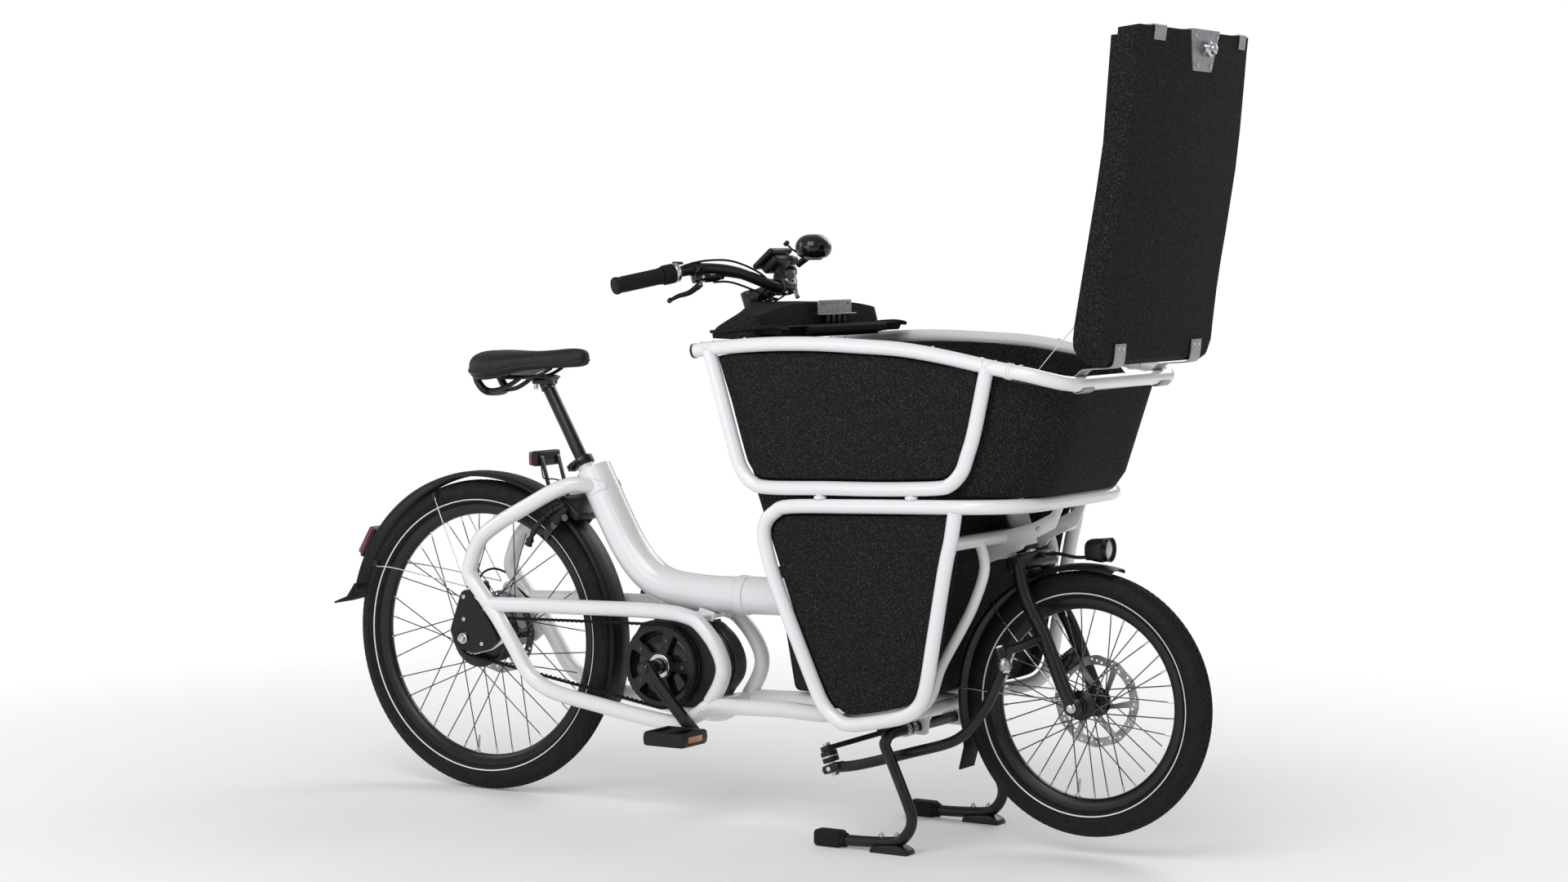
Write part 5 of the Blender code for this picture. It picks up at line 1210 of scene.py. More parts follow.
path = resampled(belt_line(), BELT_POINTS)
belt_outer, belt_inner = [], []
for i, point in enumerate(path):
    tangent = (path[(i + 1) % BELT_POINTS] - path[i - 1]).normalized()
    normal = Vector((tangent.z, 0, -tangent.x))
    belt_outer.append((point + normal * (0.0016, 0.0021, 0.0021, 0.0016)[i % 4]).xz[:])
    belt_inner.append((point - normal * (0.0012, 0.0036, 0.0036, 0.0012)[i % 4]).xz[:])
add(plate([belt_outer, belt_inner], BELT_Y - 0.0055, BELT_Y + 0.0055),
    "drive_belt", "rubber", replaces="belt", smooth=25.0)


def teeth(x, z, root, tip, count):
    """A toothed outline with four points to a tooth."""
    return [on_circle(x, z, (root, tip, tip, root)[i % 4], tau * i / (count * 4))
            for i in range(count * 4)]


windows = []
for arm in range(5):
    begin, end = radians(72 * arm + 10), radians(72 * arm + 62)
    trim = (end - begin) * 0.1
    windows.append(fillet(arc(CRANK.x, CRANK.z, 0.0735, begin, end, 10)
                          + arc(CRANK.x, CRANK.z, 0.03, end - trim, begin + trim, 4), 0.004, 2))
ring = plate([teeth(CRANK.x, CRANK.z, 0.0838, 0.0852, 50),
              circle(CRANK.x, CRANK.z, 0.0112, 32)] + windows,
             BELT_Y - 0.0045, BELT_Y + 0.0045, bevel=0.0006, segments=1, angle=50.0)
FLANGE = [(0.079, -0.002), (0.0905, -0.002), (0.0915, -0.0012), (0.0915, -0.0002), (0.079, 0.0)]
add([ring, turned(FLANGE, (CRANK.x, BELT_Y + 0.009, CRANK.z), 90, True)],
    "ring_sprocket", "paint", "crank", replaces="belt_ring", smooth=30.0)
bolts = []
for arm in range(5):
    x, z = on_circle(CRANK.x, CRANK.z, 0.056, radians(72 * arm))
    bolts.append(screw((x, BELT_Y - 0.0045, z), (0, -1, 0), 0.004, 0.002))
add(bolts, "ring_bolts", "dark", "crank")
LOCK_NUT = [(0.017, -0.0046), (0.024, -0.0048), (0.025, -0.0056), (0.024, -0.0064),
            (0.017, -0.0064)]
add(turned([(radius, BELT_Y + along) for radius, along in LOCK_NUT], CRANK, 60, True),
    "ring_lock_nut", "steel", "crank")
holes = [circle(*on_circle(0, REAR.z, 0.026, tau * k / 6), 0.0062, 16) for k in range(6)]
add(plate([teeth(0, REAR.z, 0.038, 0.0394, 24), circle(0, REAR.z, 0.013, 32)] + holes,
          BELT_Y - 0.0045, BELT_Y + 0.0045, bevel=0.0005, segments=1, angle=50.0),
    "belt_pulley", "rotor", "pulley", replaces="rear_pulley", smooth=30.0)

# ------------------------------------------------------------------ cranks and pedals
CRANK_ANGLE = radians(46)       # right arm, forward and down
CRANK_LENGTH = 0.17
ARM_HALF = [        # along the arm, half width
    (-0.0165, 0.0), (-0.015, 0.008), (-0.0085, 0.0148), (0.0, 0.017), (0.016, 0.0158),
    (0.04, 0.0128), (0.09, 0.0112), (0.14, 0.0112), (0.158, 0.0122), (0.172, 0.0124),
    (0.179, 0.009), (0.1822, 0.0)]
ARM_SLOT = [(0.04, 0.005), (0.09, 0.0042), (0.135, 0.0042)]
CRANK_CAP = [(0.0, 0.0046), (0.0045, 0.0046), (0.008, 0.0036), (0.0098, 0.002), (0.01, 0.0),
             (0.0, 0.0)]
PEDAL_EDGE = [      # x, z from the pedal axle
    (-0.046, -0.012), (-0.04, -0.014), (0.04, -0.014), (0.046, -0.012), (0.048, 0.0),
    (0.046, 0.012), (0.04, 0.014), (-0.04, 0.014), (-0.046, 0.012), (-0.048, 0.0)]


def crank_arm(side, direction):
    across = Vector((-direction.z, 0, direction.x))
    tip = CRANK + direction * CRANK_LENGTH
    outline, slot = [
        [(CRANK + direction * along + across * out).xz[:] for along, out in points]
        for points in (ARM_HALF + [(along, -out) for along, out in ARM_HALF[-2:0:-1]],
                       ARM_SLOT + [(along, -out) for along, out in ARM_SLOT[::-1]])]
    holes = [circle(CRANK.x, CRANK.z, 0.0075, 24), circle(tip.x, tip.z, 0.0055, 24)]
    shape = side_plate([smooth_outline(outline, 3)] + holes, side, 0.095, 0.108,
                       bevel=0.0026, segments=3, angle=50.0)
    shape = cut(shape, side_plate([fillet(slot, 0.004)], side, 0.1068, 0.11))
    return merge(shape, y_rod(CRANK.x, CRANK.z, side * 0.096, side * 0.048,
                              0.015 if side < 0 else 0.0105, 32, bevel=0.001))


def crank_cap(side):
    cap = turned(CRANK_CAP, CRANK, 36)
    if side < 0:
        cap.data.transform(Matrix.Diagonal((1, -1, 1, 1)))
        cap.data.flip_normals()
    cap.data.transform(Matrix.Translation((0, side * 0.1072, 0)))
    return cap


def add_pedal(side, tag, axle):
    body = "pedal_" + tag[0]
    inner, outer = sorted((side * 0.125, side * 0.218))
    middle = (inner + outer) / 2
    pad = plate([[(axle.x + x, axle.z + z) for x, z in PEDAL_EDGE]], inner, outer,
                bevel=0.0025, segments=3, angle=25.0)
    pad = cut(pad, *[block((axle.x + x, middle, axle.z), (0.0225, 0.066, 0.06), bevel=0.005)
                     for x in (0.0262, -0.0262)])
    knobs = []
    for x in (-0.042, 0.042):
        for k in range(12):
            knobs.append(block((axle.x + x, inner + 0.006 + 0.0073 * k, axle.z),
                               (0.0066, 0.0034, 0.029), bevel=0.0008, segments=1))
    for way in (-1, 1):
        for k in range(9):
            knobs.append(block((axle.x, inner + 0.012 + 0.0085 * k, axle.z + way * 0.014),
                               (0.018, 0.003, 0.0024), bevel=0.0006, segments=1))
    add([pad, *knobs], "pedal_body_" + tag, "plastic", body, "pedal_" + tag, 30.0)
    add([y_rod(axle.x, axle.z, side * 0.096, side * 0.129, 0.0047),
         y_rod(axle.x, axle.z, side * 0.109, side * 0.116, 0.0078, 6)],
        "pedal_axle_" + tag, "steel", body)
    add([block((axle.x + x, middle, axle.z), (0.0022, 0.05, 0.012), bevel=0.0006)
         for x in (0.0476, -0.0476)], "pedal_reflector_" + tag, "amber", body)


right_arm = Vector((cos(CRANK_ANGLE), 0, -sin(CRANK_ANGLE)))
for side, tag in SIDES:
    direction = right_arm * -side
    arm, cap = crank_arm(side, direction), crank_cap(side)
    add(arm, "crank_arm_" + tag, "paint", "crank", "crank_" + tag, 30.0)
    add(cap, "crank_cap_" + tag, "gloss", "crank")
    add_pedal(side, tag, CRANK + direction * CRANK_LENGTH)

# ------------------------------------------------------------------ wheels
# depth below the tyre's crown and distance from its middle plane
TYRE_HALF = [
    (0.0018, 0.0), (0.002, 0.005), (0.0034, 0.011), (0.0068, 0.017), (0.012, 0.022),
    (0.019, 0.0258), (0.027, 0.0275), (0.035, 0.0262), (0.043, 0.0222), (0.049, 0.017),
    (0.0535, 0.013), (0.0575, 0.012)]
# rows of tread blocks on each half: inner edge, outer edge, stagger in blocks
TREAD_ROWS = ((0.0012, 0.0062, 0.0), (0.0072, 0.012, 0.5), (0.013, 0.018, 0.0),
              (0.0188, 0.0222, 0.5))
REFLEX_LINE = [(0.0412, 0.02395), (0.0424, 0.0235), (0.0436, 0.02285), (0.043, 0.0215),
               (0.041, 0.0225)]
SIDEWALL_RIBS = ((0.03, 0.0272), (0.0375, 0.0254), (0.05, 0.0164))
RIM_HALF = [        # radius from the rim's edge, distance from the middle plane
    (0.0022, 0.012), (0.001, 0.0132), (-0.004, 0.0128), (-0.009, 0.0122), (-0.0135, 0.0108),
    (-0.0178, 0.0082), (-0.02, 0.005)]
RIM_DEPTH = 0.0206
SPOKES = 36


def tread(radius, axle, blocks):
    """Raised tread blocks, skewed and staggered."""
    surface_line = [(out, radius - depth) for depth, out in TYRE_HALF[:6]]
    pitch = tau / blocks
    points, faces = [], []
    order = (0, 1, 3, 2)
    for near, far, shift in TREAD_ROWS:
        for side in (-1, 1):
            for i in range(blocks):
                begin = tau * (i + shift + (0.25 if side > 0 else 0.0)) / blocks
                width, skew = pitch * 0.74, pitch * 0.22
                base = len(points)
                for lift, pad in ((-0.0012, 0.0), (0.001, 0.0), (0.0016, 0.0006)):
                    for out, extra in ((near + pad, 0.0), (far - pad, skew)):
                        for turn in (pad / radius, width - pad / radius):
                            angle = begin + turn + extra
                            reach = interpolate(surface_line, out) + lift
                            points.append(axle + Vector(
                                (reach * cos(angle), side * out, reach * sin(angle))))
                for level in (base, base + 4):
                    for k in range(4):
                        here, after = level + order[k], level + order[(k + 1) % 4]
                        faces.append((here, after, after + 4, here + 4))
                faces.append(tuple(base + 8 + k for k in order))
    return clean(from_faces(points, faces), 1e-7)


def mirrored_profile(half):
    return half + [(radius, -along) for radius, along in reversed(half)]


def add_wheel(tag, radius, axle, hub, flange_y, flange_radius, blocks, spoke_lean):
    body = tag + "_wheel"
    half = [(radius - depth, out) for depth, out in TYRE_HALF]
    shell = turned(half + [(reach, -out) for reach, out in half[:0:-1]], axle, 144)
    blocks = tread(radius, axle, blocks)
    add(shell, tag + "_tyre_body", "tyre", body, tag + "_tyre", 50.0)
    add(blocks, tag + "_tread", "tyre", body, smooth=25.0)
    add([turned([(radius - depth, side * out) for depth, out in REFLEX_LINE], axle, 144, True)
         for side in (-1, 1)], tag + "_reflex_line", "stripe", body)
    ribs = []
    for side in (-1, 1):
        for depth, out in SIDEWALL_RIBS:
            reach = radius - depth
            ribs.append(turned([(reach + 0.0006, side * (out - 0.0008)),
                                (reach, side * (out + 0.0006)),
                                (reach - 0.0006, side * (out - 0.0008))], axle, 144))
    add(ribs, tag + "_sidewall_ribs", "tyre", body, smooth=60.0)
    edge = radius - 0.0538
    inner = edge - RIM_DEPTH
    half = [(edge + rise, out) for rise, out in RIM_HALF]
    rim = half + [(inner, 0.0)] + [(reach, -out) for reach, out in half[::-1]]
    rim.append((edge - 0.002, 0.0))
    add(turned(rim, axle, 144, True), tag + "_rim_body", "paint", body, tag + "_rim", 40.0)
    add(rounded(turned(hub, axle, 72), 0.0008, 2, 40.0), tag + "_hub", "paint", body,
        tag + "_spokes")
    wires, nipples = [], []
    for i in range(SPOKES):
        seat = tau * (i + 0.5) / SPOKES
        side = 1 if i % 2 else -1
        lean = 1 if (i // 2) % 2 else -1
        root = seat - lean * radians(spoke_lean)
        start = axle + Vector((flange_radius * cos(root), side * (flange_y + lean * 0.0016),
                               flange_radius * sin(root)))
        end = axle + Vector(((inner + 0.001) * cos(seat), side * 0.003,
                             (inner + 0.001) * sin(seat)))
        along = (end - start).normalized()
        wires.append(rod(start, end, 0.00125, 8))
        nipples.append(rod(end - along * 0.013, end + along * 0.0012, 0.0021, 10, 0.0016))
    add(wires, tag + "_spoke_wires", "dark", body, smooth=60.0)
    add(nipples, tag + "_nipples", "steel", body, smooth=50.0)
    angle = radians(-96)
    out = Vector((cos(angle), 0, sin(angle)))
    foot = axle + out * inner
    add([rod(foot + out * 0.002, foot - out * 0.026, 0.003, 20),
         rod(foot - out * 0.001, foot - out * 0.005, 0.0056, 20, bevel=0.0006),
         rod(foot - out * 0.026, foot - out * 0.037, 0.0024, 16, bevel=0.0005)],
        tag + "_valve", "steel", body, smooth=40.0)


# radius and y, from right to left
FRONT_HUB = [
    (0.0, -0.066), (0.0048, -0.066), (0.0048, -0.045), (0.015, -0.045), (0.0156, -0.044),
    (0.016, -0.0325), (0.0285, -0.0312), (0.029, -0.0305), (0.029, -0.0275), (0.0285, -0.0268),
    (0.015, -0.025), (0.014, -0.01), (0.014, 0.01), (0.015, 0.023), (0.0275, 0.0248),
    (0.028, 0.0254), (0.028, 0.0286), (0.0275, 0.0292), (0.019, 0.032), (0.019, 0.0445),
    (0.018, 0.045), (0.0048, 0.045), (0.0048, 0.066), (0.0, 0.066)]
REAR_HUB = [
    (0.0, -0.086), (0.007, -0.086), (0.007, -0.06), (0.012, -0.06), (0.012, -0.04),
    (0.06, -0.038), (0.0675, -0.0336), (0.068, -0.0325), (0.068, -0.0285), (0.0672, -0.0276),
    (0.056, -0.024), (0.053, -0.01), (0.052, 0.02), (0.0612, 0.0256), (0.062, 0.0265),
    (0.062, 0.0305), (0.0612, 0.0312), (0.03, 0.036), (0.018, 0.04), (0.018, 0.06),
    (0.007, 0.06), (0.007, 0.086), (0.0, 0.086)]
add_wheel("rear", REAR_RADIUS, REAR, REAR_HUB, flange_y=0.03, flange_radius=0.058,
          blocks=150, spoke_lean=48)
add_wheel("front", FRONT_RADIUS, FRONT, FRONT_HUB, flange_y=0.027, flange_radius=0.024,
          blocks=118, spoke_lean=62)


def rotor_blade(axle, y, hub_radius):
    """A brake disc with a scalloped edge, six gaps and rings of small holes."""
    x, z = axle.x, axle.z
    blade = []
    for i in range(144):
        angle = tau * i / 144
        blade.append(on_circle(x, z, 0.09 - 0.0022 * (0.5 - 0.5 * cos(angle * 12)), angle))
    gaps = []
    for arm in range(6):
        begin, end = radians(60 * arm + 5), radians(60 * arm + 54)
        gaps.append(fillet(arc(x, z, 0.0712, begin, end, 8)
                           + arc(x, z, hub_radius + 0.0105, end - radians(20),
                                 begin - radians(14), 5), 0.003, 2))
    holes = [circle(*on_circle(x, z, 0.0765 if i % 2 else 0.0825, tau * (i + 0.5) / 24),
                    0.0026, 12) for i in range(24)]
    holes += [circle(*on_circle(x, z, 0.0795, tau * i / 12), 0.0022, 12) for i in range(12)]
    return plate([blade, circle(x, z, hub_radius, 40)] + gaps + holes, y - 0.001, y + 0.001,
                 bevel=0.0002, segments=1)


FRONT_ROTOR_Y = 0.04
for tag, axle, y, hub_radius in (("rear", REAR, 0.048, 0.0186),
                                 ("front", FRONT, FRONT_ROTOR_Y, 0.0196)):
    body = tag + "_wheel"
    add(rotor_blade(axle, y, hub_radius), tag + "_rotor_blade", "rotor", body,
        tag + "_rotor", 30.0)
    heads = []
    for k in range(6):
        x, z = on_circle(axle.x, axle.z, hub_radius + 0.0048, tau * (k + 0.5) / 6)
        heads.append(screw((x, y, z), (0, 1, 0), 0.0036, 0.002))
    inner, outer = hub_radius - 0.0004, hub_radius + 0.01
    carrier = turned([(inner, -0.0012), (outer, -0.0012), (outer, 0.0014), (inner, 0.0014)],
                     (axle.x, y, axle.z), 60, True)
    add(heads, tag + "_rotor_bolts", "steel", body)
    add(carrier, tag + "_rotor_carrier", "paint", body)

# ------------------------------------------------------------------ rear guard, lights, brake


def guard(axle, radius, half, sweep_deg, start, steps):
    """A mudguard: depth below its crown against a share of its half width, turned."""
    thick = 0.0024
    outer = [
        (radius - 0.0105, -half + 0.0004), (radius - 0.009, -half),
        (radius - 0.0052, -half * 0.93), (radius - 0.0022, -half * 0.82),
        (radius - 0.0008, -half * 0.6), (radius, -half * 0.34), (radius + 0.0006, -half * 0.26)]
    inner = [(radius - 0.0105, half - thick), (radius - 0.0058, half * 0.86),
             (radius - 0.004, half * 0.76), (radius - thick, half * 0.5)]
    section = mirrored_profile(outer) + mirrored_profile(inner)
    return rounded(turned(section, axle, steps, True, sweep_deg, start), 0.0007, 1, 50.0)


def polar(axle, radius, deg, y=0.0):
    angle = radians(deg)
    return axle + Vector((radius * cos(angle), y, radius * sin(angle)))


def radial_axes(deg):
    out = Vector((cos(radians(deg)), 0, sin(radians(deg))))
    return (out, LEFT, out.cross(LEFT))


def caliper(axle, deg, y, width, length, bevel):
    """A brake body straddling the disc."""
    axes = radial_axes(deg)
    return cut(block(polar(axle, 0.096, deg, y), (0.034, width, length), axes, bevel),
               block(polar(axle, 0.086, deg, y), (0.03, 0.006, 0.08), axes, 0.0))


def brake_fins(axle, radius, deg, y, width):
    return [block(polar(axle, radius, deg + turn, y), (0.006, width, 0.0022),
                  radial_axes(deg + turn), 0.0006, 1) for turn in (-10, -6.5, -3, 0.5, 4, 7.5)]


add(guard(REAR, 0.353, 0.034, 189.0, -21.0, 110), "rear_guard", "satin",
    replaces="rear_fender", smooth=40.0)
REAR_FLAP = fillet([
    (-0.336, 0.42), (-0.34, 0.429), (-0.348, 0.417), (-0.362, 0.398), (-0.398, 0.384),
    (-0.396, 0.3805), (-0.359, 0.39), (-0.347, 0.404)], 0.002)
add(plate([REAR_FLAP], -0.031, 0.031, bevel=0.001), "rear_mudflap", "rubber")
stays, tips = [], []
for side in (-1, 1):
    for x, z in ((-0.113, 0.632), (-0.275, 0.476)):
        stays.append(tube([(x, side * 0.033, z), (x * 0.985, side * 0.0372, z - 0.006),
                           (x * 0.75 - 0.002, side * 0.048, z * 0.75 + 0.448 * 0.25),
                           (-0.01, side * 0.064, 0.443)], 0.0013, 10, 5))
        tips.append(block((x, side * 0.0352, z), (0.012, 0.006, 0.012), bevel=0.0018))
        tips.append(y_rod(x, z, side * 0.037, side * 0.0405, 0.003, 6))
add(stays, "rear_guard_stays", "steel", smooth=60.0)
add(tips, "rear_guard_clips", "gloss")

TAIL_ANGLE = 149.0
tail_axes = radial_axes(TAIL_ANGLE)
add(block(polar(REAR, 0.3672, TAIL_ANGLE), (0.0136, 0.046, 0.068), tail_axes, 0.005, 4),
    "tail_lens", "red", replaces="tail_light", smooth=40.0)
add(block(polar(REAR, 0.3585, TAIL_ANGLE), (0.009, 0.05, 0.072), tail_axes, 0.0026),
    "tail_base", "gloss")
add(block((0.156, 0, 0.721), (0.018, 0.084, 0.032), bevel=0.0045, segments=4),
    "top_light_body", "plastic", replaces="top_light", smooth=40.0)
lean = Vector((0.026, 0.0, -0.09)).normalized()
brackets = [block((0.18, side * 0.03, 0.679), (0.003, 0.012, 0.096),
                  (lean.cross(LEFT), LEFT, lean), 0.001) for side in (-1, 1)]
brackets.append(block((0.1655, 0, 0.712), (0.003, 0.066, 0.01), bevel=0.001))
add(brackets, "top_light_brackets", "paint")
add(block((0.145, 0, 0.721), (0.01, 0.0845, 0.029), bevel=0.0042, segments=4),
    "top_light_lens", "red", smooth=40.0)
add([screw((0.166, side * 0.03, 0.723), (1, 0, 0), 0.0044, 0.0024) for side in (-1, 1)],
    "top_light_screws", "steel")
add(tube([(0.158, -0.02, 0.707), (0.164, -0.024, 0.69), (0.176, -0.034, 0.68),
          (0.2, -0.03, 0.679), (0.222, -0.02, 0.672)], 0.0016, 8, 5),
    "top_light_cable", "rubber")

REAR_BRAKE_ANGLE = 104.0
REAR_BRAKE_Y = sum(corner.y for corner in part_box("rear_caliper")[:2]) / 2
brake = caliper(REAR, REAR_BRAKE_ANGLE, 0.0, width=0.019, length=0.052, bevel=0.004)
brake.data.transform(Matrix.Translation((0, REAR_BRAKE_Y, 0)))
add(brake, "rear_brake_body", "gloss", replaces="rear_caliper")
add(brake_fins(REAR, 0.108, REAR_BRAKE_ANGLE, REAR_BRAKE_Y, width=0.022),
    "rear_brake_fins", "steel")

# ------------------------------------------------------------------ ring lock
LOCK_DEG = 49.3                 # around the rear axle
lock_out = Vector((cos(radians(LOCK_DEG)), 0, sin(radians(LOCK_DEG))))
lock_place = (Matrix.Translation(REAR + lock_out * 0.3145)
              @ basis((LEFT, lock_out.cross(LEFT) * -1, lock_out)))


def sector(inner, outer, begin, end, steps):
    """Part of a flat ring about the origin, between two angles in degrees."""
    begin, end = radians(begin), radians(end)
    return arc(0, 0, outer, begin, end, steps) + arc(0, 0, inner, end, begin, steps)


add(plate([sector(0.05, 0.0605, -25, 205, 48)], -0.0085, 0.0085, matrix=lock_place,
          bevel=0.003, segments=4, angle=50.0),
    "ring_lock_case", "gloss", replaces="ring_lock", smooth=40.0)
add(plate([sector(0.0495, 0.0612, 40, 115, 20)], -0.0098, 0.0098, matrix=lock_place,
          bevel=0.0026, segments=3, angle=50.0), "ring_lock_body", "plastic")
LOCK_HOUSING = [    # radius, turn in degrees, y, size, bevel
    (0.3765, 0.0, 0.0, (0.02, 0.092, 0.064), 0.007),
    (0.356, 3.0, -0.054, (0.048, 0.013, 0.052), 0.0055),
    (0.356, 1.0, 0.054, (0.048, 0.013, 0.04), 0.0055)]
add([block(polar(REAR, radius, LOCK_DEG + turn, y), size, radial_axes(LOCK_DEG + turn), bevel, 4)
     for radius, turn, y, size, bevel in LOCK_HOUSING],
    "ring_lock_housing", "plastic", smooth=40.0)
line = smooth_line([(0.244, -0.06, 0.63), (0.215, -0.063, 0.614), (0.186, -0.064, 0.59),
                    (0.166, -0.063, 0.564), (0.153, -0.061, 0.54)], 6)
parts = [sweep(line, [0.0058 + 0.001 * sin(i * 1.9) + (0.0022 if i > len(line) - 5 else 0.0)
                      for i in range(len(line))], 18)]
for i in (5, 7, 9, 11):
    step = (line[i + 1] - line[i]).normalized() * 0.0012
    parts.append(rod(line[i] - step, line[i] + step, 0.0082, 24, bevel=0.0005))
add(parts, "ring_lock_lever", "paint", smooth=50.0)
KEY_PLATE = [(0.0, -0.0016), (0.007, -0.0016), (0.0078, -0.0006), (0.0078, 0.0006),
             (0.0, 0.0006)]
add(turned(KEY_PLATE, polar(REAR, 0.364, LOCK_DEG - 2.0, -0.0606), 36),
    "ring_lock_key_plate", "dark")

# ------------------------------------------------------------------ seat
SEAT_BACK = Vector((-0.866, 0, -0.5))       # square to the seat tube, backward
SEAT_AXES = (SEAT_BACK, LEFT, SEAT_UP)
CLAMP_MIDDLE = SEAT_COLLAR - SEAT_UP * 0.0055
clamp = cut(
    rod(SEAT_COLLAR - SEAT_UP * 0.014, SEAT_COLLAR + SEAT_UP * 0.003, 0.0225, 48, bevel=0.0014),
    rod(SEAT_COLLAR - SEAT_UP * 0.05, SEAT_COLLAR + SEAT_UP * 0.05, 0.0184, 48),
    block(CLAMP_MIDDLE + SEAT_BACK * 0.024, (0.03, 0.0025, 0.05), SEAT_AXES, 0.0))
ears = [block(CLAMP_MIDDLE + SEAT_BACK * 0.0262 + LEFT * y, (0.014, 0.0064, 0.014), SEAT_AXES,
              0.0016) for y in (-0.0047, 0.0047)]
add([clamp, *ears], "seat_collar", "paint", replaces="seat_clamp")
add(turned_at([(0.0224, -0.0012), (0.023, 0.0), (0.0224, 0.0012)],
              SEAT_COLLAR - SEAT_UP * 0.004, -SEAT_LEAN, 48), "seat_collar_band", "gloss")
CLAMP_BOLT = CLAMP_MIDDLE + SEAT_BACK * 0.027
pin = CLAMP_BOLT + Vector((0, -0.015, 0))
line = smooth_line([pin, pin + Vector((0, -0.01, 0)) - SEAT_BACK * 0.006,
                    pin + Vector((0, -0.018, 0)) - SEAT_BACK * 0.022,
                    pin + Vector((0, -0.019, 0)) - SEAT_BACK * 0.042], 8)
add([rod(pin - SEAT_UP * 0.006, pin + SEAT_UP * 0.006, 0.0062, 32, bevel=0.001),
     sweep(line, [0.0036 + 0.001 * sin(pi * i / (len(line) - 1)) for i in range(len(line))], 16)],
    "seat_clamp_lever", "gloss", "quick_lever", "seat_lever", 40.0)
add(rod(CLAMP_BOLT + LEFT * 0.007, CLAMP_BOLT + LEFT * 0.012, 0.005, 24, bevel=0.0008),
    "seat_clamp_nut", "steel")
add(rod(SEAT_COLLAR - SEAT_UP * 0.11, SEAT_COLLAR + SEAT_UP * 0.188, 0.0136, 48, bevel=0.0006),
    "post_tube", "paint", "seat", "seatpost")
POST_HEAD = SEAT_COLLAR + SEAT_UP * 0.192
parts = [
    block(POST_HEAD - Vector((0, 0, 0.004)), (0.046, 0.034, 0.012), bevel=0.004),
    block(POST_HEAD + Vector((0, 0, 0.0055)), (0.052, 0.044, 0.005)),
    rod(POST_HEAD - SEAT_UP * 0.022, POST_HEAD - SEAT_UP * 0.002, 0.0165, 36, 0.015, 0.001)]
parts += [y_rod(POST_HEAD.x + x, POST_HEAD.z + 0.004, -0.018, 0.018, 0.0062, 24)
          for x in (-0.02, 0.018)]
add(parts, "post_head", "paint", "seat", smooth=40.0)
POST_BOLT = [       # lower z, upper z, radius, sides, bevel
    (-0.02, 0.006, 0.0028, 16, 0.0), (-0.022, -0.015, 0.005, 6, 0.0006),
    (-0.014, -0.012, 0.0058, 24, 0.0)]
add([rod(POST_HEAD + Vector((x, 0, lower)), POST_HEAD + Vector((x, 0, upper)), radius, sides,
         bevel=bevel) for x in (-0.0225, 0.0205) for lower, upper, radius, sides, bevel in POST_BOLT],
    "post_bolts", "steel", "seat")

SADDLE = [          # x, half width, lowest z, highest z
    (-0.0026, 0.0435, 0.91, 0.936), (-0.0003, 0.0592, 0.898, 0.9405),
    (0.0068, 0.0722, 0.887, 0.9446), (0.0211, 0.0835, 0.881, 0.9478),
    (0.0416, 0.0879, 0.88, 0.9488), (0.064, 0.087, 0.883, 0.9486),
    (0.0818, 0.0818, 0.888, 0.948), (0.1042, 0.0696, 0.8955, 0.9474),
    (0.1265, 0.0548, 0.902, 0.9474), (0.1506, 0.0418, 0.906, 0.9488),
    (0.1756, 0.0335, 0.9085, 0.9505), (0.2024, 0.0287, 0.9095, 0.953),
    (0.2247, 0.0252, 0.9105, 0.9548), (0.2426, 0.0222, 0.913, 0.9545),
    (0.2542, 0.0183, 0.917, 0.9525), (0.2609, 0.013, 0.922, 0.9495),
    (0.264, 0.007, 0.927, 0.945)]


def saddle_ring(x, half, bottom, top):
    """A section: domed above with a shallow groove, hollowed below."""
    ring = []
    middle = bottom + (top - bottom) * 0.42
    for k in range(36):
        across, rise = cos(tau * k / 36), sin(tau * k / 36)
        y = half * math.copysign(abs(across) ** 0.8, across)
        if rise >= 0:
            z = middle + (top - middle) * (rise ** 0.85)
            if 0.0 < x < 0.2:
                z -= 0.0012 * max(0.0, 1 - abs(y) / 0.012)
        else:
            z = middle - (middle - bottom) * abs(rise) ** 0.55
            z += 0.62 * (middle - bottom) * max(0.0, 1 - (abs(y) / (half * 0.72)) ** 2)
        ring.append((x, y, z))
    return ring


shell = loft([saddle_ring(*station) for station in SADDLE])
shell.modifiers.new("smooth", "SUBSURF").levels = 2
add(clean(bake(shell)), "saddle_top", "saddle", "seat", "saddle", 60.0)
add([tube([(x, side * (half * 0.985 + 0.0004), bottom + (top - bottom) * 0.3)
           for x, half, bottom, top in SADDLE[1:-1]], 0.0014, 10, 4) for side in (-1, 1)],
    "saddle_seam", "gloss", "seat", smooth=60.0)
SADDLE_RAIL = [(0.014, 0.032, 0.905), (0.024, 0.03, 0.8965), (0.048, 0.023, 0.8905),
               (0.105, 0.022, 0.8905), (0.15, 0.022, 0.896), (0.185, 0.02, 0.912)]
add([tube([on_side(point, side) for point in SADDLE_RAIL], 0.0036, 16, 5) for side in (-1, 1)],
    "saddle_rails", "paint", "seat", smooth=60.0)
LIFT_LOOP = [(0.002, -0.04, 0.902), (0.01, -0.042, 0.88), (0.025, -0.036, 0.862)]
LIFT_ARM = [(0.025, 0.034, 0.861), (0.056, 0.03, 0.865), (0.084, 0.025, 0.8765),
            (0.104, 0.022, 0.8895)]
loop = tube(LIFT_LOOP + [(0.028, 0.0, 0.858)] + mirrored(LIFT_LOOP), 0.0084, 18, 6)
add([loop] + [tube([on_side(point, side) for point in LIFT_ARM], 0.005, 14, 5)
              for side in (-1, 1)], "saddle_lift_loop", "paint", "seat", smooth=60.0)

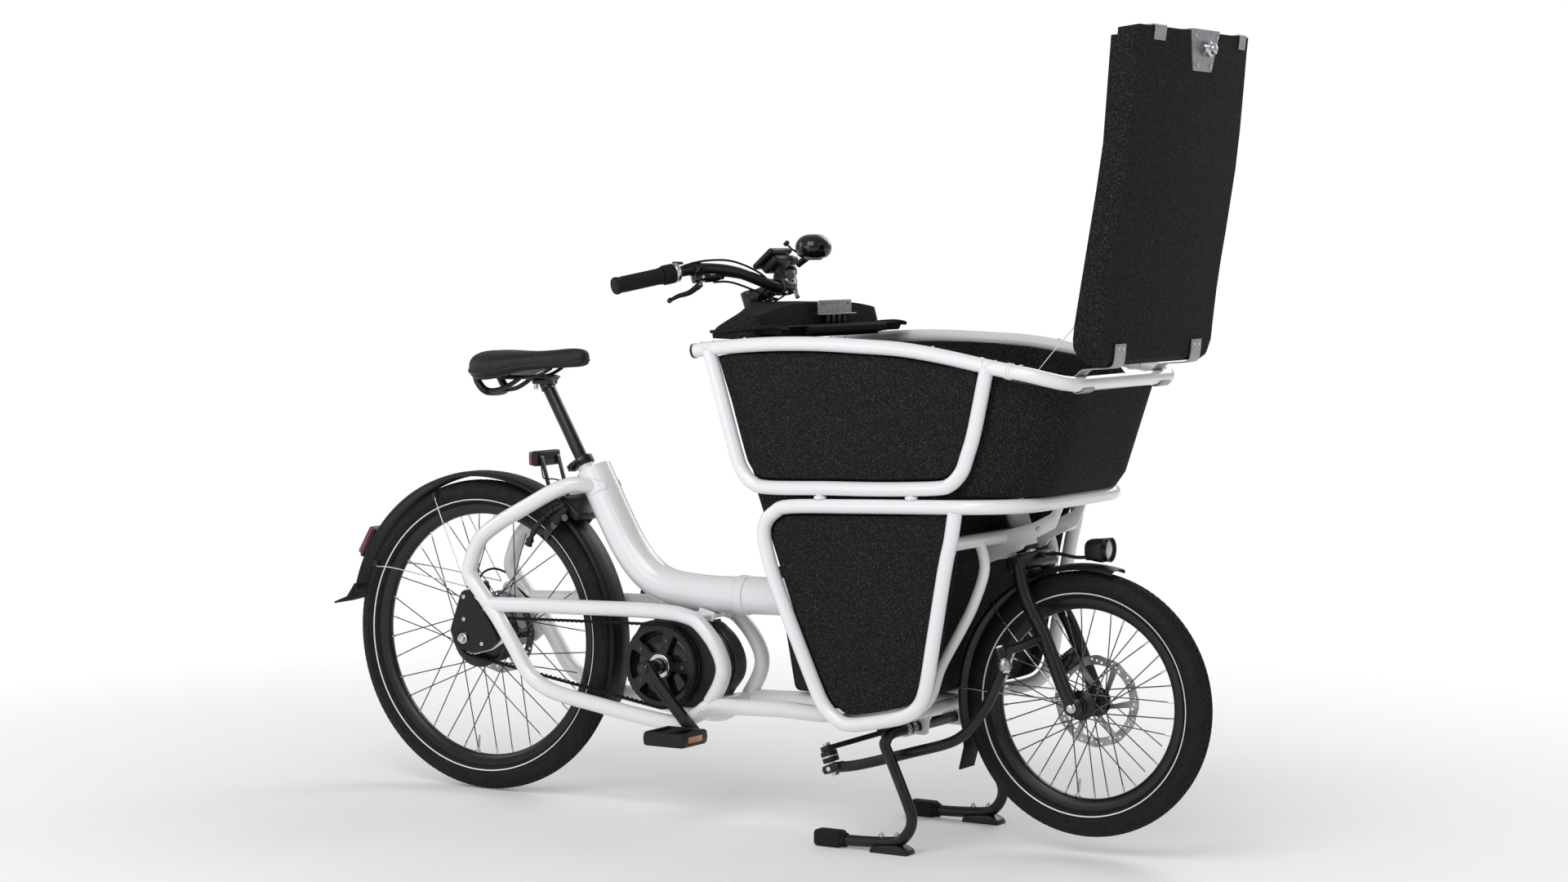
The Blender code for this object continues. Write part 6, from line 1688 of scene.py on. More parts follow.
# ------------------------------------------------------------------ steering column and rod
COLUMN_TOP = (1.046 - COLUMN_FOOT.z) / cos(TILT)
column = rod(foot_at(-0.01), foot_at(COLUMN_TOP), 0.0125, 40, bevel=0.001)
lever_plan = (arc(0.0, 0.0, 0.019, radians(-15), radians(165), 16)
              + arc(*LINK, 0.014, radians(165), radians(345), 16))
lever = plate([lever_plan, circle(LINK[0] * 0.5, LINK[1] * 0.5, 0.0072, 24)], 0.0, 0.01,
              matrix=Matrix.Translation(COLUMN_FOOT) @ basis((STEER_FWD, -STEER_UP, LEFT)),
              bevel=0.0014)
add(column, "column_shaft", "paint", "column", "steering_column")
add(lever, "column_lever", "paint", "column")
add([rod(foot_at(-0.06, *LINK), foot_at(-0.004, *LINK), 0.006, bevel=0.0006),
     rod(foot_at(-0.0005, *LINK), foot_at(0.006, *LINK), 0.0085, 6, bevel=0.0008),
     rod(foot_at(-0.061, *LINK), foot_at(-0.056, *LINK), 0.0088, 6, bevel=0.0008),
     rod(foot_at(-0.0165), foot_at(-0.0095), 0.01, 6, bevel=0.001)],
    "column_pins", "steel", "column")
JOINT_BOOT = [(0.0062, -0.033), (0.015, -0.0328), (0.0164, -0.0315), (0.0168, -0.029),
              (0.0168, -0.013), (0.016, -0.0112), (0.014, -0.0104), (0.0062, -0.0102)]
JOINT_BAND = [(0.0168, -0.0236), (0.0174, -0.023), (0.0174, -0.0204), (0.0168, -0.0198)]
add(turned_at(JOINT_BOOT, foot_at(0.0, *LINK), -TILT, 52),
    "column_joint_boot", "plastic", "column", smooth=60.0)
add(turned_at(JOINT_BAND, foot_at(0.0, *LINK), -TILT, 52),
    "column_joint_band", "steel", "column", smooth=40.0)

REAR_EYE, FRONT_EYE = foot_at(-0.045, *LINK), crown_at(-0.195, *LINK)
ROD_LINE = [        # x, z
    (REAR_EYE.x + 0.004, REAR_EYE.z + 0.001), (1.005, 0.157), (1.07, 0.175), (1.137, 0.195),
    (1.2, 0.214), (1.235, 0.231), (1.264, 0.258), (1.298, 0.309),
    (FRONT_EYE.x - 0.006, FRONT_EYE.z - 0.01)]


def eye_bore(eye):
    return rod(eye - STEER_UP * 0.05, eye + STEER_UP * 0.05, 0.009)


bar = side_tube(ROD_LINE, LINK[1], 0.0105, 24, 6)
eyes = []
for eye, radius in ((REAR_EYE, 0.014), (FRONT_EYE, 0.013)):
    cup = [(0.007, -0.0095), (radius - 0.0018, -0.0095), (radius, -0.0065),
           (radius + 0.0004, 0.0), (radius, 0.0065), (radius - 0.0018, 0.0095),
           (0.007, 0.0095)]
    eyes.append(turned_at(cup, eye, -TILT, 44, True))
add(cut(bar, eye_bore(REAR_EYE), eye_bore(FRONT_EYE)),
    "link_rod", "paint", "rod", "steering_rod", 40.0)
add(eyes, "link_rod_eyes", "rotor", "rod", smooth=40.0)
yoke = block(REAR_EYE + STEER_FWD * 0.002, (0.04, 0.034, 0.017), STEER_AXES, 0.0055, 4)
add(cut(yoke, eye_bore(REAR_EYE)), "link_rod_yoke", "paint", "rod", smooth=40.0)
EYE_NUTS = [        # direction, start, end, radius, sides, bevel
    (STEER_FWD, 0.017, 0.023, 0.0058, 6, 0.0006), (STEER_FWD, 0.017, 0.028, 0.003, 18, 0.0004),
    (LEFT, 0.016, 0.021, 0.0052, 6, 0.0006)]
add([rod(REAR_EYE - way * start, REAR_EYE - way * end, radius, sides, bevel=bevel)
     for way, start, end, radius, sides, bevel in EYE_NUTS], "link_rod_nut", "steel", "rod")

# ------------------------------------------------------------------ fork
LEG = [(1.3125, 0.56), (1.322, 0.517), (1.338, 0.479), (1.365, 0.433), (1.392, 0.372),
       (1.414, 0.322), (1.431, 0.293)]       # x, z
crown = block(crown_at(-0.0135), (0.042, 0.15, 0.033), STEER_AXES, 0.0085, 4)
legs = both(side_tube(LEG, 0.062, [0.0142] * 36 + [0.0138], 28, 6))
ends = []
for side in (-1, 1):
    near, far = sorted((side * 0.054, side * 0.07))
    ends.append(cut(y_rod(FRONT.x, FRONT.z, near, far, 0.017, 40, bevel=0.0015),
                    y_rod(FRONT.x, FRONT.z, -0.1, 0.1, 0.0056, 24)))
add([crown, legs, *ends], "fork_body", "paint", "fork", "fork", 40.0)
add(rod(crown_at(-0.01), crown_at(0.106), 0.0135, 36), "fork_steerer", "steel", "fork")
add([tube([(1.369, -0.06, 0.425), (1.348, -0.11, 0.412), crown_at(-0.17, *LINK)], 0.009, 20, 8),
     rod(crown_at(-0.16, *LINK), crown_at(-0.182, *LINK), 0.0125, 32, bevel=0.0015)],
    "fork_arm", "paint", "fork", smooth=40.0)
add([rod(crown_at(-0.208, *LINK), crown_at(-0.16, *LINK), 0.006),
     rod(crown_at(-0.209, *LINK), crown_at(-0.2045, *LINK), 0.0088, 6, bevel=0.0008),
     rod(crown_at(-0.162, *LINK), crown_at(-0.156, *LINK), 0.0085, 6, bevel=0.0008)],
    "fork_arm_pin", "steel", "fork")
# each nut: washer and hexagon as near y, far y, radius, sides, bevel
FRONT_NUT = [(0.07, 0.0735, 0.01, 28, 0.0008), (0.073, 0.08, 0.008, 6, 0.001)]
REAR_NUT = [(0.0875, 0.0905, 0.0118, 32, 0.0008), (0.09, 0.0975, 0.009, 6, 0.001)]
for tag, axle, nut, body in (("front", FRONT, FRONT_NUT, "fork"),
                             ("rear", REAR, REAR_NUT, "frame")):
    add([y_rod(axle.x, axle.z, side * near, side * far, radius, sides, bevel=bevel)
         for side in (-1, 1) for near, far, radius, sides, bevel in nut],
        tag + "_axle_nuts", "steel", body)
add([y_rod(x, z, side * 0.062, side * 0.078, 0.0058, 24, bevel=0.0006)
     for x, z in ((1.347, 0.464), (1.38, 0.4)) for side in (-1, 1)],
    "fork_bosses", "paint", "fork")

add(guard(FRONT, 0.271, 0.031, 122.0, 76.0, 80), "front_guard", "satin", "fork",
    "front_fender", 40.0)
FRONT_FLAP = [(-0.0015, 0.02), (0.0015, 0.02), (0.006, -0.02), (-0.006, -0.064),
              (-0.009, -0.062), (0.0015, -0.018)]       # x, z from the guard's end
guard_end = polar(FRONT, 0.269, 198.0)
flap = fillet([(guard_end.x + x, guard_end.z + z) for x, z in FRONT_FLAP], 0.001)
add(plate([flap], -0.03, 0.03, bevel=0.001), "front_mudflap", "rubber", "fork")
stays, tips = [], []
for side in (-1, 1):
    for deg in (136.0, 176.0):
        root = polar(FRONT, 0.264, deg, side * 0.0315)
        end = Vector((FRONT.x - 0.018, side * 0.065, FRONT.z + 0.012))
        middle = root.lerp(end, 0.3) + Vector((0, side * 0.01, 0))
        stays.append(tube([root, middle, end], 0.0016, 10, 6))
        tips.append(block(root + Vector((0, side * 0.002, 0)), (0.01, 0.005, 0.01),
                          bevel=0.0014))
add(stays, "front_guard_stays", "steel", "fork", smooth=60.0)
add(tips, "front_guard_clips", "gloss", "fork")
FRONT_BRAKE_ANGLE = 128.0
add(caliper(FRONT, FRONT_BRAKE_ANGLE, FRONT_ROTOR_Y, width=0.0148, length=0.05, bevel=0.0034),
    "front_brake_body", "gloss", "fork", "front_caliper")
add(brake_fins(FRONT, 0.1085, FRONT_BRAKE_ANGLE, FRONT_ROTOR_Y, width=0.015),
    "front_brake_fins", "steel", "fork")
add(block(polar(FRONT, 0.106, 140.0, 0.053), (0.02, 0.013, 0.02), radial_axes(140.0), 0.003),
    "front_brake_mount", "paint", "fork")

# ------------------------------------------------------------------ headlight
LAMP = Vector((1.428, 0, 0.592))
BARREL = [          # radius, x from the back of the lamp
    (0.0, 0.0), (0.011, 0.0004), (0.0158, 0.003), (0.018, 0.008), (0.0196, 0.018),
    (0.0212, 0.03), (0.0226, 0.042), (0.0238, 0.05), (0.024, 0.052), (0.0222, 0.052),
    (0.0214, 0.048), (0.0214, 0.044)]
add(turned(BARREL, LAMP, 56, axis="X"), "lamp_barrel", "gloss", "fork", "headlight", 40.0)
HOOD_RING = ((-1, -0.6), (-0.6, -1), (0.6, -1), (1, -0.6), (1, 0.6), (0.6, 1), (-0.6, 1),
             (-1, 0.6))
HOOD_STATIONS = [   # x, half width, half height
    (1.429, 0.013, 0.012), (1.433, 0.0185, 0.0175), (1.45, 0.022, 0.0215),
    (1.466, 0.0235, 0.0228), (1.47, 0.0225, 0.022)]
hood = loft([[(x, y * wide, 0.5905 + z * tall) for y, z in HOOD_RING]
             for x, wide, tall in HOOD_STATIONS])
add(rounded(hood, 0.003, 3, 20.0), "lamp_hood", "plastic", "fork", smooth=50.0)
add([turned([(r + 0.0008, -0.0012), (r + 0.0016, 0.0), (r + 0.0008, 0.0012), (r - 0.001, 0.0)],
            LAMP + Vector((x, 0, 0)), 56, True, axis="X")
     for r, x in ((0.0182, 0.01), (0.019, 0.015), (0.0198, 0.02))],
    "lamp_fins", "gloss", "fork", smooth=30.0)
GLASS = [(0.0, 0.0498), (0.008, 0.0494), (0.015, 0.048), (0.0205, 0.0452), (0.0214, 0.044),
         (0.0, 0.044)]
add(turned(GLASS, LAMP, 56, axis="X"), "lamp_glass", "lens", "fork", smooth=50.0)
add([side_tube([(1.333, 0.574), (1.365, 0.579), (1.405, 0.574), (1.435, 0.576)],
               0.0, 0.0035, 14, 6),
     block((1.438, 0, 0.574), (0.018, 0.016, 0.008)),
     block((1.336, 0, 0.576), (0.016, 0.022, 0.01))], "lamp_bracket", "paint", "fork")

# ------------------------------------------------------------------ handlebar and stem
BAR_HALF = [(0.56, -0.33, 1.093), (0.632, -0.2, 1.121), (0.66, -0.15, 1.126),
            (0.7, -0.1, 1.118), (0.745, -0.034, 1.09)]      # right end to the middle
add(tube(BAR_HALF + [(0.747, 0.0, 1.089)] + mirrored(BAR_HALF), 0.0111, 28, 8),
    "bar_tube", "paint", "column", "handlebar", 50.0)
STEM_BASE = foot_at(COLUMN_TOP + 0.0005)
BAR_CLAMP = (0.745, 1.09)       # x, z
neck = smooth_line([STEM_BASE + STEER_UP * 0.018, (0.702, 0, 1.076), (0.73, 0, 1.086),
                    (0.745, 0, 1.09)], 8)
add([
    rod(STEM_BASE, STEM_BASE + STEER_UP * 0.034, 0.0165, 44, bevel=0.0022),
    sweep(neck, [0.015 - 0.0012 * sin(pi * i / (len(neck) - 1)) for i in range(len(neck))], 28),
    cut(y_rod(*BAR_CLAMP, -0.021, 0.021, 0.019, 44, bevel=0.0016),
        y_rod(*BAR_CLAMP, -0.05, 0.05, 0.0118, 36)),
], "stem_body", "paint", "column", "stem", 40.0)
back = Vector((-0.86, 0, -0.3)).normalized() * 0.015
bolts = [screw(STEM_BASE + STEER_UP * along + back, (-1, 0, -0.35), 0.0036, 0.0034)
         for along in (0.01, 0.024)]
bolts += [screw((0.7605, y, 1.09 + z), (1, 0, 0.1), 0.0034, 0.0034)
          for y in (-0.014, 0.014) for z in (-0.0125, 0.0125)]
add(bolts, "stem_bolts", "steel", "column")
spacers = []
for k in range(2):
    along = COLUMN_TOP - 0.0005 - 0.012 * (k + 1)
    spacers.append(rod(foot_at(along), foot_at(along + 0.0105), 0.0168, 44, bevel=0.0012))
add(spacers, "stem_spacers", "paint", "column")

# ------------------------------------------------------------------ grips and shifter
GRIP_IN, GRIP_OUT = Vector(BAR_HALF[1]), Vector(BAR_HALF[0])
GRIP_LENGTH = (GRIP_OUT - GRIP_IN).length
GRIP_DIR = (GRIP_OUT - GRIP_IN).normalized()


def along_grip(profile, start):
    """A shape turned about the right grip; profile of (radius, distance from GRIP_IN + start)."""
    shape = turned(profile, (0, 0, 0), 48, axis="Z")
    shape.data.transform(Matrix.Translation(GRIP_IN + GRIP_DIR * start)
                         @ GRIP_DIR.to_track_quat("Z", "Y").to_matrix().to_4x4())
    return shape


def grip(length):
    """Profile of a ribbed grip, flared at both ends."""
    profile = [(0.0119, 0.0), (0.015, 0.0), (0.0168, 0.001), (0.0172, 0.003), (0.0168, 0.005),
               (0.0156, 0.0062)]
    along = 0.0075
    while along < length - 0.016:
        profile += [(0.0156, along), (0.0163, along + 0.0008), (0.0163, along + 0.0024),
                    (0.0156, along + 0.0032)]
        along += 0.0046
    return profile + [
        (0.0158, length - 0.012), (0.0166, length - 0.01), (0.0174, length - 0.006),
        (0.0174, length - 0.002), (0.016, length), (0.0, length)]


add(along_grip(grip(GRIP_LENGTH - 0.045), 0.047),
    "grip_sleeve_right", "rubber", "column", "grip_right")
source = along_grip(grip(GRIP_LENGTH - 0.01), 0.012)
add(flipped(source), "grip_sleeve_left", "rubber", "column", "grip_left")
bpy.data.objects.remove(source, do_unlink=True)
RING = [(0.0119, 0.0), (0.0185, 0.0), (0.0196, 0.0012), (0.0198, 0.007), (0.019, 0.009),
        (0.0186, 0.01), (0.0119, 0.01)]
TWIST = [(0.0119, 0.0206), (0.018, 0.0206), (0.0188, 0.0216), (0.0188, 0.0436),
         (0.0178, 0.0448), (0.0119, 0.0448)]
ring = along_grip(RING, 0.01)
across = GRIP_DIR.orthogonal().normalized()
over = GRIP_DIR.cross(across)
knurl = []
for k in range(24):
    out = across * cos(tau * k / 24) + over * sin(tau * k / 24)
    knurl.append(block(GRIP_IN + GRIP_DIR * 0.0325 + out * 0.0186, (0.0022, 0.0026, 0.022),
                       (out, GRIP_DIR.cross(out), GRIP_DIR), 0.0007, 1))
# the twist sleeve starts beside the silver ring, which stays on the bar
add([along_grip(TWIST, 0.0), *knurl], "shift_sleeve", "rubber", "shifter", "twist_shifter")
add(ring, "shift_ring", "steel", "column")
add(block(GRIP_IN + GRIP_DIR * 0.006 + Vector((-0.004, 0, 0.0175)), (0.018, 0.016, 0.006)),
    "shift_window", "gloss", "column")

# ------------------------------------------------------------------ brake levers
# built for the right side and mirrored for the left
BAR_BEND = Vector(BAR_HALF[2])
CLAMP = BAR_BEND.lerp(GRIP_IN, 0.45)
BAR_DIR = (GRIP_IN - BAR_BEND).normalized()
reach = Vector((0.46, 0.0, -0.888)).normalized()
LEVER_OUT = (reach - BAR_DIR * reach.dot(BAR_DIR)).normalized()
LEVER_AXIS = BAR_DIR.cross(LEVER_OUT).normalized()
PIVOT = CLAMP + LEVER_OUT * 0.034 + BAR_DIR * 0.004
TIP = Vector((0.632, -0.244, 1.064))


def by_clamp(out, along):
    """A point beside the lever clamp, out from the bar and along it."""
    return CLAMP + LEVER_OUT * out - BAR_DIR * along


line = smooth_line([by_clamp(0.02, 0.016), by_clamp(0.0215, 0.03), by_clamp(0.021, 0.046)], 6)
mount = merge(
    cut(rod(by_clamp(0, 0.009), by_clamp(0, -0.009), 0.0165, 44, bevel=0.0014),
        rod(by_clamp(0, 0.05), by_clamp(0, -0.05), 0.0113, 36)),
    block(by_clamp(0.0195, 0.006), (0.038, 0.013, 0.019), (BAR_DIR, LEVER_OUT, LEVER_AXIS),
          0.0035),
    sweep(line, [0.0088 - 0.0028 * i / (len(line) - 1) for i in range(len(line))], 22),
    rod(by_clamp(0.021, 0.044), by_clamp(0.021, 0.056), 0.0052, 6, bevel=0.0006))
mount_bolts = merge(
    screw(CLAMP - LEVER_OUT * 0.016, -LEVER_OUT, 0.003, 0.003),
    screw(by_clamp(0.02, 0.006) + LEVER_AXIS * 0.009, LEVER_AXIS, 0.0034, 0.002))
line = smooth_line([PIVOT, PIVOT.lerp(TIP, 0.35) + LEVER_OUT * 0.004, PIVOT.lerp(TIP, 0.7),
                    PIVOT.lerp(TIP, 0.93), TIP], 8)
radii = [0.0064 - 0.0026 * min(1.0, 1.4 * i / (len(line) - 1)) for i in range(len(line))]
radii[-1] = 0.0046
lever = merge(
    rod(PIVOT - LEVER_AXIS * 0.0065, PIVOT + LEVER_AXIS * 0.0065, 0.0068, 32, bevel=0.001),
    sweep(line, radii, 18),
    rod(TIP - LEVER_AXIS * 0.0042, TIP + LEVER_AXIS * 0.0042, 0.005, 24, bevel=0.001))
pin = rod(PIVOT - LEVER_AXIS * 0.0078, PIVOT + LEVER_AXIS * 0.0078, 0.0026, 16)
for tag, copy in (("left", flipped), ("right", lambda obj: obj)):
    add(copy(mount), "lever_mount_" + tag, "gloss", "column", "brake_mount_" + tag, 40.0)
    add(copy(mount_bolts), "lever_mount_bolts_" + tag, "steel", "column")
    add(copy(lever), "lever_blade_" + tag, "paint", "brake_" + tag, "brake_lever_" + tag, 45.0)
    add(copy(pin), "lever_pin_" + tag, "steel", "brake_" + tag)

# ------------------------------------------------------------------ display, bell and cables
SCREEN = Vector((0.72, 0, 1.145))
FACE = Vector((-0.66, 0, 0.75)).normalized()
FACE_ALONG = FACE.cross(LEFT) * -1
screen_axes = (FACE_ALONG, LEFT, FACE)
case = [block(SCREEN, (0.058, 0.082, 0.0125), screen_axes, 0.0055, 4),
        block(Vector((0.725, 0, 1.139)) - FACE * 0.006, (0.044, 0.06, 0.022), screen_axes,
              0.008, 4)]
glass = block(SCREEN + FACE * 0.006, (0.046, 0.07, 0.0012), screen_axes, 0.0005, 1)
case += [rod((0.729, 0, 1.136), (0.742, 0, 1.106), 0.013, 36, 0.0115, 0.002),
         block((0.743, 0.0, 1.1075), (0.026, 0.03, 0.012), bevel=0.003)]
add(case, "display_case", "plastic", "column", "display", 40.0)
add(glass, "display_glass", "gloss", "column")
add([block(Vector((0.72, y, 1.145)) + FACE * 0.0066 - FACE_ALONG * 0.0215,
           (0.005, 0.012, 0.0016), screen_axes, 0.0006, 1) for y in (-0.022, 0.0, 0.022)],
    "display_buttons", "rubber", "column")
BELL = Vector((0.757, 0.1, 1.15))
DOME = [            # radius, z from the bell's middle
    (0.0, 0.0446), (0.007, 0.0444), (0.014, 0.0435), (0.0208, 0.0414), (0.0268, 0.038),
    (0.0316, 0.0332), (0.035, 0.0275), (0.0368, 0.0215), (0.0372, 0.016), (0.0366, 0.01),
    (0.0346, 0.0046), (0.031, 0.0002), (0.0262, -0.003), (0.0212, -0.0046),
    (0.0206, -0.004), (0.0, -0.004)]
BELL_FOOT = [(0.0, -0.003), (0.019, -0.003), (0.019, -0.006), (0.015, -0.008), (0.0, -0.008)]
add(turned(DOME, BELL, 72, axis="Z"), "bell_dome", "gloss", "column", "bell", 50.0)
add([rod((0.75, 0.1, 1.152), (0.72, 0.099, 1.132), 0.007),
     turned(BELL_FOOT, BELL, 44, axis="Z"),
     cut(rod((0.708, 0.09, 1.1165), (0.699, 0.105, 1.12), 0.0138, 36, bevel=0.001),
         rod((0.72, 0.07, 1.112), (0.69, 0.12, 1.123), 0.0112))],
    "bell_base", "plastic", "column")
add([tube([(0.735, 0.08, 1.156), (0.724, 0.07, 1.164), (0.716, 0.064, 1.174)], 0.0022, 12, 5),
     rod((0.717, 0.065, 1.173), (0.713, 0.061, 1.179), 0.0065, bevel=0.0018)],
    "bell_striker", "gloss", "column")

hose_start = [by_clamp(0.021, 0.054), CLAMP + Vector((0.04, 0.05, -0.012)),
              CLAMP + Vector((0.072, 0.096, -0.02))]
BAR_HOSES = [       # points, radius, sides
    (hose_start + [(0.735, -0.02, 1.1), (0.7, -0.016, 1.072), (0.69, -0.016, 1.056)],
     0.0024, 12),
    ([by_clamp(0.03, 0.03), CLAMP + Vector((0.055, 0.052, -0.026)), (0.745, -0.045, 1.068),
      (0.735, -0.012, 1.064), (0.705, -0.022, 1.056)], 0.0022, 12),
    ([on_side(point, -1) for point in hose_start]
     + [(0.735, 0.024, 1.1), (0.702, 0.018, 1.074), (0.692, 0.016, 1.056)], 0.0024, 12),
    ([(0.73, 0.01, 1.118), (0.748, 0.03, 1.102), (0.74, 0.03, 1.078), (0.71, 0.02, 1.056)],
     0.0018, 10),
    ([GRIP_IN + GRIP_DIR * 0.006 + Vector((0.01, 0, 0.012)), (0.665, -0.165, 1.142),
      (0.7, -0.115, 1.14), (0.735, -0.06, 1.112), (0.74, -0.03, 1.075), (0.715, -0.024, 1.056)],
     0.0022, 12)]
add([tube(*hose, 7) for hose in BAR_HOSES], "bar_hoses", "rubber", "column", smooth=70.0)
add([block((0.684, 0.128, 1.14), (0.026, 0.03, 0.018), bevel=0.005),
     rod((0.684, 0.122, 1.148), (0.684, 0.122, 1.151), 0.0042, 20, bevel=0.0008),
     rod((0.684, 0.134, 1.148), (0.684, 0.134, 1.151), 0.0042, 20, bevel=0.0008),
     rod((0.684, 0.128, 1.133), (0.682, 0.126, 1.123), 0.007, 20)],
    "bar_switch", "plastic", "column")

# hoses along the frame; they start from the right-hand front brake's plane, y = 0.04
HOSE_Y = FRONT_ROTOR_Y
FRAME_HOSES = [     # points, radius, sides
    ([(-0.056, HOSE_Y + 0.008, 0.436), (-0.058, HOSE_Y + 0.012, 0.45),
      (-0.045, HOSE_Y + 0.016, 0.464), (-0.02, HOSE_Y + 0.02, 0.469), (0.012, 0.066, 0.456),
      (0.042, 0.06, 0.428), (0.08, 0.056, 0.406), (0.16, 0.0545, 0.393), (0.32, 0.0545, 0.396),
      (0.42, 0.05, 0.401), (0.46, 0.04, 0.404)], 0.0024, 12),
    ([(0.16, 0.06, 0.39), (0.26, 0.06, 0.3945), (0.38, 0.058, 0.399), (0.47, 0.046, 0.404)],
     0.0018, 10),
    ([(0.638, 0.093, 0.228), (0.7, 0.1, 0.224), (0.82, 0.1, 0.226), (0.92, 0.098, 0.226),
      (0.99, 0.09, 0.24)], 0.0028, 12)]
add([tube(*hose, 7) for hose in FRAME_HOSES], "frame_hoses", "rubber", smooth=70.0)

# ------------------------------------------------------------------ kickstand
STAND_Y = 0.19
STAND_LEG = [       # x, z from the rear end of the foot up to the pivot
    (0.942, 0.015), (1.022, 0.016), (1.075, 0.0185), (1.12, 0.024), (1.143, 0.043),
    (1.151, 0.069), (1.142, 0.099), (1.107, 0.176), (1.0915, 0.208)]
leg = [(x, -STAND_Y, z) for x, z in STAND_LEG]
leg += [(1.093, -STAND_Y + 0.0015, 0.218), (1.0965, -STAND_Y + 0.006, 0.2275),
        (1.1, -STAND_Y + 0.02, 0.232)]
leg = smooth_line(leg, 5)
bridge = [(1.1, y, 0.232) for y in (-0.08, 0.0, 0.08)]
FOOT_PAD = fillet([(1.066, 0.0), (1.15, 0.0), (1.146, 0.01), (1.128, 0.018), (1.08, 0.014),
                   (1.068, 0.009)], 0.003)
parts = [sweep(leg + bridge + mirrored(leg), 0.011, 26)]
parts += [side_plate([FOOT_PAD], side, STAND_Y - 0.017, STAND_Y + 0.017, bevel=0.002, segments=3)
          for side in (-1, 1)]
add(parts, "stand_tubes", "paint", "stand", "kickstand", 45.0)
BOOT_COLLAR = [(0.0112, 0.0), (0.014, 0.0), (0.0146, 0.003), (0.014, 0.008), (0.0112, 0.0084)]
for side, tag in SIDES:
    y = side * STAND_Y
    add([block((0.969, y, 0.017), (0.062, 0.035, 0.033), bevel=0.0085, segments=5),
         turned(BOOT_COLLAR, (0.998, y, 0.0158), 40, axis="X")],
        "boot_" + tag, "rubber", "stand", "stand_boot_" + tag, 40.0)
    bolts = []
    for x, z in ((1.084, 0.0145), (1.118, 0.0175)):
        bolts.append(rod((x, y, z + 0.006), (x, y, z + 0.024), 0.0028, 16))
        bolts.append(rod((x, y, z + 0.015), (x, y, z + 0.0205), 0.0056, 6, bevel=0.0006))
    add(bolts, "stand_bolts_" + tag, "steel", "stand")
COIL_TURNS = 15
coil = []
for i in range(240):
    x, z = on_circle(*STAND_PIVOT, 0.0138, tau * COIL_TURNS * (i / 239))
    coil.append((x, 0.1 + 0.058 * (i / 239), z))
add(sweep(coil, 0.0015, 8), "stand_spring", "steel", "stand", smooth=70.0)
STAND_CLAMP = [(0.011, -0.006), (0.014, -0.006), (0.0148, -0.0045), (0.0148, 0.0045),
               (0.014, 0.006), (0.011, 0.006)]
clamps = [turned(STAND_CLAMP, (1.1, y, 0.232), 44) for y in (-0.104, -0.128)]
clamps.append(block((1.1, -0.116, 0.248), (0.012, 0.03, 0.006), bevel=0.0015))
add(clamps, "stand_clamps", "steel", "stand", smooth=40.0)

# ------------------------------------------------------------------ stage and camera
BACKDROP = (0.985, 0.99, 1.0, 1)
BACKDROP_STRENGTH = 1.02


def make_world():
    world = bpy.data.worlds.new("studio")
    bpy.context.scene.world = world
    world.use_nodes = True
    tree = world.node_tree
    back = tree.nodes["Background"]
    back.inputs["Color"].default_value = BACKDROP
    # the backdrop is seen white, while the light it gives is softer
    seen = tree.nodes.new("ShaderNodeLightPath")
    level = tree.nodes.new("ShaderNodeMapRange")
    level.inputs["To Min"].default_value = 0.42
    level.inputs["To Max"].default_value = BACKDROP_STRENGTH
    tree.links.new(seen.outputs["Is Camera Ray"], level.inputs["Value"])
    tree.links.new(level.outputs["Result"], back.inputs["Strength"])
    bpy.context.scene.view_settings.view_transform = "Standard"


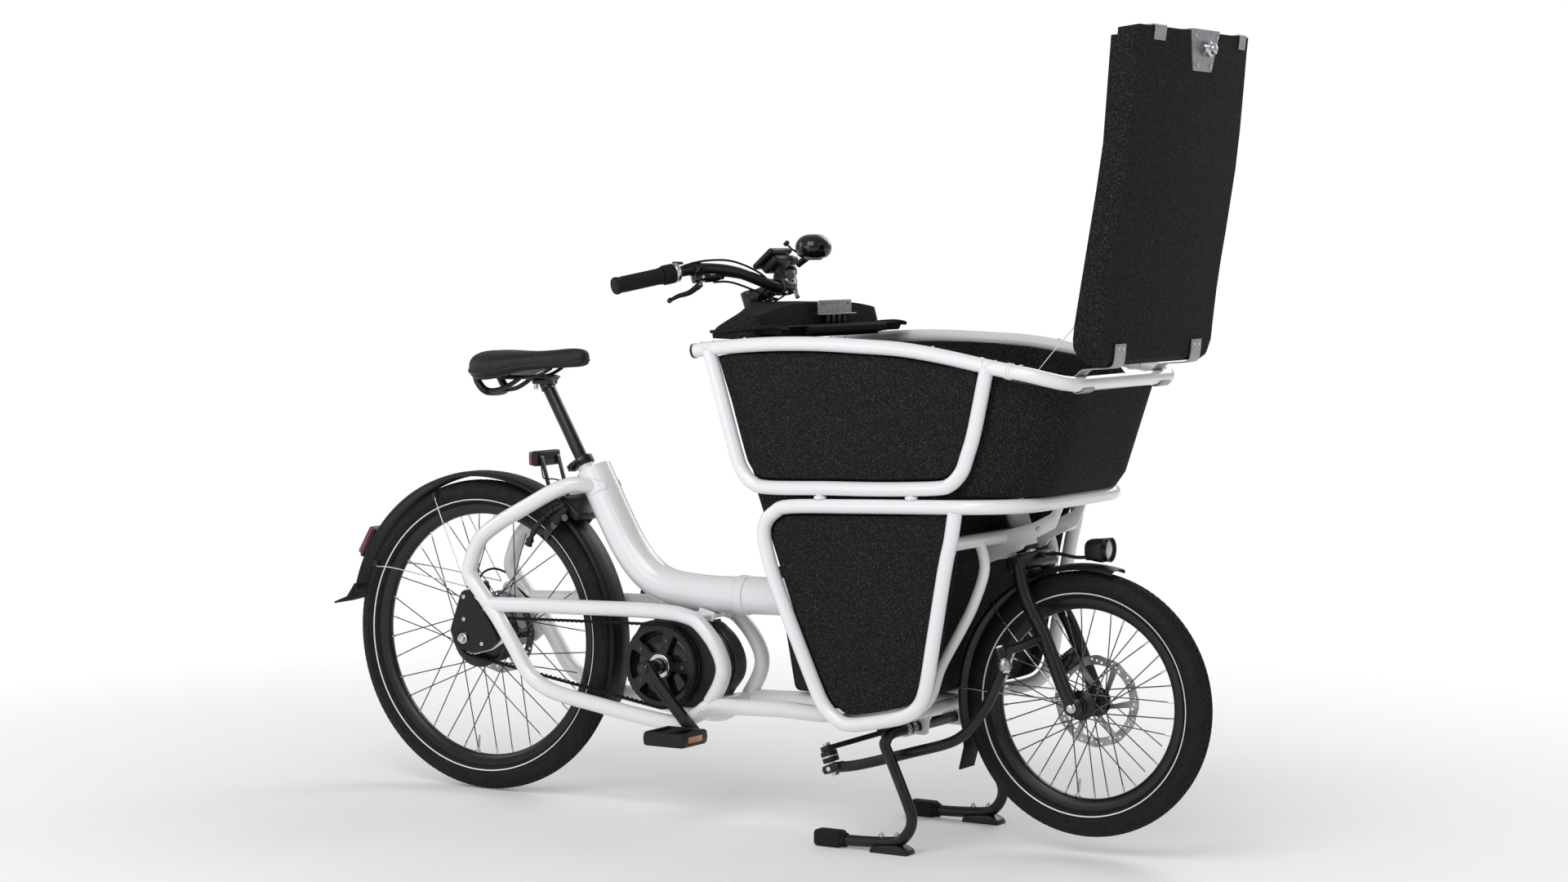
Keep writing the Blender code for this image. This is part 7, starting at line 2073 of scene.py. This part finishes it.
def make_floor():
    mesh = bpy.data.meshes.new("floor")
    mesh.from_pydata([(-20, -20, 0), (20, -20, 0), (20, 20, 0), (-20, 20, 0)], [],
                     [(0, 1, 2, 3)])
    floor = bpy.data.objects.new("floor", mesh)
    bpy.context.scene.collection.objects.link(floor)
    look = Surface("pale_floor", (0.86, 0.86, 0.86), rough=0.6)
    look.mottle(scale=1.4, detail=5, dark=(0.86, 0.86, 0.865), light=(0.9, 0.9, 0.902))
    look.grain(scale=180, detail=3, strength=0.04, distance=0.0006)
    # the floor fades into the backdrop with distance, so no horizon shows
    glow = look.new("ShaderNodeEmission", Color=BACKDROP, Strength=BACKDROP_STRENGTH)
    mix = look.new("ShaderNodeMixShader")
    distance = look.new("ShaderNodeVectorMath")
    distance.operation = "LENGTH"
    look.link(look.where, distance.inputs[0])
    fade = look.span(distance.outputs["Value"], from_min=0.9, from_max=2.8,
                     to_min=0.1, to_max=1.0)
    look.link(fade, mix.inputs[0])
    look.link(look.shader.outputs[0], mix.inputs[1])
    look.link(glow.outputs[0], mix.inputs[2])
    look.link(mix.outputs[0], look.tree.nodes["Material Output"].inputs["Surface"])
    mesh.materials.append(look.material)
    return floor


def make_light(name, place, target, size, size_y, power):
    data = bpy.data.lights.new(name, "AREA")
    data.shape = "RECTANGLE"
    data.size = size
    data.size_y = size_y
    data.energy = power
    light = bpy.data.objects.new(name, data)
    light.location = place
    aim = Vector(target) - Vector(place)
    light.rotation_euler = aim.to_track_quat("-Z", "Y").to_euler()
    bpy.context.scene.collection.objects.link(light)
    return light


LIGHTS = [          # name, place, target, width, height, watts
    ("key_light", (0.6, -3.6, 4.2), (0.1, 0, 0.6), 3.0, 3.0, 104),
    ("front_light", (4.6, -0.8, 2.6), (0.2, 0, 0.7), 2.2, 2.2, 16),
    ("rear_light", (-3.6, -1.6, 2.4), (-0.2, 0, 0.5), 2.0, 2.0, 28),
    ("back_light", (0.4, 3.6, 3.0), (0.0, 0, 0.7), 2.6, 2.6, 60),
    ("side_light", (-0.8, -4.6, 1.7), (0.2, 0, 0.8), 3.0, 2.0, 36)]
# a loaded scene that already has a floor keeps its own stage
if "floor" not in bpy.data.objects:
    make_world()
    make_floor()
    [make_light(*row) for row in LIGHTS]

data = bpy.data.cameras.new("photo_camera")
data.lens = 73.95
data.sensor_width = 36.0
data.clip_end = 60.0
camera = bpy.data.objects.new("photo_camera", data)
camera.location = (3.4849, -5.568, 1.1959)
camera.rotation_euler = (radians(90 - 3.685), 0, radians(31.285))   # looking slightly down
bpy.context.scene.collection.objects.link(camera)
bpy.context.scene.camera = camera

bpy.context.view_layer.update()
